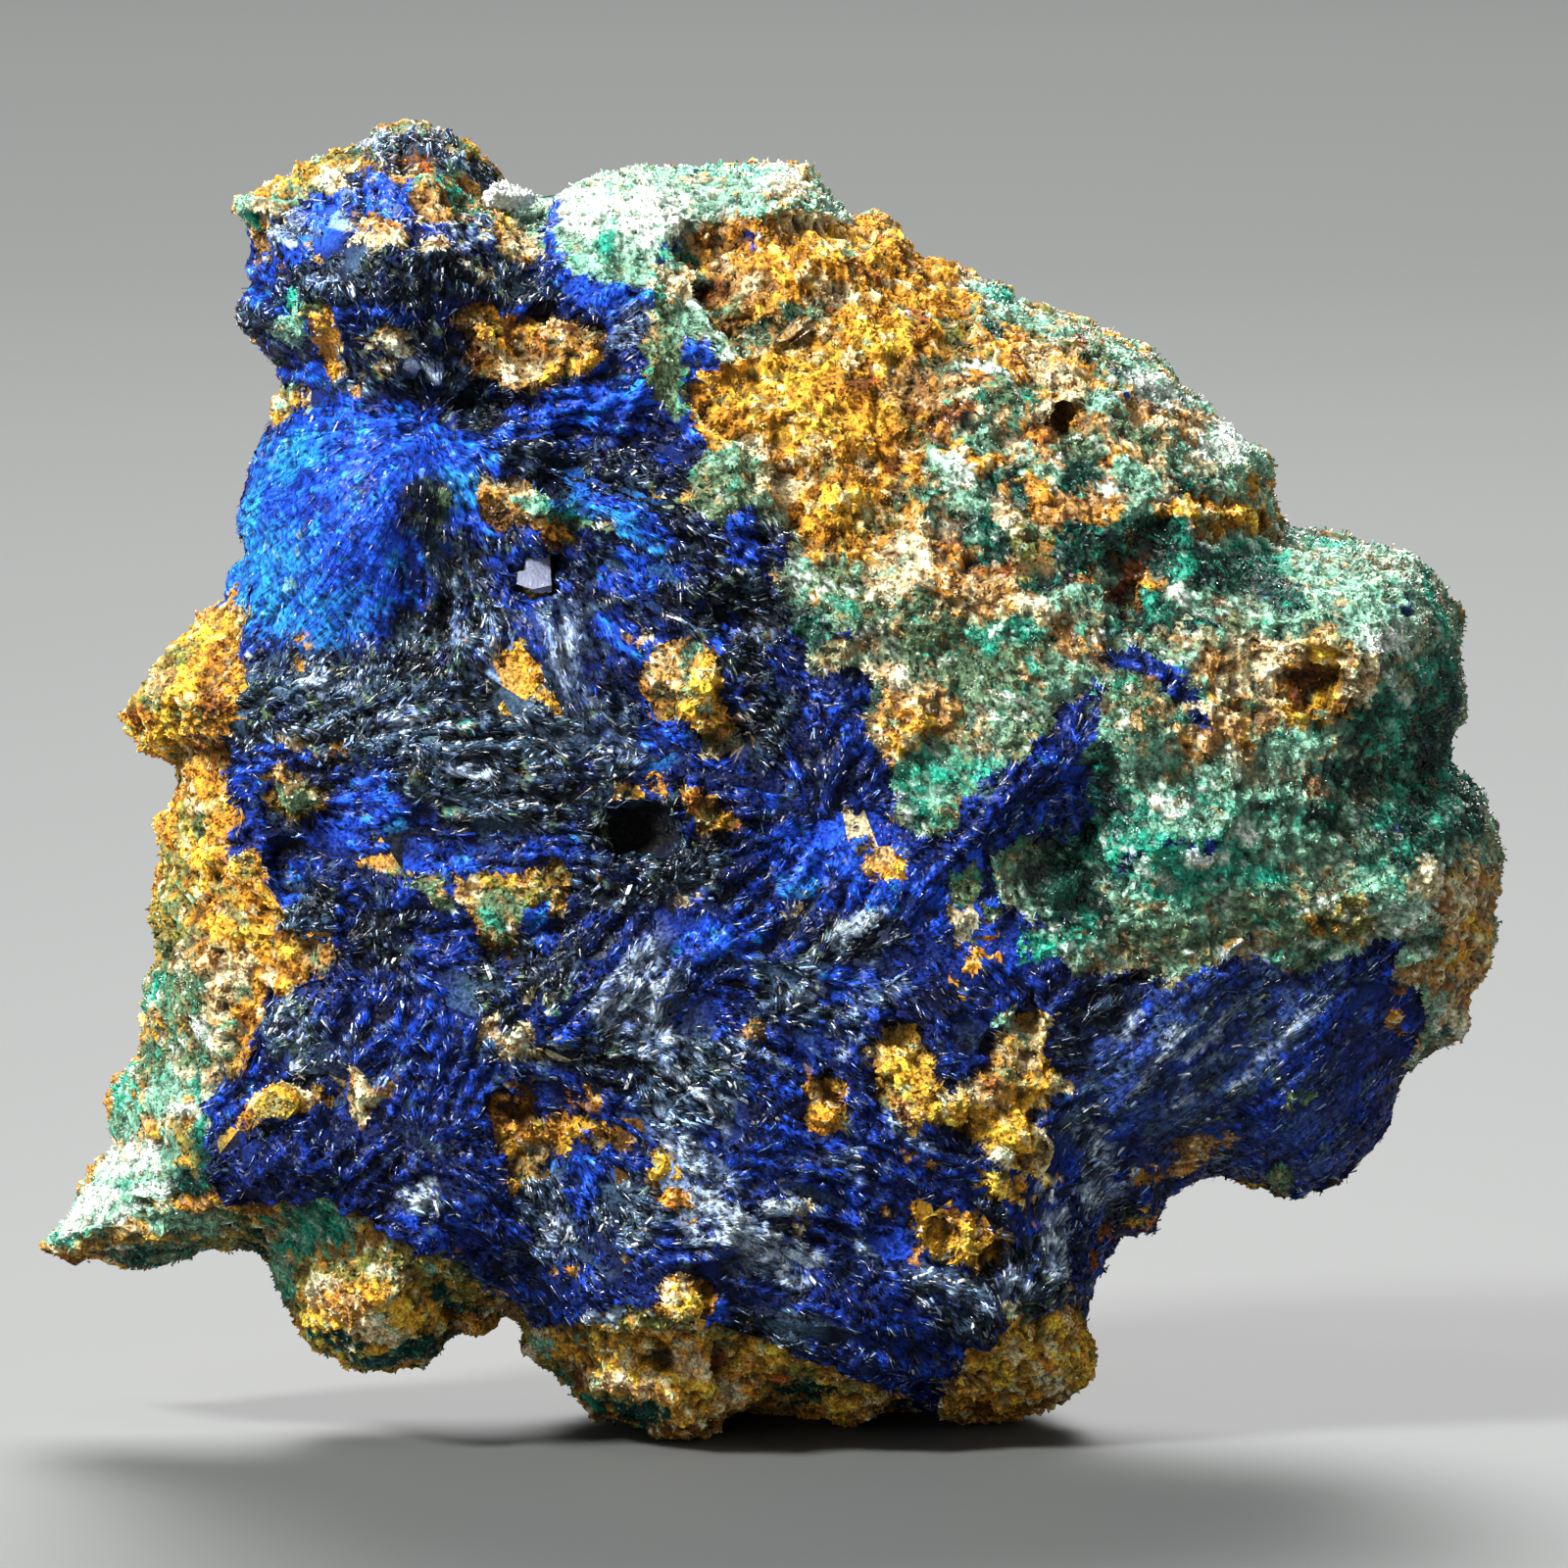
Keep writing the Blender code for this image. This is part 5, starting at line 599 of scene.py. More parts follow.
    ("royal", 0.4, (
        (25.3, 36.5, 1.6, 0.4, -5), (16.9, 32.0, 1.7, 0.4, 10), (38.6, 51.2, 0.4, 0.4),
        (21.8, 35.3, 0.7, 0.4, 40),
    )),
    ("ochre", 0.4, ((-36.4, 46.1, 4.0, 4.6, 30), (-35.2, 36.5, 2.6, 4.8), (-33.8, 32.6, 1.8, 2.4))),
    ("gold", 0.6, (
        (-36.4, 46.7, 2.4, 1.6, 40), (-37.0, 43.7, 2.2, 1.1), (-34.4, 49.1, 1.0, 1.8, -30),
        (-34.9, 35.3, 1.2, 2.4),
    )),
    ("brown", 0.5, (
        (-38.2, 44.0, 0.8, 0.8), (-34.6, 42.5, 1.6, 0.5), (-36.1, 39.4, 0.8, 0.7),
        (-33.9, 44.9, 0.5, 1.8),
    )),
    ("olive", 0.6, (
        (-36.8, 34.1, 1.8, 2.2), (-35.9, 38.3, 1.4, 0.8), (-36.4, 30.5, 1.8, 1.2),
        (-38.2, 21.5, 1.8, 0.8), (-36.8, 17.3, 2.0, 2.0), (-38.2, 14.6, 3.0, 1.2),
    )),
    ("sage", 0.6, (
        (-35.2, 27.5, 3.4, 2.0), (-37.6, 23.3, 2.4, 1.6), (-34.4, 24.5, 2.0, 1.6),
        (-40.6, 14.3, 2.8, 1.8, 30), (-37.6, 11.3, 3.6, 0.8),
    )),
    ("cream", 0.6, (
        (-33.4, 29.0, 1.4, 1.2), (-37.4, 20.0, 1.4, 0.6), (-35.2, 22.7, 1.8, 0.6),
        (-41.2, 16.7, 0.8, 1.2), (-40.0, 17.9, 1.2, 0.6), (-33.8, 26.3, 0.8, 1.8),
        (-34.4, 20.9, 0.4, 1.8),
    )),
    ("mint", 0.5, (
        (-37.4, 20.9, 1.6, 1.0), (-40.0, 19.1, 1.0, 1.2), (-42.1, 13.7, 2.2, 1.2, 30),
        (-43.6, 11.9, 1.4, 0.5), (-34.9, 19.1, 0.4, 1.8), (-36.4, 22.1, 1.6, 0.6),
        (-39.4, 20.9, 1.0, 1.0),
    )),
    ("teal", 0.6, (
        (-39.8, 21.8, 0.8, 1.8), (-38.2, 27.2, 0.7, 1.6), (-34.9, 20.3, 0.4, 2.4),
        (-43.0, 12.4, 1.2, 0.5, 20),
    )),
    ("tan", 0.6, ((-40.0, 15.5, 1.8, 1.2), (-34.9, 29.9, 1.8, 1.2), (-42.4, 11.0, 1.8, 0.5))),
    ("forest", 0.6, ((-35.9, 15.8, 1.4, 1.0), (-38.2, 10.6, 3.6, 0.5, -4), (-34.6, 17.3, 0.8, 1.8))),
    ("sage", 0.5, ((-33.1, 12.6, 3.6, 1.2), (-29.2, 13.1, 2.4, 1.0), (-20.8, 9.5, 3.0, 1.2, -25))),
    ("olive", 0.5, (
        (-23.8, 8.3, 6.6, 4.0), (-32.9, 12.2, 2.4, 0.8), (0.8, 3.8, 2.4, 1.3), (-7.6, 4.7, 7.2, 3.6),
    )),
    ("forest", 0.6, (
        (-23.2, 5.6, 4.2, 1.4), (-27.4, 7.7, 1.8, 1.8), (-19.1, 7.7, 1.8, 1.4), (-31.6, 11.6, 3.0, 0.5),
        (-8.8, 1.7, 3.6, 1.0), (2.5, 2.9, 2.4, 0.8),
    )),
    ("teal", 0.5, (
        (-27.4, 13.1, 2.3, 1.2), (-30.1, 9.5, 0.8, 1.6), (-12.0, 2.6, 1.6, 0.7, -45),
        (-29.2, 11.9, 1.4, 0.8), (-22.6, 7.7, 1.8, 1.0),
    )),
    ("gold", 0.5, (
        (-27.3, 8.3, 1.8, 1.8), (-7.6, 4.7, 3.0, 1.4), (-5.2, 3.5, 2.4, 2.0), (-23.8, 5.9, 0.8, 0.6),
        (6.1, 2.0, 3.0, 0.7), (17.2, 5.6, 1.8, 1.2),
    )),
    ("ochre", 0.5, (
        (-21.3, 7.4, 1.8, 1.0), (-25.1, 9.5, 1.2, 0.6), (-11.8, 5.9, 3.6, 0.7, -10),
        (-4.0, 4.1, 3.6, 2.6), (17.6, 5.9, 2.6, 2.2), (5.0, 1.8, 3.6, 0.8), (-8.8, 4.1, 1.8, 1.2),
        (-18.4, 7.1, 1.2, 0.8), (-2.5, 2.9, 1.4, 1.8), (13.9, 1.7, 2.4, 0.8),
    )),
    ("brown", 0.5, (
        (-7.2, 5.5, 1.4, 0.6), (-3.1, 5.0, 0.7, 1.6), (-8.8, 5.3, 0.8, 0.8), (-11.8, 4.1, 1.1, 1.0),
        (-0.4, 4.4, 1.2, 0.6), (19.3, 4.1, 0.7, 0.8), (12.8, 2.3, 1.2, 0.5), (-5.2, 0.8, 1.8, 0.5),
    )),
    ("cream", 0.5, (
        (-16.5, 8.0, 0.5, 0.8), (-14.5, 6.4, 0.8, 0.5), (-23.2, 6.2, 0.7, 0.5), (-22.1, 4.4, 1.2, 0.4),
        (-15.4, 5.3, 0.4, 0.6),
    )),
    ("mint", 0.6, (
        (-14.4, 5.6, 1.0, 0.5, -30), (-26.2, 14.0, 1.2, 0.4, -20), (-30.3, 10.6, 0.5, 1.0),
        (-20.8, 10.7, 0.8, 0.4, -30),
    )),
    ("black_green", 0.6, ((-21.0, 79.6, 2.4, 0.9, -20), (-17.6, 77.6, 1.6, 0.6, -38))),
    ("sage", 0.6, ((-22.6, 80.4, 1.4, 0.6), (-18.8, 78.9, 1.2, 0.6, -38), (-24.6, 78.6, 0.9, 0.6))),
    ("ochre", 0.6, (
        (14.0, 66.6, 3.4, 1.4, -20), (19.0, 65.2, 2.4, 0.9, -25), (12.4, 59.8, 2.0, 1.2),
        (16.0, 57.6, 1.6, 1.0), (19.6, 56.2, 1.4, 0.8, 20),
    )),
    ("olive", 0.7, ((16.0, 54.2, 3.2, 1.8), (34.4, 31.6, 2.4, 1.4))),
    ("brown", 0.5, ((14.0, 53.6, 1.3, 0.7), (18.6, 52.9, 1.2, 0.8), (16.4, 61.6, 0.9, 1.2, 20))),
    ("forest", 0.6, ((16.6, 52.4, 1.4, 0.8), (12.6, 55.8, 0.9, 1.1), (19.4, 59.4, 0.7, 1.2))),
    ("mint", 0.6, ((-39.2, 15.8, 3.0, 1.7, 20), (-36.4, 13.2, 2.2, 0.9), (-37.0, 17.8, 1.3, 1.1))),
    ("pale", 0.7, ((-41.2, 14.9, 1.5, 0.9, 25), (-38.4, 17.2, 1.2, 0.7), (-39.6, 13.4, 1.6, 0.5, 10))),
    ("ochre", 0.4, (
        (-29.3, 20.6, 2.7, 1.0, 8), (12.6, 12.8, 2.4, 0.8, -35), (14.6, 15.2, 1.6, 0.8, -35),
        (28.2, 46.4, 1.6, 1.0),
    )),
    ("cream", 0.6, ((-28.4, 21.1, 1.3, 0.4, 8), (29.4, 47.6, 1.8, 1.2))),
    ("brown", 0.5, ((-30.9, 20.2, 0.7, 0.5), (32.2, 45.9, 1.0, 0.8, -20))),
    ("gold", 0.5, ((12.0, 13.2, 1.2, 0.4, -35), (34.0, 46.4, 0.6, 1.6))),
    ("royal", 0.35, (
        (16.7, 42.0, 3.4, 1.0, 52), (13.6, 38.8, 3.6, 1.7, 48), (18.8, 45.0, 1.6, 0.5, 55),
        (25.0, 45.2, 1.6, 0.5, -50), (17.8, 42.2, 1.2, 2.8, -8), (16.4, 40.7, 2.6, 1.5, 38),
        (13.4, 38.3, 2.6, 1.5, 32), (23.9, 46.6, 1.9, 0.7, -48), (25.6, 44.6, 1.2, 0.6, -60),
    )),
    ("deep", 0.9, ((15.0, 39.4, 2.2, 0.7, 40), (33.5, 20.5, 3.5, 3.0), (24.0, 19.4, 3.0, 1.6, 20))),
    ("slate", 0.9, ((27.5, 23.6, 7.5, 4.6, 20), (33.9, 24.5, 2.8, 2.6), (22.4, 23.4, 3.0, 3.6))),
    ("black_green", 0.7, (
        (11.6, 7.2, 2.2, 1.0, -20), (16.2, 8.4, 1.4, 1.6), (14.2, 11.2, 1.6, 0.7, -30),
        (19.6, 17.2, 1.2, 1.0), (20.2, 26.6, 1.0, 1.8),
    )),
    ("steel", 0.8, (
        (13.2, 9.4, 2.4, 1.4, -20), (17.0, 11.4, 1.2, 1.8), (9.4, 9.6, 1.8, 1.0, -30),
        (18.8, 19.4, 1.0, 1.6),
    )),
    ("lavender", 0.6, (
        (14.9, 10.2, 1.6, 0.6, -60), (17.6, 13.2, 0.6, 1.4, 10), (10.4, 10.4, 1.6, 0.5, -30),
        (12.6, 8.2, 1.5, 0.4, -35), (16.4, 16.4, 0.5, 1.2), (8.0, 19.2, 1.4, 0.5, -30),
        (20.4, 18.0, 0.4, 1.3, 10), (4.6, 17.0, 1.6, 0.5, -40), (6.0, 12.0, 1.5, 0.5, -30),
    )),
    ("gold", 0.4, (
        (14.3, 19.0, 2.2, 1.5, -20), (16.2, 17.3, 0.9, 1.2), (9.0, 21.2, 1.4, 1.0, -20),
        (15.6, 24.6, 1.0, 1.7, 10), (7.2, 24.4, 0.9, 1.2), (9.8, 13.4, 1.4, 0.7, -30),
    )),
    ("cream", 0.5, (
        (7.3, 25.0, 0.7, 0.6), (14.9, 25.6, 0.5, 0.9), (11.9, 22.0, 0.8, 0.4, -20),
        (17.6, 21.8, 0.5, 0.7), (13.6, 17.6, 0.6, 0.4, -30),
    )),
    ("olive", 0.5, ((18.4, 4.8, 1.6, 1.3), (19.8, 7.2, 0.8, 0.8))),
    ("steel", 0.8, (
        (-19.6, 53.4, 0.8, 2.0, 12), (-17.6, 50.6, 0.7, 2.0, -8), (-20.4, 48.4, 1.8, 0.6),
        (23.6, 22.4, 3.4, 0.5, 38), (28.4, 25.9, 3.4, 0.5, 38), (30.8, 22.2, 3.0, 0.5, 38),
        (27.2, 20.4, 2.8, 0.5, 38), (33.2, 26.4, 2.0, 0.4, 38), (25.4, 25.6, 2.4, 0.4, 38),
        (-21.6, 45.4, 3.0, 0.7, 4), (-26.8, 43.4, 3.4, 0.6), (-17.6, 42.4, 2.6, 0.6, -8),
    )),
    ("royal", 0.6, (
        (-21.4, 52.6, 0.7, 1.6, 10), (-15.9, 51.2, 0.6, 1.4), (26.0, 23.9, 2.8, 0.6, 38),
        (29.8, 20.2, 2.6, 0.8, 38), (32.6, 23.8, 2.4, 0.8, 38), (22.2, 25.4, 1.6, 0.6, 38),
        (35.0, 24.4, 1.6, 2.2),
    )),
    ("lavender", 0.6, (
        (-18.8, 50.0, 0.4, 1.3, 15), (25.8, 22.6, 2.2, 0.2, 38), (29.6, 24.3, 2.4, 0.2, 38),
        (24.2, 20.6, 1.6, 0.2, 38), (31.8, 25.0, 1.6, 0.2, 38), (-2.4, 14.0, 2.6, 0.8, -35),
        (-4.6, 15.8, 1.4, 0.6, -60), (0.4, 11.8, 1.8, 0.6, -20), (-0.6, 24.0, 2.0, 0.5, -30),
        (-6.2, 27.2, 0.8, 1.9, -30), (4.2, 24.6, 1.6, 0.4, 20), (6.4, 27.0, 1.4, 0.4, 30),
    )),
    ("sage", 0.7, (
        (14.4, 63.2, 2.2, 1.3, -15), (18.6, 60.4, 1.9, 1.5), (22.0, 61.8, 1.8, 0.9, -25),
        (15.6, 58.8, 1.5, 0.9, 20), (10.6, 65.6, 1.4, 0.8), (8.0, 58.0, 1.3, 0.8),
    )),
    ("mint", 0.7, (
        (13.2, 61.0, 1.2, 0.8), (19.8, 63.4, 1.3, 0.6, -20), (17.2, 58.6, 0.9, 0.7),
        (11.8, 57.2, 1.3, 0.8), (21.6, 58.8, 1.4, 0.9), (24.8, 60.6, 1.0, 0.6),
    )),
    ("forest", 0.6, (
        (19.4, 54.4, 2.8, 1.3), (22.8, 50.6, 1.8, 1.1), (15.4, 65.0, 0.9, 0.5),
        (18.0, 58.0, 1.0, 0.6, 30), (13.4, 58.2, 0.7, 0.5), (21.0, 49.4, 1.2, 0.7),
        (24.9, 58.2, 1.1, 0.5), (17.8, 36.6, 1.6, 3.0), (41.4, 42.0, 1.4, 2.6), (38.0, 42.6, 2.0, 1.0),
    )),
    ("brown", 0.6, (
        (33.2, 46.9, 0.9, 0.8), (21.9, 52.2, 0.9, 0.8), (14.3, 61.1, 0.6, 0.5),
        (11.6, 67.2, 0.9, 0.5, -20), (16.6, 62.8, 0.8, 0.6), (20.6, 59.8, 0.7, 0.5),
        (23.4, 62.8, 0.6, 0.5), (8.6, 62.6, 0.8, 0.5), (7.2, 70.4, 1.0, 0.4, -10),
    )),
    ("cream", 0.6, (
        (31.0, 60.4, 0.9, 0.7), (42.2, 33.4, 0.9, 1.6), (26.0, 45.0, 1.3, 0.6), (-26.8, 9.4, 0.7, 0.5),
        (-6.2, 6.4, 0.9, 0.4), (-2.0, 3.2, 0.6, 0.5), (17.8, 7.0, 0.8, 0.5), (-22.4, 9.2, 0.7, 0.4),
        (5.2, 2.2, 1.1, 0.3),
    )),
    ("gold", 0.6, (
        (43.2, 30.6, 0.8, 1.4), (41.4, 29.2, 1.2, 0.6), (-24.4, 7.4, 1.1, 0.6), (-9.4, 5.9, 1.2, 0.5),
        (15.8, 5.0, 1.0, 0.6),
    )),
    ("olive", 0.6, ((-36.2, 47.8, 1.4, 0.9, 30), (-38.0, 45.2, 1.2, 0.7), (-35.2, 44.4, 1.0, 0.8))),
    ("tan", 0.5, ((-37.2, 46.6, 1.4, 0.7, 30), (-35.6, 42.0, 0.9, 0.7))),
    ("pale", 0.6, (
        (-42.6, 13.3, 1.6, 0.6, 28), (-37.6, 15.2, 1.4, 0.6), (-40.4, 17.0, 1.0, 0.6),
        (-36.0, 20.6, 1.2, 0.5), (-34.9, 25.0, 0.9, 0.7),
    )),
    # Painted shade: navy laid into the deep pit at (-7.6, 37.4)
    ("navy", 0.4, ((-7.6, 37.4, 2.6, 1.7),)),
    # Painted sheen: silver laid on the skin and crystals where the fibres catch the light
    ("silver", 0.6, (
        (-2.4, 13.2, 2.4, 1.2, -35), (-5.4, 17.6, 1.9, 0.6, -45), (0.8, 10.8, 1.5, 0.6, -30),
        (-8.2, 28.8, 0.8, 2.0, -35), (-6.6, 25.6, 1.6, 0.5, -30), (-21.4, 15.2, 1.3, 0.7, 40),
        (-10.4, 7.8, 1.5, 0.5), (-12.6, 48.2, 0.6, 1.8, 5), (-24.3, 79.6, 0.9, 0.8),
        (-22.0, 43.8, 2.2, 0.5), (-27.0, 46.0, 1.8, 0.4), (-17.8, 40.9, 1.8, 0.4, -8),
        (20.0, 17.6, 0.5, 1.3, 10), (17.4, 12.8, 0.5, 1.2, 10), (14.6, 10.4, 1.3, 0.4, -60),
        (-28.6, 24.8, 0.5, 1.6), (1.6, 27.4, 1.8, 0.4, 20), (-5.6, 22.4, 1.8, 0.4, -30),
        (-20.4, 65.2, 1.4, 0.5), (-29.2, 73.6, 0.6, 1.0, -30), (24.8, 25.0, 1.8, 0.3, 38),
        (-1.4, 49.4, 1.4, 0.5, 30), (5.2, 31.6, 1.6, 0.4, 30), (-13.4, 13.4, 0.5, 1.6),
    )),
    ("ochre", 0.5, (
        (16.4, 6.8, 1.9, 1.1), (14.4, 4.0, 1.4, 1.2), (18.8, 3.6, 1.2, 0.7), (-7.0, 6.6, 2.0, 0.6, -8),
    )),
    ("gold", 0.6, (
        (-9.2, 5.4, 2.2, 1.0, -10), (-4.6, 3.6, 2.0, 1.0), (-0.8, 5.4, 1.4, 0.8), (-25.6, 8.2, 1.8, 1.4),
        (-21.4, 7.2, 1.1, 0.8), (16.8, 6.0, 1.0, 0.7), (4.2, 2.4, 1.6, 0.5),
    )),
    ("cream", 0.6, (
        (17.6, 65.0, 1.3, 1.0), (16.6, 62.8, 0.7, 0.7), (7.6, 52.6, 1.9, 1.5), (35.4, 46.4, 0.8, 1.6),
        (30.2, 47.4, 1.0, 1.2), (14.0, 56.6, 0.9, 0.6), (-7.8, 3.4, 0.9, 0.4),
        (-23.2, 10.2, 0.9, 0.4, -20), (15.0, 8.0, 0.6, 0.4),
    )),
    ("pale", 0.6, (
        (11.1, 59.3, 1.2, 1.0), (12.7, 65.8, 1.2, 0.7), (23.2, 64.2, 1.8, 0.7, -35),
        (27.7, 60.8, 1.7, 1.4), (20.2, 57.8, 0.8, 0.6),
    )),
    ("forest", 0.6, (
        (12.8, 54.7, 2.0, 1.0), (18.4, 58.9, 0.8, 1.4, 20), (25.6, 53.4, 3.0, 1.1),
        (15.2, 57.4, 0.7, 1.1), (39.4, 44.6, 1.6, 1.4),
    )),
    ("brown", 0.6, ((32.6, 47.0, 0.8, 0.9, 20), (21.6, 52.0, 1.1, 0.9))),
    ("ochre", 0.5, (
        (-16.7, 66.9, 1.9, 1.9, -20), (-27.1, 66.9, 0.9, 1.6), (23.2, 15.9, 1.0, 0.4, 10),
        (-13.2, 55.6, 1.5, 0.6, -10), (17.2, 4.6, 1.8, 1.4), (12.6, 3.0, 1.4, 0.7),
    )),
    ("tan", 0.5, (
        (-15.7, 64.8, 1.6, 1.0), (-18.2, 67.8, 0.9, 0.8), (-15.7, 57.2, 1.8, 1.4, -10),
        (-23.4, 66.9, 1.2, 0.6), (-5.8, 46.6, 1.8, 2.4, -25), (25.4, 17.3, 2.2, 0.5, 28),
        (8.8, 20.4, 1.6, 1.0), (13.0, 21.6, 1.5, 0.8), (-14.1, 23.3, 1.2, 0.5, -15),
    )),
    ("brown", 0.6, (
        (-17.4, 65.9, 0.6, 0.9), (-16.0, 67.6, 0.5, 0.6), (-12.6, 54.9, 1.4, 0.3, -5),
        (-7.2, 45.6, 0.4, 0.9),
    )),
    ("cream", 0.5, (
        (-24.4, 66.3, 1.7, 0.6), (-22.2, 66.1, 1.1, 0.6), (-15.4, 65.3, 0.7, 0.6),
        (-16.6, 58.3, 0.8, 0.5), (-7.6, 49.0, 0.8, 0.5, -45), (-6.9, 47.2, 0.4, 1.5, 15),
        (-15.8, 24.6, 1.1, 1.1), (-14.2, 27.6, 0.7, 0.5), (8.9, 22.7, 1.4, 0.9, -15),
        (15.6, 23.0, 0.8, 1.3), (12.2, 20.2, 1.1, 0.7), (16.6, 18.6, 0.8, 1.0),
        (14.0, 17.4, 1.0, 0.5, -20), (6.6, 23.8, 0.7, 0.9), (29.2, 48.0, 1.8, 1.5),
        (28.2, 46.2, 1.2, 0.8), (16.8, 3.6, 1.1, 0.7), (14.2, 5.0, 0.9, 0.6), (-5.0, 5.2, 1.2, 0.6),
        (-9.6, 4.0, 1.1, 0.6), (-2.6, 2.8, 1.0, 0.6),
    )),
    ("gold", 0.6, (
        (-4.4, 46.0, 1.0, 1.3, -20), (-5.6, 44.2, 0.9, 0.7), (18.4, 5.6, 1.1, 1.0), (15.4, 3.0, 1.0, 0.6),
        (-7.4, 5.0, 1.6, 0.8, -10),
    )),
    ("mint", 0.6, (
        (-14.0, 56.9, 1.3, 0.5, -10), (-5.0, 47.6, 0.6, 0.9, -20), (10.4, 21.4, 0.7, 0.5),
        (14.6, 25.9, 0.5, 0.8), (30.4, 49.6, 1.6, 0.8),
    )),
    ("cyan", 0.6, ((-12.3, 57.8, 1.8, 0.6, -12), (-10.6, 56.4, 1.2, 0.4, -20))),
    ("sage", 0.5, ((32.1, 20.9, 1.0, 0.8, -30), (-11.4, 55.4, 1.2, 0.4, -15))),
    ("royal", 0.4, (
        (17.9, 39.4, 1.7, 1.7), (12.6, 37.2, 3.2, 1.4, 35), (16.0, 38.4, 2.4, 1.5, 40),
        (-20.6, 27.6, 2.4, 2.0), (-18.6, 23.2, 2.0, 3.2), (-23.4, 25.4, 1.4, 2.4, 20),
    )),
    # Painted sheen: silver laid on the skin and crystals where the fibres catch the light
    ("silver", 0.6, (
        (-3.4, 14.6, 2.0, 0.9, -30), (-1.0, 12.6, 1.9, 1.1, -30), (-4.6, 12.6, 1.4, 0.6, -40),
        (0.6, 14.4, 1.2, 0.6, -20), (-7.4, 26.8, 0.7, 1.6, -35), (-9.6, 26.2, 0.5, 1.3, -35),
        (2.4, 12.0, 1.2, 0.5, -30), (19.4, 15.4, 0.5, 1.3, 10), (16.9, 11.4, 0.5, 1.2, 10),
        (23.4, 22.8, 2.2, 0.25, 38), (26.6, 24.8, 2.4, 0.25, 38), (29.2, 22.6, 2.2, 0.25, 38),
        (21.4, 25.4, 1.6, 0.25, 30), (31.8, 25.4, 1.6, 0.25, 38), (25.0, 20.6, 1.6, 0.25, 38),
    )),
    ("olive", 0.6, (
        (12.0, 66.8, 1.6, 0.8, -15), (16.6, 67.4, 1.4, 0.5, -20), (20.8, 64.8, 0.9, 0.6, -25),
    )),
    ("sage", 0.6, ((19.8, 66.3, 1.4, 0.7, -25), (14.6, 64.6, 1.1, 0.6), (10.9, 68.2, 1.0, 0.6))),
    ("brown", 0.6, ((15.0, 65.7, 0.9, 0.5, -20), (18.4, 67.0, 0.8, 0.4, -20), (12.2, 64.7, 0.7, 0.4))),
    ("forest", 0.6, ((13.8, 67.8, 1.0, 0.5, -15), (21.8, 65.4, 0.8, 0.4, -30), (18.2, 34.8, 1.5, 1.6))),
    ("teal", 0.6, ((38.7, 44.0, 1.1, 0.7), (37.2, 42.0, 0.8, 0.5), (40.4, 40.6, 0.7, 0.9))),
    ("mint", 0.6, ((25.6, 37.9, 2.4, 0.8), (37.6, 43.2, 0.6, 0.4), (39.9, 42.6, 0.5, 0.5))),
    ("pale", 0.6, (
        (24.0, 39.0, 1.2, 0.5), (28.4, 37.2, 1.2, 0.6), (38.3, 45.4, 0.5, 0.4), (39.5, 43.5, 0.4, 0.3),
        (26.2, 35.4, 1.0, 0.5),
    )),
    ("gold", 0.6, (
        (11.4, 20.4, 2.6, 1.1, -12), (8.6, 22.6, 2.0, 1.2, -25), (14.4, 19.6, 1.6, 1.2),
        (7.4, 24.6, 1.2, 1.2), (15.1, 17.9, 0.9, 1.2), (15.6, 21.6, 1.6, 1.0, 30),
        (9.6, 13.2, 1.6, 0.9, -25), (12.2, 11.9, 2.0, 0.9, -25), (13.4, 15.6, 1.2, 0.9, -30),
        (16.2, 6.4, 2.2, 1.2, -10), (13.4, 4.4, 1.6, 0.8), (18.4, 4.6, 1.0, 1.2),
        (-6.4, 4.4, 1.8, 0.7, -10), (-9.0, 5.2, 1.0, 0.6), (-22.4, 8.6, 1.2, 0.8),
    )),
    ("tan", 0.6, ((14.8, 23.6, 0.9, 0.9), (10.2, 21.6, 0.9, 0.5), (-26.0, 8.4, 1.8, 0.8))),
    ("cream", 0.6, ((-15.8, 24.6, 1.3, 1.2), (-24.2, 6.8, 1.4, 0.8, 10), (-27.8, 9.6, 1.0, 0.7))),
    ("slate", 0.6, ((30.6, 18.4, 3.4, 0.9, 32), (34.6, 19.4, 2.6, 1.0, 50), (33.6, 17.0, 2.0, 0.6, 20))),
    ("royal", 0.6, (
        (32.4, 17.6, 2.6, 0.5, 25), (35.8, 21.4, 0.9, 2.2, -10), (29.0, 17.4, 1.6, 0.5, 15),
    )),
    # Forest green: the crust's own dark green on the right, and painted shade in the hollow near (18, 35)
    ("forest", 0.7, (
        (40.2, 41.0, 1.5, 2.8, 10), (37.8, 38.4, 1.6, 0.9), (38.6, 36.0, 1.2, 1.6, -15),
        (17.6, 33.0, 1.6, 1.5), (19.0, 36.6, 1.4, 1.0, 30), (16.4, 35.6, 0.8, 1.6),
    )),
    ("teal", 0.6, ((39.2, 44.6, 1.4, 0.7), (41.0, 38.0, 0.6, 1.0))),
    ("black_green", 0.5, (
        (-10.0, 37.0, 1.6, 1.0, -20), (-8.4, 35.8, 2.0, 0.8, -30), (-6.2, 38.9, 0.9, 0.8),
        (-9.4, 33.4, 2.2, 1.4), (-14.6, 29.6, 1.1, 1.5, 10), (-27.2, 32.8, 1.0, 1.6),
    )),
    ("tan", 0.6, ((-12.4, 66.8, 1.8, 1.2, -15), (-14.2, 66.0, 1.0, 0.8))),
    ("brown", 0.6, ((-12.0, 67.2, 0.8, 0.5), (-14.0, 66.4, 0.6, 0.5))),
    # Forest green: the crust's own dark green on the right, and painted shade in the hollows near (18, 35)
    # and (20, 40)
    ("forest", 0.9, (
        (40.6, 43.6, 1.7, 4.0, -5), (39.4, 37.6, 2.0, 2.6, 10), (20.2, 40.2, 0.9, 3.0, 8),
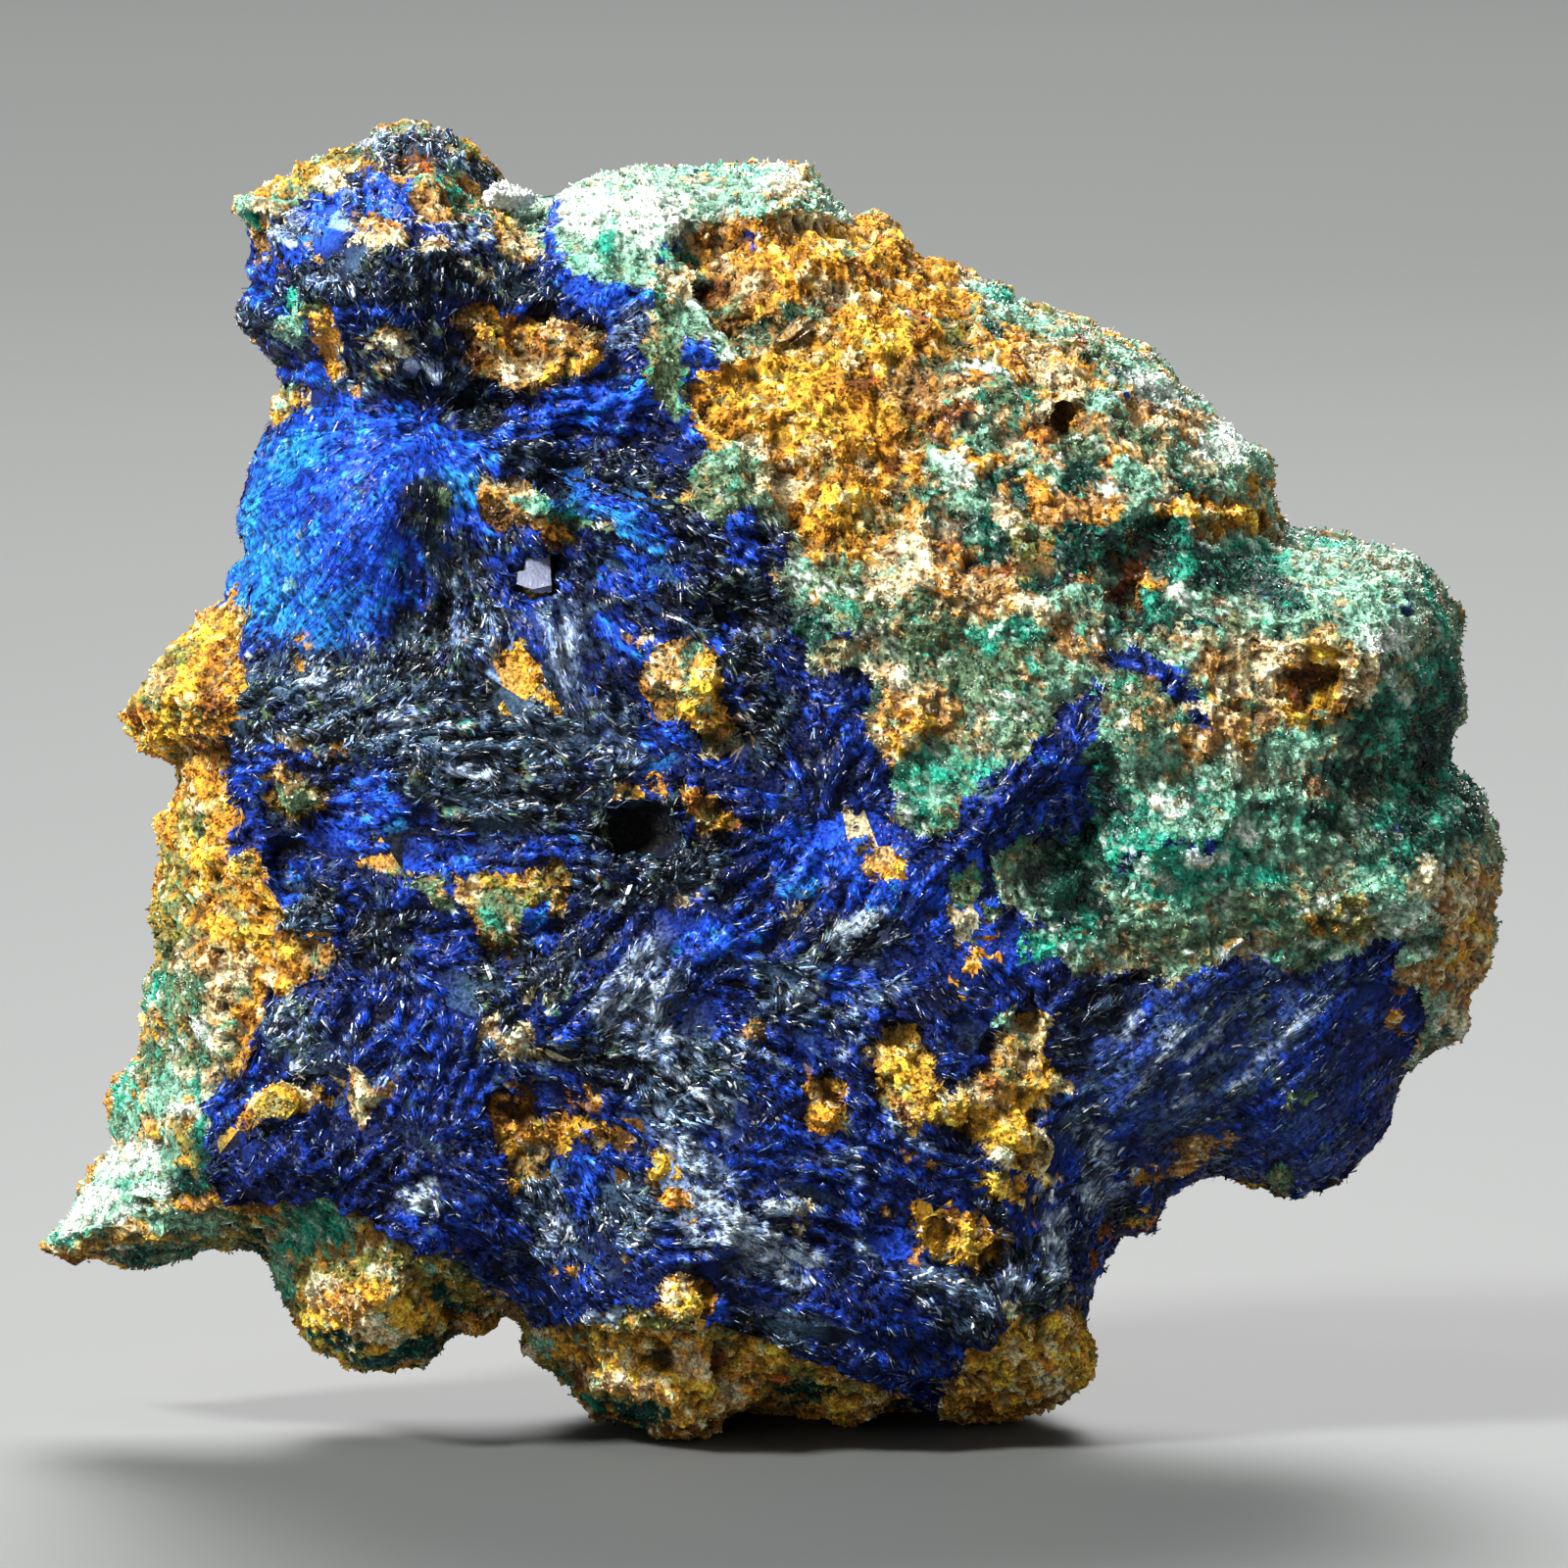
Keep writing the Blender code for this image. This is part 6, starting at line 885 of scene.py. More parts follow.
        (17.4, 34.2, 2.2, 2.2, 15), (36.4, 35.6, 1.4, 0.8), (30.0, 38.6, 1.6, 0.5, 10),
    )),
    ("teal", 0.8, (
        (37.8, 41.4, 1.0, 2.0), (41.2, 39.6, 0.6, 1.6), (25.0, 33.6, 1.8, 1.0), (39.6, 47.0, 1.0, 0.8),
        (29.4, 34.4, 1.6, 0.8),
    )),
)

# Where the linarite fibres lie one way: (u, v, reach, angle in degrees, strength)
LANES = (
    (-17.5, 44.0, 12.0, 2, 1.0),
    (-12.3, 48.0, 3.6, 88, 2.0),
    (-17.8, 73.5, 2.6, -36, 3.0),
    (28.9, 22.1, 12.0, 38, 1.5),
    (-28.5, 18.5, 9.0, 42, 1.2),
    (-22.0, 24.0, 6.0, 70, 1.0),
    (-8.0, 28.5, 4.5, 58, 2.0),
    (-1.6, 19.1, 12.0, -28, 1.2),
    (-1.9, 12.8, 5.0, 20, 1.0),
    (15.0, 41.0, 7.0, 50, 3.0),
    (5.0, 34.0, 6.0, 52, 1.2),
    (12.0, 28.0, 6.0, -40, 1.0),
    (-20.0, 10.5, 8.0, -32, 1.0),
    (-12.0, 15.0, 4.0, 84, 1.0),
    (7.0, 6.0, 8.0, -30, 1.0),
    (17.0, 12.0, 5.0, 70, 1.0),
    (-6.0, 56.0, 8.0, -25, 0.8),
    (-22.0, 70.0, 9.0, 75, 0.8),
    (-27.0, 36.5, 6.0, 10, 1.0),
)
# Where they spread from a centre: (u, v, reach, strength)
SPRAYS = (
    (-20.3, 62.0, 13.0, 4.0),
    (-23.7, 30.6, 5.0, 2.0),
    (-26.0, 24.0, 4.0, 1.2),
    (3.5, 38.0, 5.0, 1.0),
    (-3.0, 16.0, 5.0, 0.8),
    (15.5, 24.0, 5.0, 0.8),
)
# Where the fibres keep strictly to their lane instead of growing in small fans
ORDERED = ((-26.0, 56.5, 7.6, 7.4), (-12.3, 48.0, 3.0, 4.0), (28.0, 22.5, 11.0, 6.0))

# The forms of the relief: (size in millimetres, seed)
RELIEF_CELLS = {"druse": (1.3, 71), "grit": (0.75, 72), "lumps": (2.4, 73)}
RELIEF_NOISE = {"broad": (2.6, 74), "middle": (1.1, 75), "sharp": (0.55, 76)}
# How high each form stands in each kind of relief, in millimetres
SILKY_LINES = 0.08
RELIEF = {
    "silky": (("sheaves", 0.26), ("broad", 0.44), ("middle", 0.22)),
    "crumbly": (
        ("fine", 0.1), ("sheaves", 0.26), ("broad", 0.46), ("middle", 0.36), ("druse", 0.3), ("grit", 0.2),
    ),
    "drusy": (("druse", 0.24), ("grit", 0.18), ("broad", 0.42), ("middle", 0.26), ("sharp", 0.12)),
    "rocky": (
        ("lumps", 0.2), ("druse", 0.15), ("grit", 0.2), ("broad", 0.5), ("middle", 0.42), ("sharp", 0.3),
    ),
}

# Small lumps and pits finer than the solids': (u, v, half length, half width, turn, height)
FINE_FORMS = (
    (-26.9, 73.5, 1.0, 1.6, -15, -0.8),
    (-22.1, 78.0, 1.4, 0.9, -10, -0.6),
    (-20.1, 72.7, 1.2, 1.1, 0, 0.7),
    (-23.4, 73.3, 1.8, 1.2, 0, 0.7),
    (-18.5, 71.2, 0.6, 0.6, 0, 0.7),
    (-17.6, 70.8, 0.6, 0.6, 0, 0.6),
    (-27.0, 66.5, 0.9, 1.6, 0, -0.8),
    (-14.0, 54.4, 2.4, 1.4, 0, 0.8),
    (-15.4, 46.2, 1.2, 2.0, 0, -0.7),
    (-4.2, 46.4, 1.2, 2.2, -25, 0.7),
    (-2.0, 47.8, 0.5, 2.2, -25, 0.6),
    (-7.6, 37.4, 2.6, 1.7, 0, -2.2),
    (14.3, 18.9, 2.4, 1.8, 0, 1.1),
    (-4.8, 39.6, 0.9, 1.2, 0, 0.8),
    (-28.9, 35.2, 2.2, 1.1, -12, 0.6),
    (-23.7, 30.6, 1.8, 1.6, 0, 0.8),
    (-28.8, 39.3, 1.4, 1.2, 0, 0.6),
    (-13.9, 25.0, 0.5, 0.5, 0, 0.5),
    (-1.2, 25.3, 0.8, 1.0, 0, 0.7),
    (-15.8, 24.5, 1.2, 1.1, 0, 0.6),
    (-27.5, 29.4, 1.1, 0.8, 0, 0.7),
    (-24.6, 21.3, 1.1, 1.4, 0, 0.6),
    (-29.4, 20.4, 3.2, 1.8, 6, 1.5),
    (-15.5, 20.1, 1.3, 0.9, -30, -0.9),
    (13.0, 13.9, 1.8, 0.5, -32, -0.9),
    (13.8, 15.6, 1.5, 0.8, -35, 0.7),
    (13.1, 8.7, 0.4, 0.9, -10, 0.6),
    (1.7, 13.7, 0.5, 1.1, 0, 0.6),
    (-5.2, 8.7, 1.4, 1.3, 0, 0.7),
    (18.6, 35.4, 3.0, 3.8, 0, 2.0),
    (17.4, 33.6, 1.2, 1.0, 0, 0.8),
    (19.2, 37.4, 0.9, 1.3, 30, -0.8),
    (21.8, 52.8, 2.2, 2.0, 0, 0.6),
    (22.7, 51.5, 0.9, 0.9, 0, 1.0),
    (20.9, 53.2, 0.7, 0.9, 20, -0.8),
    (11.2, 54.4, 1.4, 1.0, -15, 0.6),
    (14.3, 61.0, 0.8, 0.6, 0, -0.5),
    (11.4, 62.3, 0.7, 0.6, 0, 0.6),
    (17.8, 62.2, 0.6, 1.2, 0, -1.3),
    (22.3, 62.6, 0.45, 1.0, 32, -1.7),
    (26.7, 61.4, 0.5, 0.35, 0, -0.9),
    (32.6, 46.2, 2.0, 2.2, 0, 0.2),
    (33.4, 45.4, 0.9, 0.8, 20, 0.8),
    (31.4, 47.4, 0.8, 0.6, 0, 0.7),
    (40.9, 39.6, 1.1, 0.6, 0, -1.2),
    (40.4, 31.9, 0.7, 0.5, 0, -1.0),
    (39.4, 29.8, 1.5, 0.7, 5, 1.0),
    (22.3, 28.5, 2.2, 0.4, 15, -1.2),
    (-4.1, 73.9, 0.9, 1.0, 0, 0.6),
    (-1.6, 73.3, 0.9, 0.8, 0, 0.4),
    (-4.3, 70.1, 0.6, 0.6, 0, -0.8),
    (-19.4, 7.5, 0.7, 0.6, 0, -0.8),
    (-7.0, 5.2, 1.4, 0.6, 0, -1.0),
    (-3.1, 4.8, 0.7, 1.5, 0, -0.9),
    (2.4, 7.0, 3.0, 1.2, -10, -1.1),
)


# ---------------------------------------------------------------- places and noise


def to_face(points):
    """From the frame's metres to face coordinates in millimetres."""
    x, y, z = (np.asarray(points, float) / MM).T
    y = y + DEPTH_CENTRE
    z = z + FLOOR_CUT - FLOOR_AT_DEPTH * math.sin(LEAN)
    v = y * math.sin(LEAN) + z * math.cos(LEAN)
    w = y * math.cos(LEAN) - z * math.sin(LEAN)
    return np.stack([x, v, w], axis=1)


def to_frame(points):
    """From face coordinates in millimetres to the frame's metres, kept inside the solids' box."""
    u, v, w = np.asarray(points, float).T
    y = v * math.sin(LEAN) + w * math.cos(LEAN) - DEPTH_CENTRE
    z = v * math.cos(LEAN) - (w - FLOOR_AT_DEPTH) * math.sin(LEAN) - FLOOR_CUT
    return np.clip(np.stack([u, y, z], axis=1) * MM, *CAD_BOX)


def table_of_directions(rng, count=256):
    found = rng.normal(size=(count, 3))
    return found / np.linalg.norm(found, axis=1, keepdims=True)


HASH_RNG = np.random.default_rng(SEED)
ORDER = HASH_RNG.permutation(256)
GRADIENTS = table_of_directions(HASH_RNG)
JITTER = HASH_RNG.random((256, 3))


def hashed(i, j, k, seed):
    """A number from 0 to 255 for each cell of a cubic grid."""
    return ORDER[(ORDER[(ORDER[(i + 37 * seed) & 255] + j) & 255] + k) & 255]


def noise(points, size, seed=0):
    """Smooth noise from about -1 to 1, with bumps of one size in millimetres."""
    place = points / size
    low = np.floor(place).astype(np.int64)
    part = place - low
    ease = part * part * (3.0 - 2.0 * part)
    total = np.zeros(len(points))
    for corner in np.ndindex(2, 2, 2):
        step = np.array(corner)
        gradient = GRADIENTS[hashed(*(low + step).T, seed)]
        share = np.prod(np.where(step == 1, ease, 1.0 - ease), axis=1)
        total += share * np.einsum("ij,ij->i", gradient, part - step)
    return 1.6 * total


def cells(points, size, seed=0):
    """The cell round each point: (depth in it from 0 at its edge to 1, random number, centre)."""
    place = points / size
    low = np.floor(place).astype(np.int64)
    best = np.full(len(points), np.inf)
    second = np.full(len(points), np.inf)
    which = np.zeros(len(points), np.int64)
    centre = np.zeros_like(place)
    for step in np.ndindex(3, 3, 3):
        cell = low + np.array(step) - 1
        number = hashed(*cell.T, seed)
        spot = cell + JITTER[number]
        distance = np.linalg.norm(spot - place, axis=1)
        nearer = distance < best
        second = np.where(nearer, best, np.minimum(second, distance))
        best = np.where(nearer, distance, best)
        which = np.where(nearer, number, which)
        centre = np.where(nearer[:, None], spot, centre)
    return np.clip(1.6 * (second - best), 0.0, 1.0), which / 255.0, centre * size


def smoothstep(value):
    value = np.clip(value, 0.0, 1.0)
    return value * value * (3.0 - 2.0 * value)


def reach(points, u0, v0, length, width, turn=0):
    """How far each point lies from a spot's middle: 1 at its edge."""
    angle = math.radians(turn)
    du, dv = points[:, 0] - u0, points[:, 1] - v0
    along = du * math.cos(angle) + dv * math.sin(angle)
    across = dv * math.cos(angle) - du * math.sin(angle)
    return np.hypot(along / length, across / width)


def wandered(points, layers, seed):
    """The points shifted by noise, so that edges drawn through them become ragged."""
    shifted = points.copy()
    for size, amount in layers:
        for axis in range(3):
            shifted[:, axis] += amount * noise(points, size, seed + axis)
    return shifted


# ---------------------------------------------------------------- meshes as arrays


def welded(points, faces):
    """The mesh with the corners that share a place joined."""
    _, first, index = np.unique(
        np.round(points, 3), axis=0, return_index=True, return_inverse=True
    )
    return points[first], index.reshape(-1)[faces]


def mesh_arrays(mesh):
    """A Blender mesh as points and triangles."""
    mesh.calc_loop_triangles()
    points = np.empty(len(mesh.vertices) * 3, np.float32)
    mesh.vertices.foreach_get("co", points)
    faces = np.empty(len(mesh.loop_triangles) * 3, np.int32)
    mesh.loop_triangles.foreach_get("vertices", faces)
    return points.reshape(-1, 3).astype(float), faces.reshape(-1, 3).astype(np.int64)


def new_mesh(name, points, faces):
    mesh = bpy.data.meshes.new(name)
    mesh.vertices.add(len(points))
    mesh.vertices.foreach_set("co", np.asarray(points, np.float32).ravel())
    mesh.loops.add(3 * len(faces))
    mesh.loops.foreach_set("vertex_index", np.asarray(faces, np.int32).ravel())
    mesh.polygons.add(len(faces))
    mesh.polygons.foreach_set("loop_start", np.arange(0, 3 * len(faces), 3, dtype=np.int32))
    mesh.update(calc_edges=True)
    return mesh


def modified(points, faces, kind, group=None, **settings):
    """The mesh after one modifier, as points and triangles."""
    mesh = new_mesh("working", points, faces)
    obj = bpy.data.objects.new("working", mesh)
    bpy.context.scene.collection.objects.link(obj)
    modifier = obj.modifiers.new("working", kind)
    for key, value in settings.items():
        setattr(modifier, key, value)
    if group is not None:
        weights = obj.vertex_groups.new(name="working")
        weights.add(np.flatnonzero(group).tolist(), 1.0, "REPLACE")
        modifier.vertex_group = "working"
    evaluated = obj.evaluated_get(bpy.context.evaluated_depsgraph_get())
    found = mesh_arrays(evaluated.to_mesh())
    evaluated.to_mesh_clear()
    bpy.data.objects.remove(obj)
    bpy.data.meshes.remove(mesh)
    return found


def summed(index, values, count):
    """The sum of the rows of values that share an index."""
    return np.stack([np.bincount(index, column, count) for column in values.T], axis=1)


def face_vectors(points, faces):
    """Outward vectors of the triangles, as long as twice their area."""
    a, b, c = (points[faces[:, i]] for i in range(3))
    # Face coordinates are left-handed, so this product is taken the other way round.
    return np.cross(c - a, b - a)


def point_normals(points, faces):
    vectors = face_vectors(points, faces)
    total = sum(summed(faces[:, i], vectors, len(points)) for i in range(3))
    return total / np.maximum(np.linalg.norm(total, axis=1, keepdims=True), 1e-12)


def edges_of(faces):
    """Each edge once, as its lower and its higher point."""
    pairs = np.concatenate([faces[:, [0, 1]], faces[:, [1, 2]], faces[:, [2, 0]]])
    return np.unique(np.sort(pairs, axis=1), axis=0)


def smoothed(values, edges, passes):
    """Values at the points, evened out along the edges."""
    values = np.array(values, float)
    flat = values.ndim == 1
    if flat:
        values = values[:, None]
    ends = np.concatenate([edges[:, 0], edges[:, 1]])
    others = np.concatenate([edges[:, 1], edges[:, 0]])
    count = np.maximum(np.bincount(ends, minlength=len(values)), 1)[:, None]
    for _ in range(passes):
        values = 0.5 * values + 0.5 * summed(ends, values[others], len(values)) / count
    return values[:, 0] if flat else values


def largest_body(points, faces):
    """The mesh without any smaller bodies beside its largest one."""
    edges = edges_of(faces)
    label = np.arange(len(points))
    while True:
        before = label
        label = label.copy()
        lowest = np.minimum(label[edges[:, 0]], label[edges[:, 1]])
        np.minimum.at(label, edges[:, 0], lowest)
        np.minimum.at(label, edges[:, 1], lowest)
        label = label[label]
        if np.array_equal(before, label):
            break
    keep = label[faces[:, 0]] == np.bincount(label).argmax()
    return compacted(points, faces[keep])


def compacted(points, faces):
    """The mesh without the points that no triangle uses."""
    used, index = np.unique(faces, return_inverse=True)
    return points[used], index.reshape(faces.shape)


# ---------------------------------------------------------------- the skin and its regions


class Skin:
    """One closed surface over all the solids, with the node that each place belongs to."""

    def __init__(self, nodes):
        self.names = sorted(nodes)
        solids = []
        for name in self.names:
            points, faces = mesh_arrays(nodes[name].data)
            solids.append(welded(to_face(points), faces))
        self.points, self.faces = self.closed(solids)
        self.edges = edges_of(self.faces)
        self.points = smoothed(self.points, self.edges, SMOOTHING_PASSES)
        self.normals = point_normals(self.points, self.faces)
        wide = smoothed(self.normals, self.edges, NORMAL_PASSES)
        wide /= np.linalg.norm(wide, axis=1, keepdims=True)
        # In a fold the close normals cross, so points moved along them would stick out.
        folded = np.sum(wide * self.normals, axis=1) < FOLDED
        self.outward = np.where(folded[:, None], wide, self.normals)
        self.owner = self.owners(solids)

    @staticmethod
    def closed(solids):
        """The solids swollen until they meet, joined in one skin, and shrunk again."""
        points, faces, count = [], [], 0
        for solid_points, solid_faces in solids:
            outward = point_normals(solid_points, solid_faces)
            points.append(solid_points + CLOSING * outward)
            faces.append(solid_faces + count)
            count += len(solid_points)
        points, faces = modified(
            np.concatenate(points), np.concatenate(faces), "REMESH", mode="VOXEL", voxel_size=VOXEL
        )
        # The remesher winds its faces for right-handed coordinates, and face coordinates aren't.
        points, faces = largest_body(points, faces[:, ::-1])
        return points - CLOSING * point_normals(points, faces), faces

    def owners(self, solids):
        """The number of the node nearest to each point, with ragged borders."""
        points = np.concatenate([solid[0] for solid in solids])
        starts = np.cumsum([0] + [len(solid[0]) for solid in solids])
        faces = np.concatenate([solid[1] + start for solid, start in zip(solids, starts)])
        node_of_face = np.repeat(np.arange(len(solids)), [len(solid[1]) for solid in solids])
        tree = BVHTree.FromPolygons(points.tolist(), faces.tolist())
        places = wandered(self.points, SEAM_WANDER, 3)
        places += self.normals * np.sum((self.points - places) * self.normals, axis=1)[:, None]
        found = [tree.find_nearest(place)[2] for place in places.tolist()]
        owner = node_of_face[found]
        kinds = np.eye(len(solids))[owner]
        return smoothed(kinds, self.edges, 2).argmax(axis=1)

    def is_node(self, *names):
        return np.isin(self.owner, [self.names.index(name) for name in names])


# ---------------------------------------------------------------- colours, minerals and relief


def linear(colour):
    """An 8-bit sRGB colour as linear light."""
    value = np.array(colour) / 255.0
    return np.where(value <= 0.04045, value / 12.92, ((value + 0.055) / 1.055) ** 2.4)


def shade(name):
    return linear(PALETTE[name])


TONES = np.array([shade(name) for name in PALETTE])


class Coat:
    """Every point's linear colour, palette number and painted shade, as the share of light painted into
    its colour.
    """

    def __init__(self, colours, names, light):
        self.colours = colours
        self.names = names
        self.light = light


def one_hot(mineral):
    return np.eye(3)[mineral]


def mixed(base, other, share):
    """Rows of base moved towards other by each row's share."""
    return base + (other - base) * share[:, None]


def speckled(names, random, amount, left_out=()):
    """Palette numbers where a grain may be one of the colours that its own is mixed with."""
    found = names.copy()
    for number, name in enumerate(PALETTE):
        here = np.flatnonzero(names == number)
        low = 0.0
        for other, share in MIXTURES.get(name, ()):
            high = low + share
            part = random[here] / amount[here]
            if other not in left_out:
                found[here[(part >= low) & (part < high)]] = NAMES.index(other)
            low = high
    return found


def sideways(skin):
    """From 0 on the face to 1 where the surface has turned away from it."""
    return smoothstep((smoothed(skin.normals[:, 2], skin.edges, NORMAL_PASSES) + 0.25) / 0.3)


def torn(points):
    """Noise that makes the border between the face and the back ragged."""
    return sum(amount * noise(points, size, seed) for amount, size, seed in TORN)


def layered(ground, layers, patterns):
    """Linear colours of a ground with other colours laid over it wherever a pattern is high."""
    colours = np.tile(shade(ground), (len(patterns["fine"]), 1))
    for name, strength, pattern, gain, level in layers:
        share = strength * smoothstep(gain * patterns[pattern] + level)
        colours = mixed(colours, shade(name), share)
    return colours


def base_coat(skin):
    """The colours, minerals and palette numbers before any spot is laid on."""
    points = skin.points
    patterns = {name: noise(points, *row) for name, row in BASE_PATTERNS.items()}
    for name in ("broad", "fine"):
        patterns[name] = 0.5 + 0.9 * patterns[name]
    linarite, field, slope, rock = (
        layered(*BASE_COATS[name], patterns) for name in ("linarite", "field", "slope", "rock")
    )
    colours, minerals = rock, np.tile(one_hot(GOSSAN), (len(points), 1))
    names = np.full(len(points), NAMES.index("ochre"))
    blue = ("linarite_crust", "linarite_vein_upper", "linarite_vein_middle")
    coats = (
        (linarite, LINARITE, "royal", blue),
        (slope, BROCHANTITE, "mint", ("brochantite_slope",)),
        (field, BROCHANTITE, "sage", ("brochantite_field",)),
    )
    crusts = np.stack([skin.is_node(*nodes) for _, _, _, nodes in coats], axis=1)
    # At the sides the crusts run on past the solids' rim, with a torn border.
    nearness = smoothed(crusts.astype(float), skin.edges, RIM_PASSES)
    total = nearness.sum(axis=1)
    least, level = OVERGROWN
    overgrown = (total > least) & (total + torn(points) > level) & (sideways(skin) > 0.5)
    overgrown &= ~crusts.any(axis=1)
    crusts |= (nearness == nearness.max(axis=1, keepdims=True)) & overgrown[:, None]
    for (coat, mineral, name, _), here in zip(coats, crusts.T):
        colours = np.where(here[:, None], coat, colours)
        minerals = np.where(here[:, None], one_hot(mineral), minerals)
        names[here] = NAMES.index(name)
    return colours, minerals, names


def back_coat(skin, colours, minerals):
    """The broken back: brown and ochre rock with a few green and blue stains."""
    points = skin.points
    patterns = {name: noise(points, *row) for name, row in BACK_PATTERNS.items()}
    for name in ("broad", "fine"):
        patterns[name] = 0.5 + 0.9 * patterns[name]
    patterns["ochre"] = 2.4 * patterns["ochre"] + 0.6 * noise(points, 1.6, 40)
    speck = patterns["speck"]
    turned = (smoothed(skin.normals[:, 2], skin.edges, RIM_PASSES) - 0.35) / 0.4 - 1.3 * torn(points)
    facing = smoothstep(4.0 * (turned + 0.3 * speck) + 0.5) * sideways(skin)
    rock = layered(*BACK_COATS["rock"], patterns)
    ragged = wandered(points, STAIN_WANDER, 35)
    veined = noise(ragged, 1.8, 37) + 0.5 * speck
    green = smoothstep(1.8 * noise(ragged, 9.0, 36) - 0.55 + 0.9 * veined)
    rock = mixed(rock, layered(*BACK_COATS["stain"], patterns), 0.7 * green)
    blue = smoothstep(5.0 * (2.4 * noise(ragged, 8.0, 38) - 1.6 + 0.9 * veined) - 0.5)
    rock = mixed(rock, shade("royal"), blue)
    colours = mixed(colours, rock, facing)
    kinds = mixed(np.tile(one_hot(GOSSAN), (len(points), 1)), one_hot(BROCHANTITE), green)
    kinds = mixed(kinds, one_hot(LINARITE), blue)
    return colours, mixed(minerals, kinds, facing)


def painted(skin):
    """Linear colours, each mineral's share and the palette number at every point of the skin."""
    colours, minerals, names = base_coat(skin)
    places = wandered(skin.points, SPOT_WANDER, 51)
    places = mixed(places, wandered(skin.points, SIDE_WANDER, 58), sideways(skin))
    speckle = noise(skin.points, 0.5, 55)
    front = skin.normals[:, 2] < PAINTED_UNTIL
    for name, softness, rows in SPOTS:
        for row in rows:
            place = reach(places, *row)
            near = np.flatnonzero(front & (place < 1.0 + softness))
            place = place[near]
            inside = (1.0 - place) / softness + 0.5
            share = smoothstep(inside + 0.5 * softness * speckle[near])
            foreign = minerals[near, MINERAL[name]] < 0.5
            ragged = place + RAGGED_EDGE / min(row[2:4]) * speckle[near]
            share = np.where(foreign, (ragged < 1.0).astype(float), share)
            tone = shade(name) * (SHADED.get(name, 1.0) * (1.0 + 0.25 * speckle[near]))[:, None]
            colours[near] = mixed(colours[near], tone, share)
            minerals[near] = mixed(minerals[near], one_hot(MINERAL[name]), share)
            names[near[share > 0.5]] = NAMES.index(name)
    coarse, fine = np.array(MIXTURE_AMOUNTS)[minerals.argmax(axis=1)].T
    grains = speckled(names, cells(places, *COARSE_GRAIN)[1], coarse, GLINTS)
    grains = speckled(grains, cells(places, *FINE_GRAIN)[1], fine, GLINTS)
    changed = (grains != names) & front
    colours[changed] = mixed(colours, TONES[grains], np.full(len(colours), MIXTURE_STRENGTH))[changed]
    names[~front] = NAMES.index("ochre")
    colours, minerals = back_coat(skin, colours, minerals)
    return colours, smoothed(minerals, skin.edges, 2), names


def roughness(skin, names):
    """From 0 where the linarite is smooth and silky to 1 where it is dark and crumbly."""
    rough = np.isin(names, [NAMES.index(name) for name in ROUGH_COLOURS]).astype(float)
    return smoothed(rough, skin.edges, 6) * (1.0 - 0.8 * order(skin.points))


def relief(skin, minerals, rough):
    """Fine heights in millimetres: fibrous linarite, knobbly druse and crumbly rock."""
    points = skin.points
    fine = ridge_heights(points, *FINE_RIDGES, 1)
    sheaves = ridge_heights(points, *BROAD_RIDGES, 2)
    forms = {name: cells(points, *row)[0] for name, row in RELIEF_CELLS.items()}
    forms.update((name, noise(points, *row)) for name, row in RELIEF_NOISE.items())
    forms["fine"] = fine
    forms["sheaves"] = sheaves
    calm = 1.0 - 0.7 * order(points)
    fans_only, crumbly, drusy, rocky = (
        sum(height * forms[name] for name, height in RELIEF[kind])
        for kind in ("silky", "crumbly", "drusy", "rocky")
    )
    silky = SILKY_LINES * fine + calm * fans_only
    heights = (silky + rough * (crumbly - silky), drusy, rocky)
    height = sum(minerals[:, kind] * height for kind, height in enumerate(heights))
    around = smoothed(minerals[:, LINARITE], skin.edges, RECESS_PASSES)
    height -= RECESS * minerals[:, GOSSAN] * smoothstep(2.5 * around - 0.5)
    for *row, top in FINE_FORMS:
        place = reach(points, *row)
        near = np.flatnonzero((place < 1.0) & (skin.normals[:, 2] < FORMED_UNTIL))
        height[near] += top * (1.0 - place[near] ** 2) ** 1.5
    return height - MEAN_RELIEF


# ---------------------------------------------------------------- which way the linarite grows


def flow(u, v):
    """The direction of the fibres on the face, as unit vectors (along u, along v)."""
    # Fibres have no head or tail, so doubled angles are blended and halved again.
    cosine = np.full(len(u), 1e-4)
    sine = np.full(len(u), 1e-4)
    for u0, v0, size, angle, strength in LANES:
        weight = strength * np.exp(-((u - u0) ** 2 + (v - v0) ** 2) / size**2)
        cosine += weight * math.cos(2.0 * math.radians(angle))
        sine += weight * math.sin(2.0 * math.radians(angle))
    for u0, v0, size, strength in SPRAYS:
        weight = strength * np.exp(-((u - u0) ** 2 + (v - v0) ** 2) / size**2)
        outward = 2.0 * np.arctan2(v - v0, u - u0)
        cosine += weight * np.cos(outward)
        sine += weight * np.sin(outward)
    angle = 0.5 * np.arctan2(sine, cosine)
    return np.cos(angle), np.sin(angle)


def order(points):
    """From 0, where fibres grow in small fans, to 1 where they keep to their lane."""
    return np.max([smoothstep(1.6 - reach(points, *row)) for row in ORDERED], axis=0)


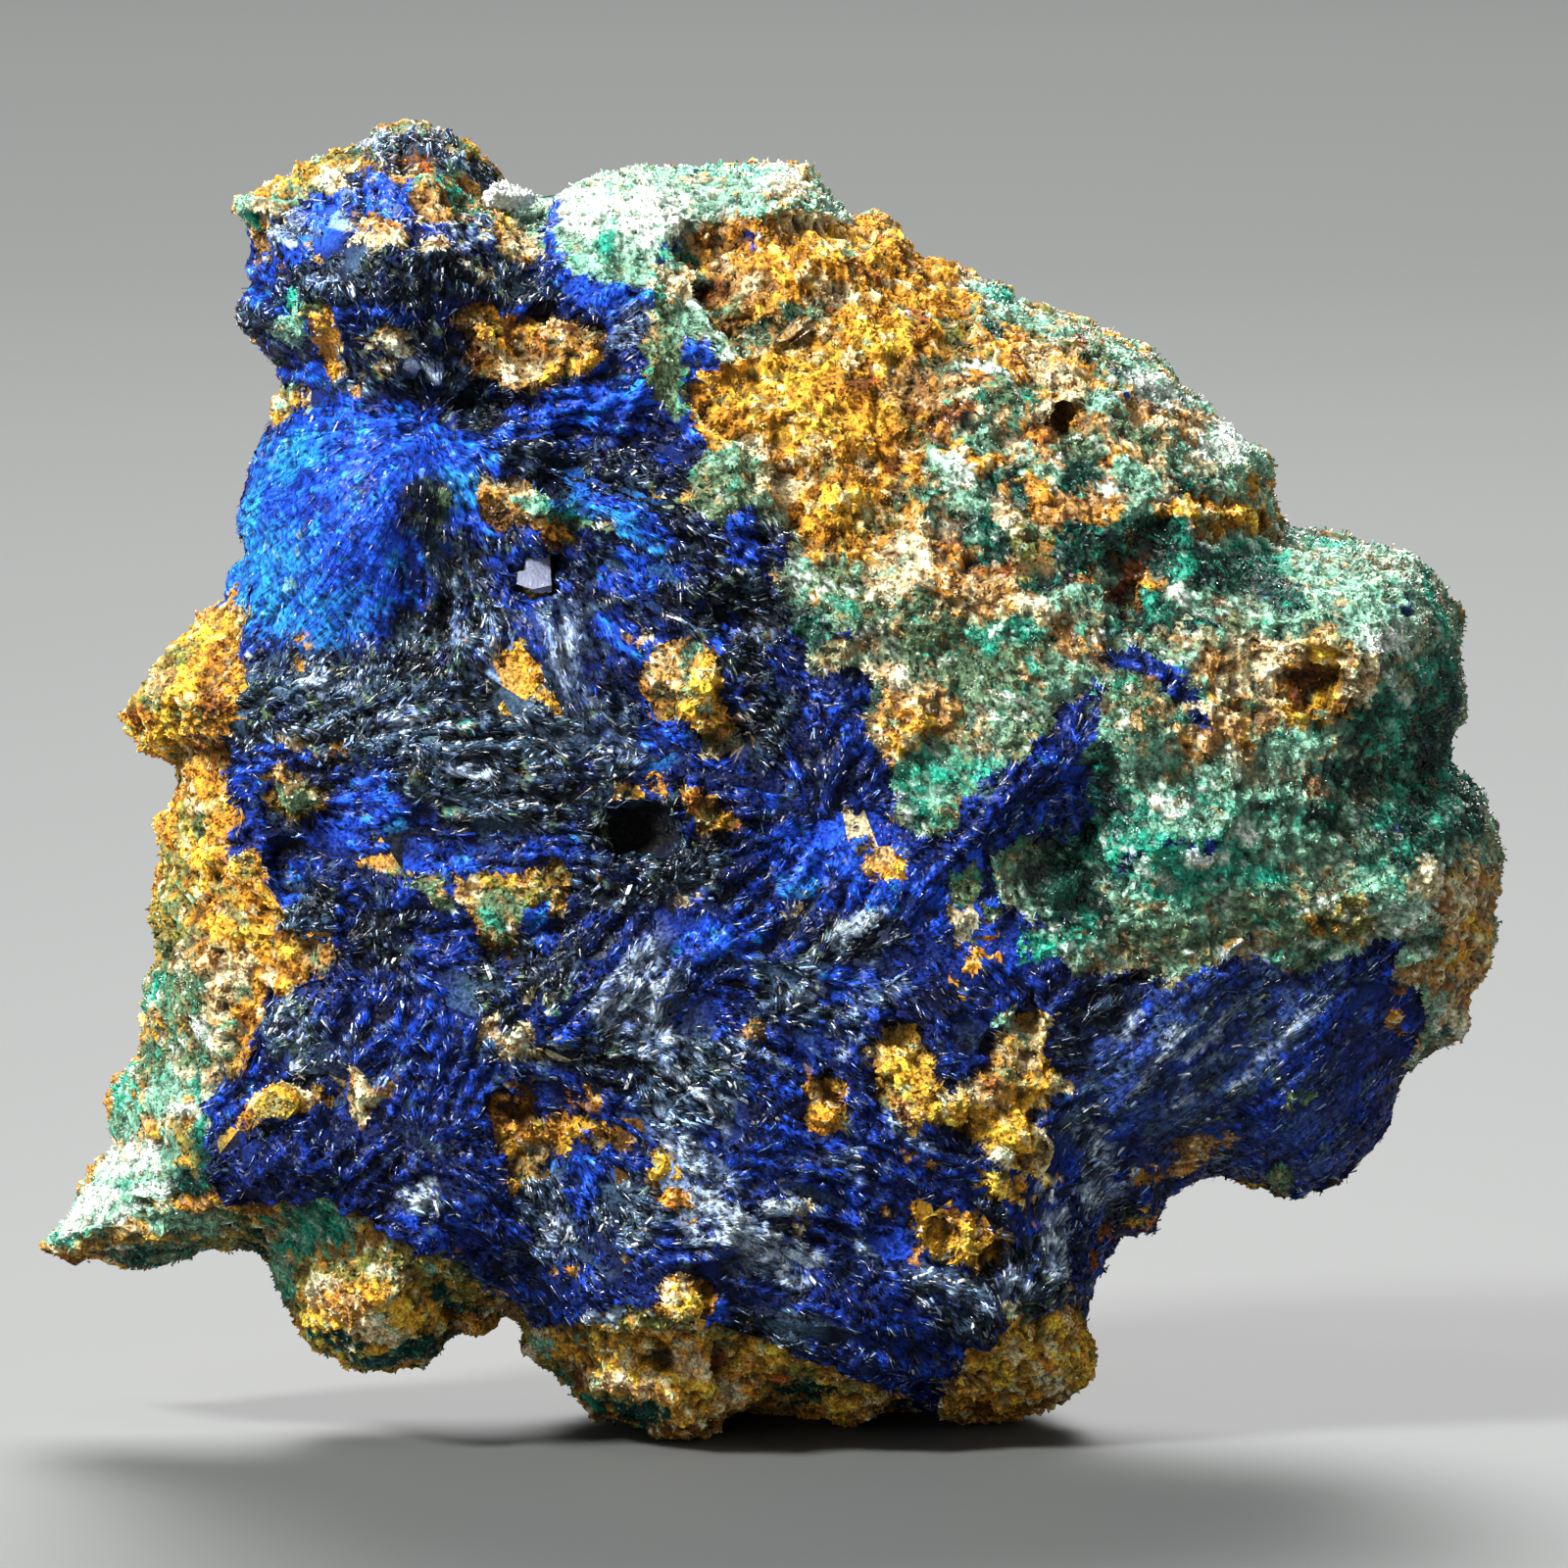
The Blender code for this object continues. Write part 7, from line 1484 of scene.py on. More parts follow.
def fans(points, seed=91):
    """How the linarite spreads: (direction, fan's random number, fibre coordinates, order)."""
    _, number, centre = cells(points * (1.0, 1.0, 0.4), FAN_SIZE, seed)
    strict = order(centre)
    cosine, sine = flow(centre[:, 0], centre[:, 1])
    turn = FAN_TURN * (2.0 * number - 1.0) * (1.0 - 0.85 * strict)
    axis = np.stack(
        [cosine * np.cos(turn) - sine * np.sin(turn), sine * np.cos(turn) + cosine * np.sin(turn)],
        axis=1,
    )
    length = FAN_REACH + (LANE_REACH - FAN_REACH) * strict
    out = points[:, :2] - (centre[:, :2] - length[:, None] * axis)
    radius = np.maximum(np.linalg.norm(out, axis=1), 1e-9)
    out /= radius[:, None]
    swing = np.arctan2(axis[:, 0] * out[:, 1] - axis[:, 1] * out[:, 0], np.sum(axis * out, axis=1))
    fibre = np.stack([FIBRE_STRETCH * radius, swing * length, 31.0 * number], axis=1)
    way = np.concatenate([out, np.zeros((len(points), 1))], axis=1)
    return way, number, fibre, strict


def ridge_heights(points, grid_size, steps, seed):
    """Long low ridges that run along the flow, from noise smeared along it."""
    low, high = points[:, :2].min(axis=0) - 1.0, points[:, :2].max(axis=0) + 1.0
    size = np.ceil((high - low) / grid_size).astype(int)
    grid = np.stack(np.meshgrid(*(np.arange(n) for n in size), indexing="ij"), axis=-1)
    grid = grid.reshape(-1, 2)
    direction = np.stack(flow(*(low + grid * grid_size).T), axis=1).reshape(*size, 2)
    rough = np.random.default_rng(SEED + seed).normal(size=tuple(size))
    total = np.zeros(len(grid))
    for way in (-1.0, 1.0):
        at = grid.astype(float)
        heading = way * direction.reshape(-1, 2)
        for _ in range(steps):
            i, j = (np.clip(np.rint(at[:, k]).astype(int), 0, size[k] - 1) for k in range(2))
            total += rough[i, j]
            turn = direction[i, j]
            turn = turn * np.where(np.sum(turn * heading, axis=1) < 0.0, -1.0, 1.0)[:, None]
            heading = turn
            at += heading
    total = (total / total.std()).reshape(tuple(size))
    place = (points[:, :2] - low) / grid_size
    corner = np.floor(place).astype(int)
    part = place - corner
    found = np.zeros(len(points))
    for step in np.ndindex(2, 2):
        share = np.prod(np.where(np.array(step) == 1, part, 1.0 - part), axis=1)
        found += share * total[corner[:, 0] + step[0], corner[:, 1] + step[1]]
    return np.clip(found, -2.0, 2.0)


# ---------------------------------------------------------------- crystals


class Growth:
    """Places where crystals grow on the skin, with their own random numbers."""

    def __init__(self, skin, coat, share, count, seed):
        self.rng = np.random.default_rng(SEED + seed)
        vectors = face_vectors(skin.points, skin.faces)
        area = np.linalg.norm(vectors, axis=1)
        weight = area * share[skin.faces].mean(axis=1)
        chance = np.cumsum(weight)
        pick = np.searchsorted(chance, self.rng.random(count) * chance[-1])
        corners = skin.faces[pick]
        part = self.rng.dirichlet((1.0, 1.0, 1.0), count)[:, :, None]
        self.points = (skin.points[corners] * part).sum(axis=1)
        grain = speckled(
            coat.names[corners[:, 0]], self.rng.random(count), np.full(count, CRYSTAL_MIXTURE)
        )
        # Crystals whose colour is a painted glint
        self.glints = np.isin(grain, [NAMES.index(name) for name in GLINTS])
        # The crystals take the painted shade of the skin where they grow
        tones = TONES[grain] * (coat.light[corners] * part[:, :, 0]).sum(axis=1)[:, None]
        self.colours = (coat.colours[corners] * part).sum(axis=1)
        self.colours += CRYSTAL_TONE * (tones - self.colours)
        self.normals = (skin.normals[corners] * part).sum(axis=1)
        self.normals /= np.linalg.norm(self.normals, axis=1, keepdims=True)
        self.count = count

    def between(self, low, high):
        return self.rng.uniform(low, high, self.count)

    def scattered_direction(self):
        return self.rng.normal(size=(self.count, 3))

    def frames(self, direction, tilt, roll):
        """Axes along, across and out of each crystal, which rises by tilt from the surface."""
        out = self.normals
        along = direction - out * np.sum(direction * out, axis=1)[:, None]
        along /= np.maximum(np.linalg.norm(along, axis=1, keepdims=True), 1e-9)
        across = np.cross(out, along)
        rising = along * np.cos(tilt)[:, None] + out * np.sin(tilt)[:, None]
        above = out * np.cos(tilt)[:, None] - along * np.sin(tilt)[:, None]
        turned = across * np.cos(roll)[:, None] + above * np.sin(roll)[:, None]
        return rising, turned, np.cross(rising, turned)


class Surface:
    """One solid's own surface, for crystals that grow on it."""

    def __init__(self, points, faces):
        self.points, self.faces = welded(to_face(points), faces)
        self.normals = point_normals(self.points, self.faces)

    def coat(self, name):
        count = len(self.points)
        colours = np.tile(shade(name), (count, 1))
        return Coat(colours, np.full(count, NAMES.index(name)), np.ones(count))


def grown(base, axes, shape, sizes):
    """Corner points of many crystals: rows of a unit shape along each crystal's own axes."""
    corners = np.zeros((len(base), len(shape), 3))
    for way, size, column in zip(axes, sizes, np.array(shape, float).T):
        corners += way[:, None, :] * (size[:, None] * column[None, :])[:, :, None]
    return base[:, None, :] + corners


# Millimetres of grain, facets and bump; roughness; how far facets tip; IOR; specular level; and
# how much the mottling darkens and lightens
MATERIALS = {
    "linarite": dict(
        grain=0.11, rough=(0.2, 0.5), facet=0.22, tip=0.30, bump=0.05, index=1.81, shine=0.12,
        contrast=(0.15, 1.8), fibrous=True,
    ),
    "linarite_bright": dict(
        grain=0.11, rough=(0.05, 0.2), facet=0.3, tip=0.2, bump=0.03, index=1.81, shine=0.7,
        contrast=(0.5, 1.5), fibrous=True,
    ),
    "brochantite": dict(
        grain=0.22, rough=(0.2, 0.6), facet=0.18, tip=0.3, bump=0.05, index=1.77, shine=0.25,
        contrast=(0.4, 1.6),
    ),
    "sparkling": dict(
        grain=0.22, rough=(0.05, 0.3), facet=0.25, tip=0.2, bump=0.03, index=1.77, shine=0.6,
        contrast=(0.6, 1.4),
    ),
    "gossan": dict(
        grain=0.18, rough=(0.55, 0.95), facet=0.2, tip=0.4, bump=0.12, index=1.5, shine=0.25,
        contrast=(0.35, 1.7),
    ),
}

# How many crystals grow in each piece
FIBRE_PIECES = 3
COUNTS = {"fibres": 26000, "blades": 4500, "needles": 27000, "crumbs": 22000, "chips": 260}
# Their least and greatest millimetres, how they tilt and roll in radians, how far they start above
# the surface in millimetres, how thick they are for their width, and how dark to bright they are
FIBRES = dict(
    length=(0.35, 1.2), width=(0.06, 0.14), tilt=(0.0, 0.22), roll=0.5, above=-0.02, thick=0.6,
    tone=(0.3, 0.4, 1.3),
)
BLADES = dict(
    length=(0.4, 1.3), width=(0.1, 0.26), tilt=(0.05, 0.5), roll=0.8, above=-0.05, thick=0.3,
    tone=(0.8, 1.5),
)
NEEDLES = dict(
    length=(0.15, 0.45), width=(0.08, 0.2), tilt=(0.2, 1.2), roll=1.5, above=-0.08, thick=0.7,
    tone=(0.7, 1.35),
)
CRUMBS = dict(size=(0.14, 0.42), tilt=(-0.6, 0.6), roll=1.5, above=0.04, tone=(0.7, 1.3))
CHIPS = dict(CRUMBS, size=(0.2, 0.6))

# Unit crystals: (corners as shares of length, width and thickness, triangles)
WEDGE = (
    ((0.0, 0.0, 0.5), (0.0, 0.0, -0.5), (1.0, 0.5, 0.0), (1.0, -0.5, 0.0)),
    ((0, 2, 3), (1, 3, 2), (0, 1, 2), (0, 3, 1)),
)
CHIP = (
    ((0.6, 0.0, -0.3), (-0.4, 0.55, -0.25), (-0.35, -0.5, -0.3), (0.0, 0.1, 0.7)),
    ((0, 1, 3), (1, 2, 3), (2, 0, 3), (0, 2, 1)),
)
BLADE = (
    (
        (0.0, -0.35, -0.5), (0.9, -0.5, -0.5), (1.0, 0.4, -0.5), (0.0, 0.5, -0.5),
        (0.0, -0.35, 0.5), (0.9, -0.5, 0.5), (1.0, 0.4, 0.5), (0.0, 0.5, 0.5),
    ),
    (
        (0, 2, 1), (0, 3, 2), (4, 5, 6), (4, 6, 7), (0, 1, 5), (0, 5, 4),
        (1, 2, 6), (1, 6, 5), (2, 3, 7), (2, 7, 6), (3, 0, 4), (3, 4, 7),
    ),
)


def outward(corners, triangles):
    """The triangles wound to face out in the frame, whatever way the axes turn."""
    middle = corners[0].mean(axis=0)
    a, b, c = (corners[0][list(i)] for i in np.array(triangles).T)
    # Face coordinates are left-handed: a triangle faces out where this product points in.
    inward = np.sum(np.cross(b - a, c - a) * (a - middle), axis=1) > 0.0
    triangles = np.array(triangles)
    return np.where(inward[:, None], triangles[:, ::-1], triangles)


def crystals(base, axes, kind, sizes, colours):
    """Joined crystals as points, triangles and a colour for each point."""
    shape, triangles = kind
    corners = grown(base, axes, shape, sizes)
    triangles = outward(corners, triangles)
    starts = np.arange(len(base))[:, None, None] * len(shape)
    faces = (starts + triangles[None]).reshape(-1, 3)
    return corners.reshape(-1, 3), faces, np.repeat(colours, len(shape), axis=0)


def fibres(growth, length, width, tilt, roll, above, thick, tone):
    """Linarite laths that follow the flow in small fans."""
    direction, number, _, strict = fans(growth.points)
    direction += (0.12 - 0.07 * strict)[:, None] * growth.scattered_direction()
    tilts = growth.between(*tilt) * (1.0 - 0.6 * strict)
    axes = growth.frames(direction, tilts, growth.between(-roll, roll))
    lengths = growth.between(*length) * growth.between(0.6, 1.0)
    widths = growth.between(*width) * (1.0 - 0.4 * strict) * (1.0 + 0.25 * growth.glints)
    base = growth.points + above * growth.normals - 0.5 * lengths[:, None] * axes[0]
    # Tone: the least, what depends on the fan, and what a few crystals have beyond that
    least, by_fan, by_crystal = tone
    bright = least + by_fan * number + by_crystal * growth.between(0.0, 1.0) ** 3
    # Painted glints: crystals in glint colours are made at least this bright
    bright = np.where(growth.glints, np.maximum(bright, LEAST_GLINT), bright)
    tones = growth.colours * bright[:, None]
    return crystals(base, axes, WEDGE, (lengths, widths, thick * widths), tones)


def blades(growth, length, width, tilt, roll, above, thick, tone):
    """Larger flat linarite blades with square ends."""
    direction = fans(growth.points)[0] + 0.35 * growth.scattered_direction()
    axes = growth.frames(direction, growth.between(*tilt), growth.between(-roll, roll))
    lengths = growth.between(*length)
    widths = growth.between(*width)
    base = growth.points + above * growth.normals - 0.4 * lengths[:, None] * axes[0]
    tones = growth.colours * growth.between(*tone)[:, None]
    return crystals(base, axes, BLADE, (lengths, widths, thick * widths), tones)


def druse(growth, length, width, tilt, roll, above, thick, tone):
    """Short stubby crystals that stand every way."""
    tilts = growth.between(*tilt)
    axes = growth.frames(growth.scattered_direction(), tilts, growth.between(-roll, roll))
    lengths = growth.between(*length)
    widths = growth.between(*width)
    base = growth.points + above * growth.normals
    tones = growth.colours * growth.between(*tone)[:, None]
    return crystals(base, axes, WEDGE, (lengths, widths, thick * widths), tones)


def grains(growth, size, tilt, roll, above, tone):
    """Crumbs of rock or chips of crystal, half sunk in the surface."""
    direction = growth.scattered_direction()
    axes = growth.frames(direction, growth.between(*tilt), growth.between(-roll, roll))
    sizes = [growth.between(*size) * growth.between(0.6, 1.0) for _ in range(3)]
    base = growth.points + above * growth.normals
    tones = growth.colours * growth.between(*tone)[:, None]
    return crystals(base, axes, CHIP, sizes, tones)


# ---------------------------------------------------------------- surfaces


def painted_shade_and_light(skin, placed, minerals):
    """Painted shade and light: each place's colour is painted darker in hollows and a little lighter on
    crests.
    """
    wide = smoothed(placed, skin.edges, WIDE_PASSES)
    height = np.sum((placed - wide) * skin.normals, axis=1)
    close = smoothed(placed, skin.edges, CLOSE_PASSES)
    detail = np.sum((placed - close) * skin.normals, axis=1)
    level, by_height, by_detail, least = (minerals @ np.array(HOLLOWS)).T
    light = np.clip(level + by_height * height, least, MOST_LIGHT)
    return light * np.clip(1.0 + by_detail * detail, *DETAIL_LIGHT)


def borders(faces):
    """The directed edges that only one triangle uses."""
    count = faces.max() + 1
    forward = np.concatenate([faces[:, [0, 1]], faces[:, [1, 2]], faces[:, [2, 0]]])
    keys = forward[:, 0] * count + forward[:, 1]
    reverse = forward[:, 1] * count + forward[:, 0]
    return forward[~np.isin(keys, reverse)]


def slab(skin, placed, rows, inside):
    """A region of the skin as a closed crust: its face, a plain back and walls between them."""
    used, index = np.unique(skin.faces[inside], return_inverse=True)
    top = index.reshape(-1, 3)
    count = len(used)
    rim = borders(top)
    a, b = rim.T
    walls = np.concatenate(
        [np.stack([b, a, a + count], axis=1), np.stack([b, a + count, b + count], axis=1)]
    )
    back = skin.points[used] - CRUST_DEPTH * skin.outward[used]
    points = np.concatenate([placed[used], back])
    faces = np.concatenate([top, top[:, ::-1] + count, walls])
    hidden = np.arange(len(points)) >= count
    ratio = (len(top) * (1.0 + BACK_SHARE) + len(walls)) / len(faces)
    points, faces = modified(points, faces, "DECIMATE", hidden, ratio=ratio)
    return points, faces, nearest_rows(points, placed[used], rows[used])


def nearest_rows(points, places, rows):
    """For each point, the row of the nearest place."""
    tree = KDTree(len(places))
    for number, place in enumerate(places.tolist()):
        tree.insert(place, number)
    tree.balance()
    return rows[[tree.find(point)[1] for point in points.tolist()]]


def rock_body(skin, placed, rows, covered):
    """The whole skin as one closed body, sunk where a crust lies on it and coarse behind."""
    sunk = skin.points - SUNK * skin.outward
    points = np.where(covered[:, None], sunk, placed)
    hidden = covered | (skin.normals[:, 2] > BACK_FACING)
    share = hidden[skin.faces].all(axis=1).mean()
    ratio = 1.0 - share * (1.0 - ROCK_SHARE)
    found, faces = modified(points, skin.faces, "DECIMATE", hidden, ratio=ratio)
    found, faces = modified(found, faces, "DECIMATE", ratio=ROCK_KEPT)
    return found, faces, nearest_rows(found, points, rows)


def within(skin, inside, rings):
    """The points of a region that lie some rings in from its border."""
    outside = np.zeros(len(skin.points), bool)
    outside[skin.faces[~inside].ravel()] = True
    for _ in range(rings - 1):
        a, b = skin.edges.T
        wider = outside.copy()
        wider[a[outside[b]]] = True
        wider[b[outside[a]]] = True
        outside = wider
    return ~outside


# ---------------------------------------------------------------- pieces


def unblended(faces, gritty):
    """Whose colour each corner shows: a triangle across a border keeps to its larger side."""
    kinds = gritty[faces]
    odd = kinds != (kinds.sum(axis=1) > 1)[:, None]
    donor = faces[np.arange(len(faces)), (~odd).argmax(axis=1)]
    return np.where(odd, donor[:, None], faces)


def add_piece(name, material, slot, points, faces, rows):
    """A mesh piece of the specimen that rides on the rock. Its rows are colour and grit."""
    mesh = new_mesh(name, to_frame(points), faces)
    grit = rows[:, 3] if rows.shape[1] > 3 else np.full(len(points), float(slot != "linarite"))
    tint = mesh.attributes.new("tint", "FLOAT_COLOR", "CORNER")
    corners = unblended(faces, grit > 0.5).ravel()
    colours = np.ones((len(corners), 4), np.float32)
    colours[:, :3] = np.clip(rows[corners, :3], 0.0, 1.0)
    tint.data.foreach_set("color", colours.ravel())
    if slot == "linarite":
        fibre = mesh.attributes.new("fibre", "FLOAT_VECTOR", "POINT")
        fibre.data.foreach_set("vector", fans(points)[2].astype(np.float32).ravel())
        gritty = mesh.attributes.new("grit", "FLOAT", "POINT")
        gritty.data.foreach_set("value", grit.astype(np.float32))
    if rows.shape[1] > 3:
        mesh.polygons.foreach_set("use_smooth", grit[faces].mean(axis=1) < 0.5)
    mesh.materials.append(material)
    piece = bpy.data.objects.new(name, mesh)
    bpy.context.scene.collection.objects.link(piece)
    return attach(piece, "root")


# ---------------------------------------------------------------- materials


def new_material(name):
    material = bpy.data.materials.new(name)
    material.use_nodes = True
    return material


def connect(material, node, inputs):
    """Sets a node's inputs, each to a number, a colour or another node's output."""
    for socket, value in inputs.items():
        if isinstance(value, bpy.types.NodeSocket):
            material.node_tree.links.new(value, node.inputs[socket])
        else:
            node.inputs[socket].default_value = value


def add_node(material, kind, inputs, output, **settings):
    """Adds a node and gives one of its outputs."""
    node = material.node_tree.nodes.new("ShaderNode" + kind)
    for key, value in settings.items():
        setattr(node, key, value)
    connect(material, node, inputs)
    return node.outputs[output]


def add_noise(material, place, scale, detail=3.0):
    return add_node(material, "TexNoise", {"Vector": place, "Scale": scale, "Detail": detail}, "Fac")


def add_range(material, value, low, high):
    """The value's middle part spread from low to high."""
    sockets = ("From Min", "From Max", "To Min", "To Max")
    inputs = dict(zip(sockets, (*NOISE_MIDDLE, low, high)))
    return add_node(material, "MapRange", {"Value": value, **inputs}, "Result")


def add_mix(material, share, first, second):
    """A blend of two colours."""
    colours = {6: (*first, 1.0), 7: (*second, 1.0)}
    return add_node(material, "Mix", {0: share, **colours}, 2, data_type="RGBA")


def add_facets(material, place, size, amount):
    """A normal that tips by a random angle in every small cell, like crystal faces."""
    cell = add_node(material, "TexVoronoi", {"Scale": 1.0 / (size * MM), "Vector": place}, "Color")
    spread = {0: cell, 1: (2.0 * amount,) * 3, 2: (-amount,) * 3}
    centred = add_node(material, "VectorMath", spread, "Vector", operation="MULTIPLY_ADD")
    normal = add_node(material, "NewGeometry", {}, "Normal")
    tipped = add_node(material, "VectorMath", {0: centred, 1: normal}, "Vector", operation="ADD")
    return add_node(material, "VectorMath", {0: tipped}, "Vector", operation="NORMALIZE")


def add_attribute(material, name, output):
    return add_node(material, "Attribute", {}, output, attribute_name=name)


def add_pattern(material, place, grain, detail, fibrous):
    """Noise in grains, or in fibres wherever the surface isn't gritty."""
    if not fibrous:
        return add_noise(material, place, 1.0 / (grain * MM), detail)
    grains_there = add_noise(material, place, 1.0 / (GRIT_GRAIN * MM), detail)
    stripes = add_noise(material, add_attribute(material, "fibre", "Vector"), 1.0 / grain, detail)
    grit = add_attribute(material, "grit", "Fac")
    return add_node(material, "Mix", {0: grit, 2: stripes, 3: grains_there}, 0)


def mineral_material(name, grain, rough, facet, tip, bump, index, shine, contrast, fibrous=False):
    """A crystalline surface: tinted per point, mottled, with small facets and fine relief."""
    material = new_material(name)
    place = add_node(material, "TexCoord", {}, "Object")
    tint = add_attribute(material, "tint", "Color")
    speckle = add_range(material, add_pattern(material, place, grain, 3.0, fibrous), *contrast)
    colour = add_node(material, "VectorMath", {0: tint, "Scale": speckle}, "Vector", operation="SCALE")
    gloss = add_noise(material, place, 1.0 / (GLOSS_PATCH * MM))
    roughness = add_range(material, gloss, *rough)
    height = add_pattern(material, place, 1.25 * grain, 4.0, fibrous)
    facets = add_facets(material, place, facet, tip)
    bumps = {"Distance": bump * MM, "Strength": 1.0, "Height": height, "Normal": facets}
    connect(material, material.node_tree.nodes["Principled BSDF"], {
        "Base Color": colour,
        "Roughness": roughness,
        "Normal": add_node(material, "Bump", bumps, "Normal"),
        "IOR": index,
        "Specular IOR Level": shine,
    })
    return material


def clear_material(name, colour, transmission):
    """A clear crystal with faint clouds and fine lines along it."""
    material = new_material(name)
    place = add_node(material, "TexCoord", {}, "Object")
    clouds = add_noise(material, place, 1.0 / (CLEAR_CLOUD * MM))
    stretched = add_node(material, "Mapping", {"Vector": place, "Scale": CLEAR_STRETCH}, "Vector")
    lines = {"Height": add_noise(material, stretched, 1.0 / MM), "Distance": CLEAR_LINES * MM}
    connect(material, material.node_tree.nodes["Principled BSDF"], {
        "Base Color": add_mix(material, clouds, linear(colour), 0.5 + 0.5 * linear(colour)),
        "Roughness": add_range(material, clouds, *CLEAR_ROUGHNESS),
        "Normal": add_node(material, "Bump", lines, "Normal"),
        "Transmission Weight": transmission,
        "IOR": CLEAR_INDEX,
    })
    return material


def plain_material(name, colour, roughness, shine):
    material = new_material(name)
    place = add_node(material, "TexCoord", {}, "Object")
    scale, darker = FLOOR_MOTTLE
    mottle = add_noise(material, place, scale)
    connect(material, material.node_tree.nodes["Principled BSDF"], {
        "Base Color": add_mix(material, mottle, darker * linear(colour), linear(colour)),
        "Roughness": roughness,
        "Specular IOR Level": shine,
    })
    return material


# ---------------------------------------------------------------- the specimen


def build_surfaces(skin, placed, rows, materials):
    """Each crust as a closed slab, and the rock that they lie on."""
    owners = skin.owner[skin.faces]
    votes = np.stack([(owners == number).sum(axis=1) for number in range(len(skin.names))])
    region = votes.argmax(axis=0)
    covered = np.zeros(len(skin.points), bool)
    for number, name in enumerate(skin.names):
        if name == ROCK:
            continue
        inside = region == number
        slot = name.split("_")[0]
        piece = add_piece(name + "_face", materials[slot], slot, *slab(skin, placed, rows, inside))
        if slot != "linarite":
            piece.data.shade_flat()
        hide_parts(name)
        covered |= within(skin, inside, 2)
    rock = add_piece("rock", materials["gossan"], "gossan", *rock_body(skin, placed, rows, covered))
    rock.data.shade_flat()
    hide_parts(ROCK)


def build_crystals(skin, coat, minerals, rough, materials):
    """The crystals of every mineral, on the side that faces the camera."""
    front = (skin.normals[:, 2] < GROWN_UNTIL).astype(float)
    blue, green, brown = (minerals[:, kind] * front for kind in (LINARITE, BROCHANTITE, GOSSAN))
    around = smoothed(minerals[:, LINARITE], skin.edges, RECESS_PASSES)
    silvery = np.isin(coat.names, [NAMES.index("lavender"), NAMES.index("steel")])
    bladed = blue * (0.2 + rough + 2.0 * silvery)
    crumbly = brown * (1.0 + 2.0 * around)
    pieces = [
        (f"linarite_fibres_{part + 1}", "linarite", blue, "fibres", 100 + part, fibres, FIBRES)
        for part in range(FIBRE_PIECES)
    ]
    pieces += [
        ("linarite_blades", "linarite_bright", bladed, "blades", 110, blades, BLADES),
        ("brochantite_needles", "sparkling", green, "needles", 120, druse, NEEDLES),
        ("gossan_grains", "gossan", crumbly, "crumbs", 130, grains, CRUMBS),
    ]
    for name, material, share, kind, seed, grow, settings in pieces:
        growth = Growth(skin, coat, share, COUNTS[kind], seed)
        add_piece(name, materials[material], name.split("_")[0], *grow(growth, **settings))
    flake = Surface(*mesh_arrays(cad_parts["cerussite_flake"].data))
    growth = Growth(flake, flake.coat("white"), np.ones(len(flake.points)), COUNTS["chips"], 140)
    add_piece("cerussite_chips", materials["sparkling"], "cerussite", *grains(growth, **CHIPS))


def build_specimen():
    clear = [row[0] for row in CLEAR_CRYSTALS]
    skin = Skin({name: node for name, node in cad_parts.items() if name not in clear})
    colours, minerals, names = painted(skin)
    rough = roughness(skin, names)
    heights = relief(skin, minerals, rough)
    jolt = np.random.default_rng(SEED + 7).normal(scale=JOLT, size=skin.points.shape)
    placed = skin.points + heights[:, None] * skin.outward + jolt * (1.0 - minerals[:, :1])
    even = smoothed(placed, skin.edges, 3)
    spiky = np.linalg.norm(placed - even, axis=1) > LONGEST_SPIKE
    placed = np.where(spiky[:, None], even, placed)
    # Painted shade and light: hollows are darkened and crests lightened in the colours themselves
    light = painted_shade_and_light(skin, placed, minerals)
    colours *= light[:, None]
    rows = np.column_stack([colours, minerals[:, BROCHANTITE] + minerals[:, GOSSAN]])
    materials = {name: mineral_material(name, **values) for name, values in MATERIALS.items()}
    build_surfaces(skin, placed, rows, materials)
    skin.points = placed
    skin.normals = point_normals(placed, skin.faces)
    build_crystals(skin, Coat(colours, names, light), minerals, rough, materials)
    for row in CLEAR_CRYSTALS:
        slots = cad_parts[row[0]].data.materials
        slots.clear()
        slots.append(clear_material(*row))


# ---------------------------------------------------------------- stage, lights and camera


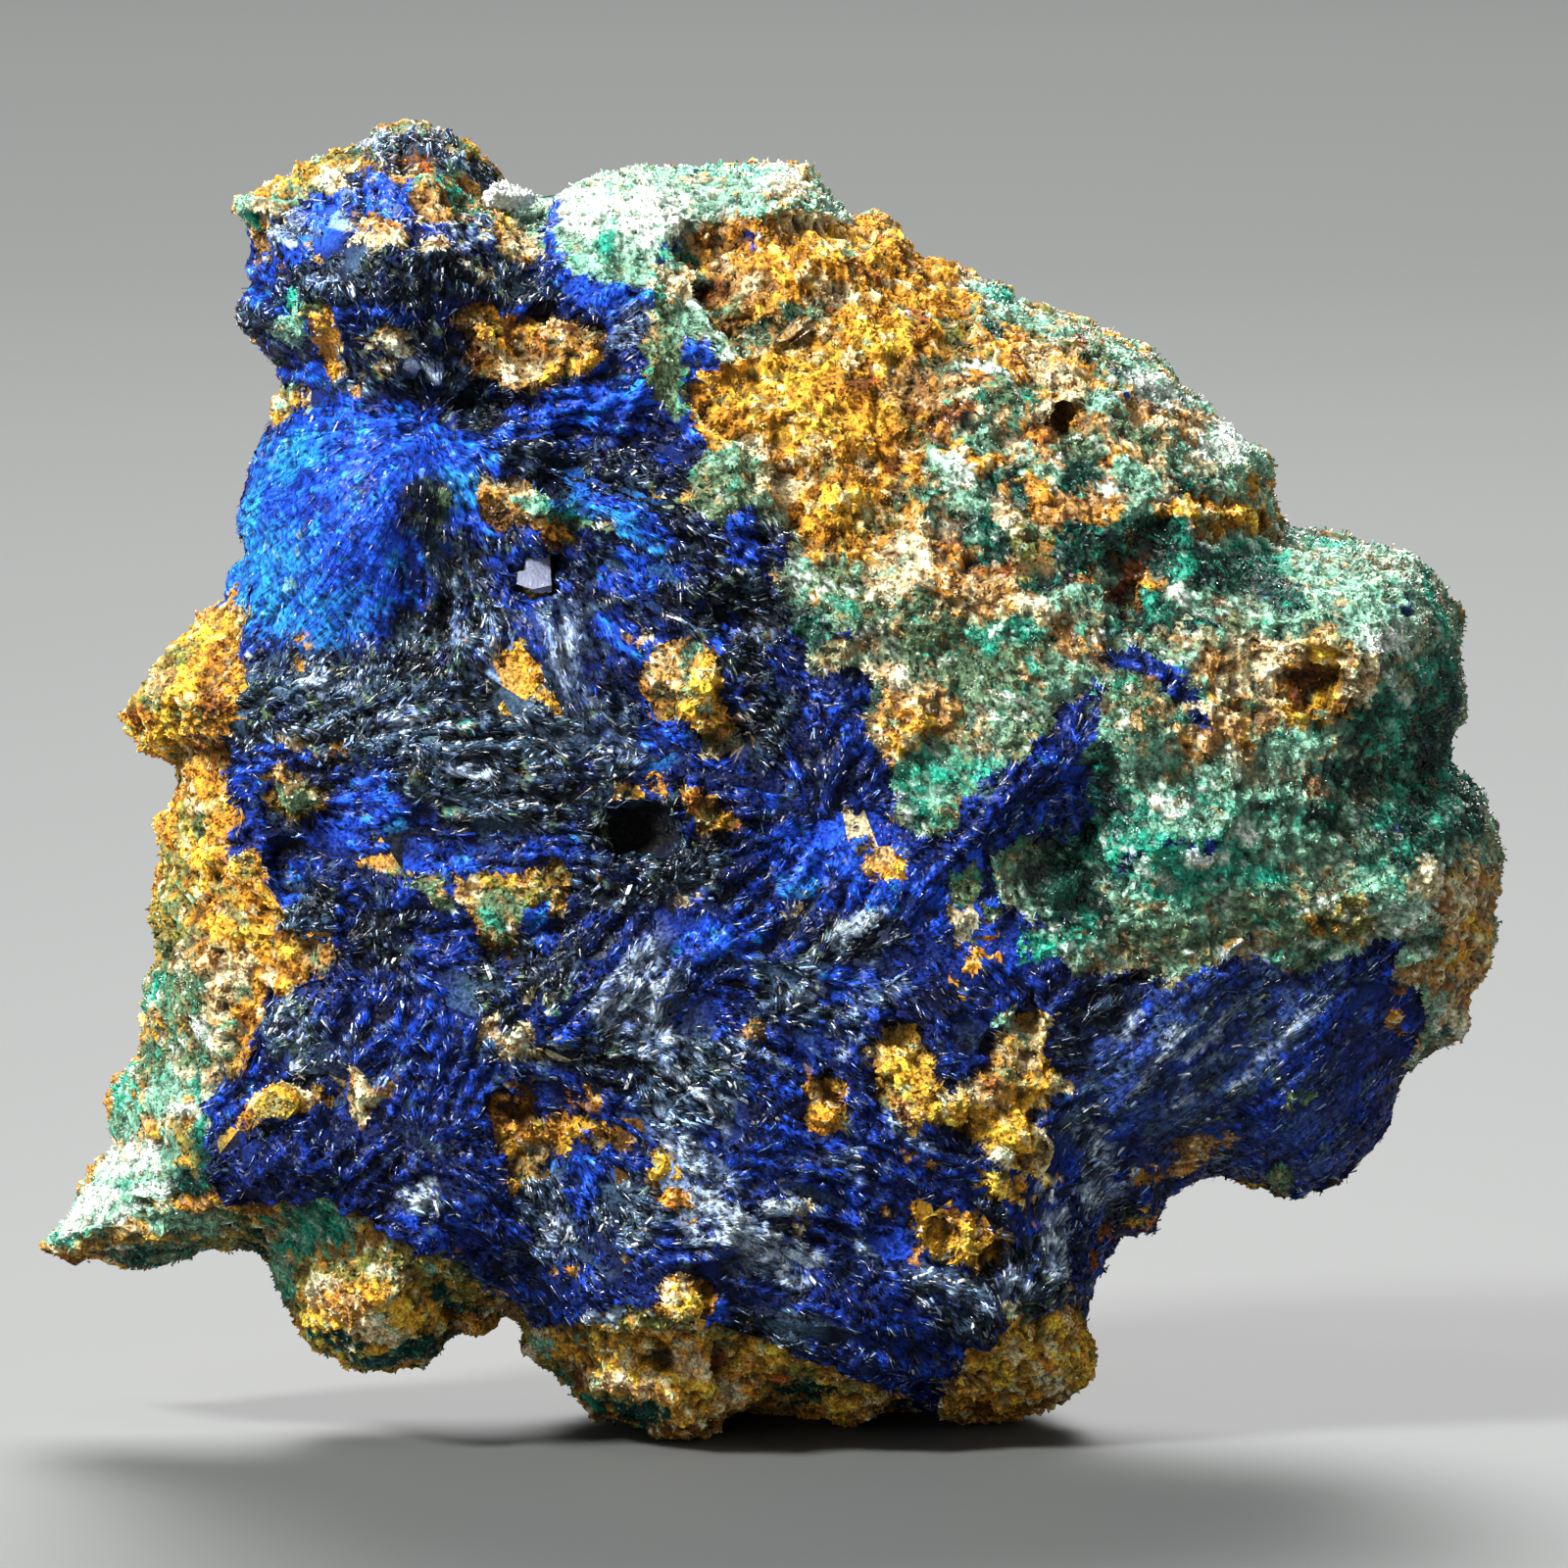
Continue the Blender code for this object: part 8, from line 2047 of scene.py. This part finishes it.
def face_direction(u, v, w):
    """A direction in face coordinates as one in the frame."""
    return Vector((
        u, v * math.sin(LEAN) + w * math.cos(LEAN), v * math.cos(LEAN) - w * math.sin(LEAN)
    ))


def build_floor():
    mesh = bpy.data.meshes.new("floor")
    half = FLOOR_SIZE / 2.0
    corners = [(-half, -half, 0), (half, -half, 0), (half, half, 0), (-half, half, 0)]
    mesh.from_pydata(corners, [], [(0, 1, 2, 3)])
    mesh.materials.append(plain_material("floor", FLOOR_COLOUR, FLOOR_ROUGHNESS, FLOOR_SHINE))
    floor = bpy.data.objects.new("floor", mesh)
    bpy.context.scene.collection.objects.link(floor)


def add_light(name, azimuth, elevation, distance, size, power, behind):
    """A square soft light that faces the specimen's middle, or a place behind it."""
    light = bpy.data.lights.new(name, "AREA")
    light.size = size
    light.energy = power
    lamp = bpy.data.objects.new(name, light)
    bpy.context.scene.collection.objects.link(lamp)
    a, e = math.radians(azimuth), math.radians(elevation)
    back = Vector((math.sin(a) * math.cos(e), -math.cos(a) * math.cos(e), math.sin(e)))
    lamp.location = Vector((0.0, behind, LIGHT_TARGET_HEIGHT)) + distance * back
    lamp.rotation_euler = (-back).to_track_quat("-Z", "Y").to_euler()


def build_lights():
    for row in LIGHTS:
        add_light(*row)
    world = bpy.data.worlds.new("studio")
    world.use_nodes = True
    background = world.node_tree.nodes["Background"]
    background.inputs["Color"].default_value = (*linear(SKY_COLOUR), 1.0)
    background.inputs["Strength"].default_value = SKY_STRENGTH
    bpy.context.scene.world = world
    bpy.context.scene.view_settings.view_transform = "Standard"


def build_camera():
    camera = bpy.data.cameras.new("camera")
    camera.sensor_width = SENSOR
    distance = VIEW_WIDTH * LENS / SENSOR
    camera.lens = LENS
    view = bpy.data.objects.new("camera", camera)
    bpy.context.scene.collection.objects.link(view)
    centre = Vector(to_frame([(*VIEW_CENTRE, VIEW_DEPTH)])[0])
    towards = face_direction(0.0, 0.0, 1.0)
    view.location = centre - distance * MM * towards
    view.rotation_euler = towards.to_track_quat("-Z", "Y").to_euler()
    camera.clip_end = 10.0
    bpy.context.scene.camera = view


build_specimen()
build_floor()
build_lights()
build_camera()
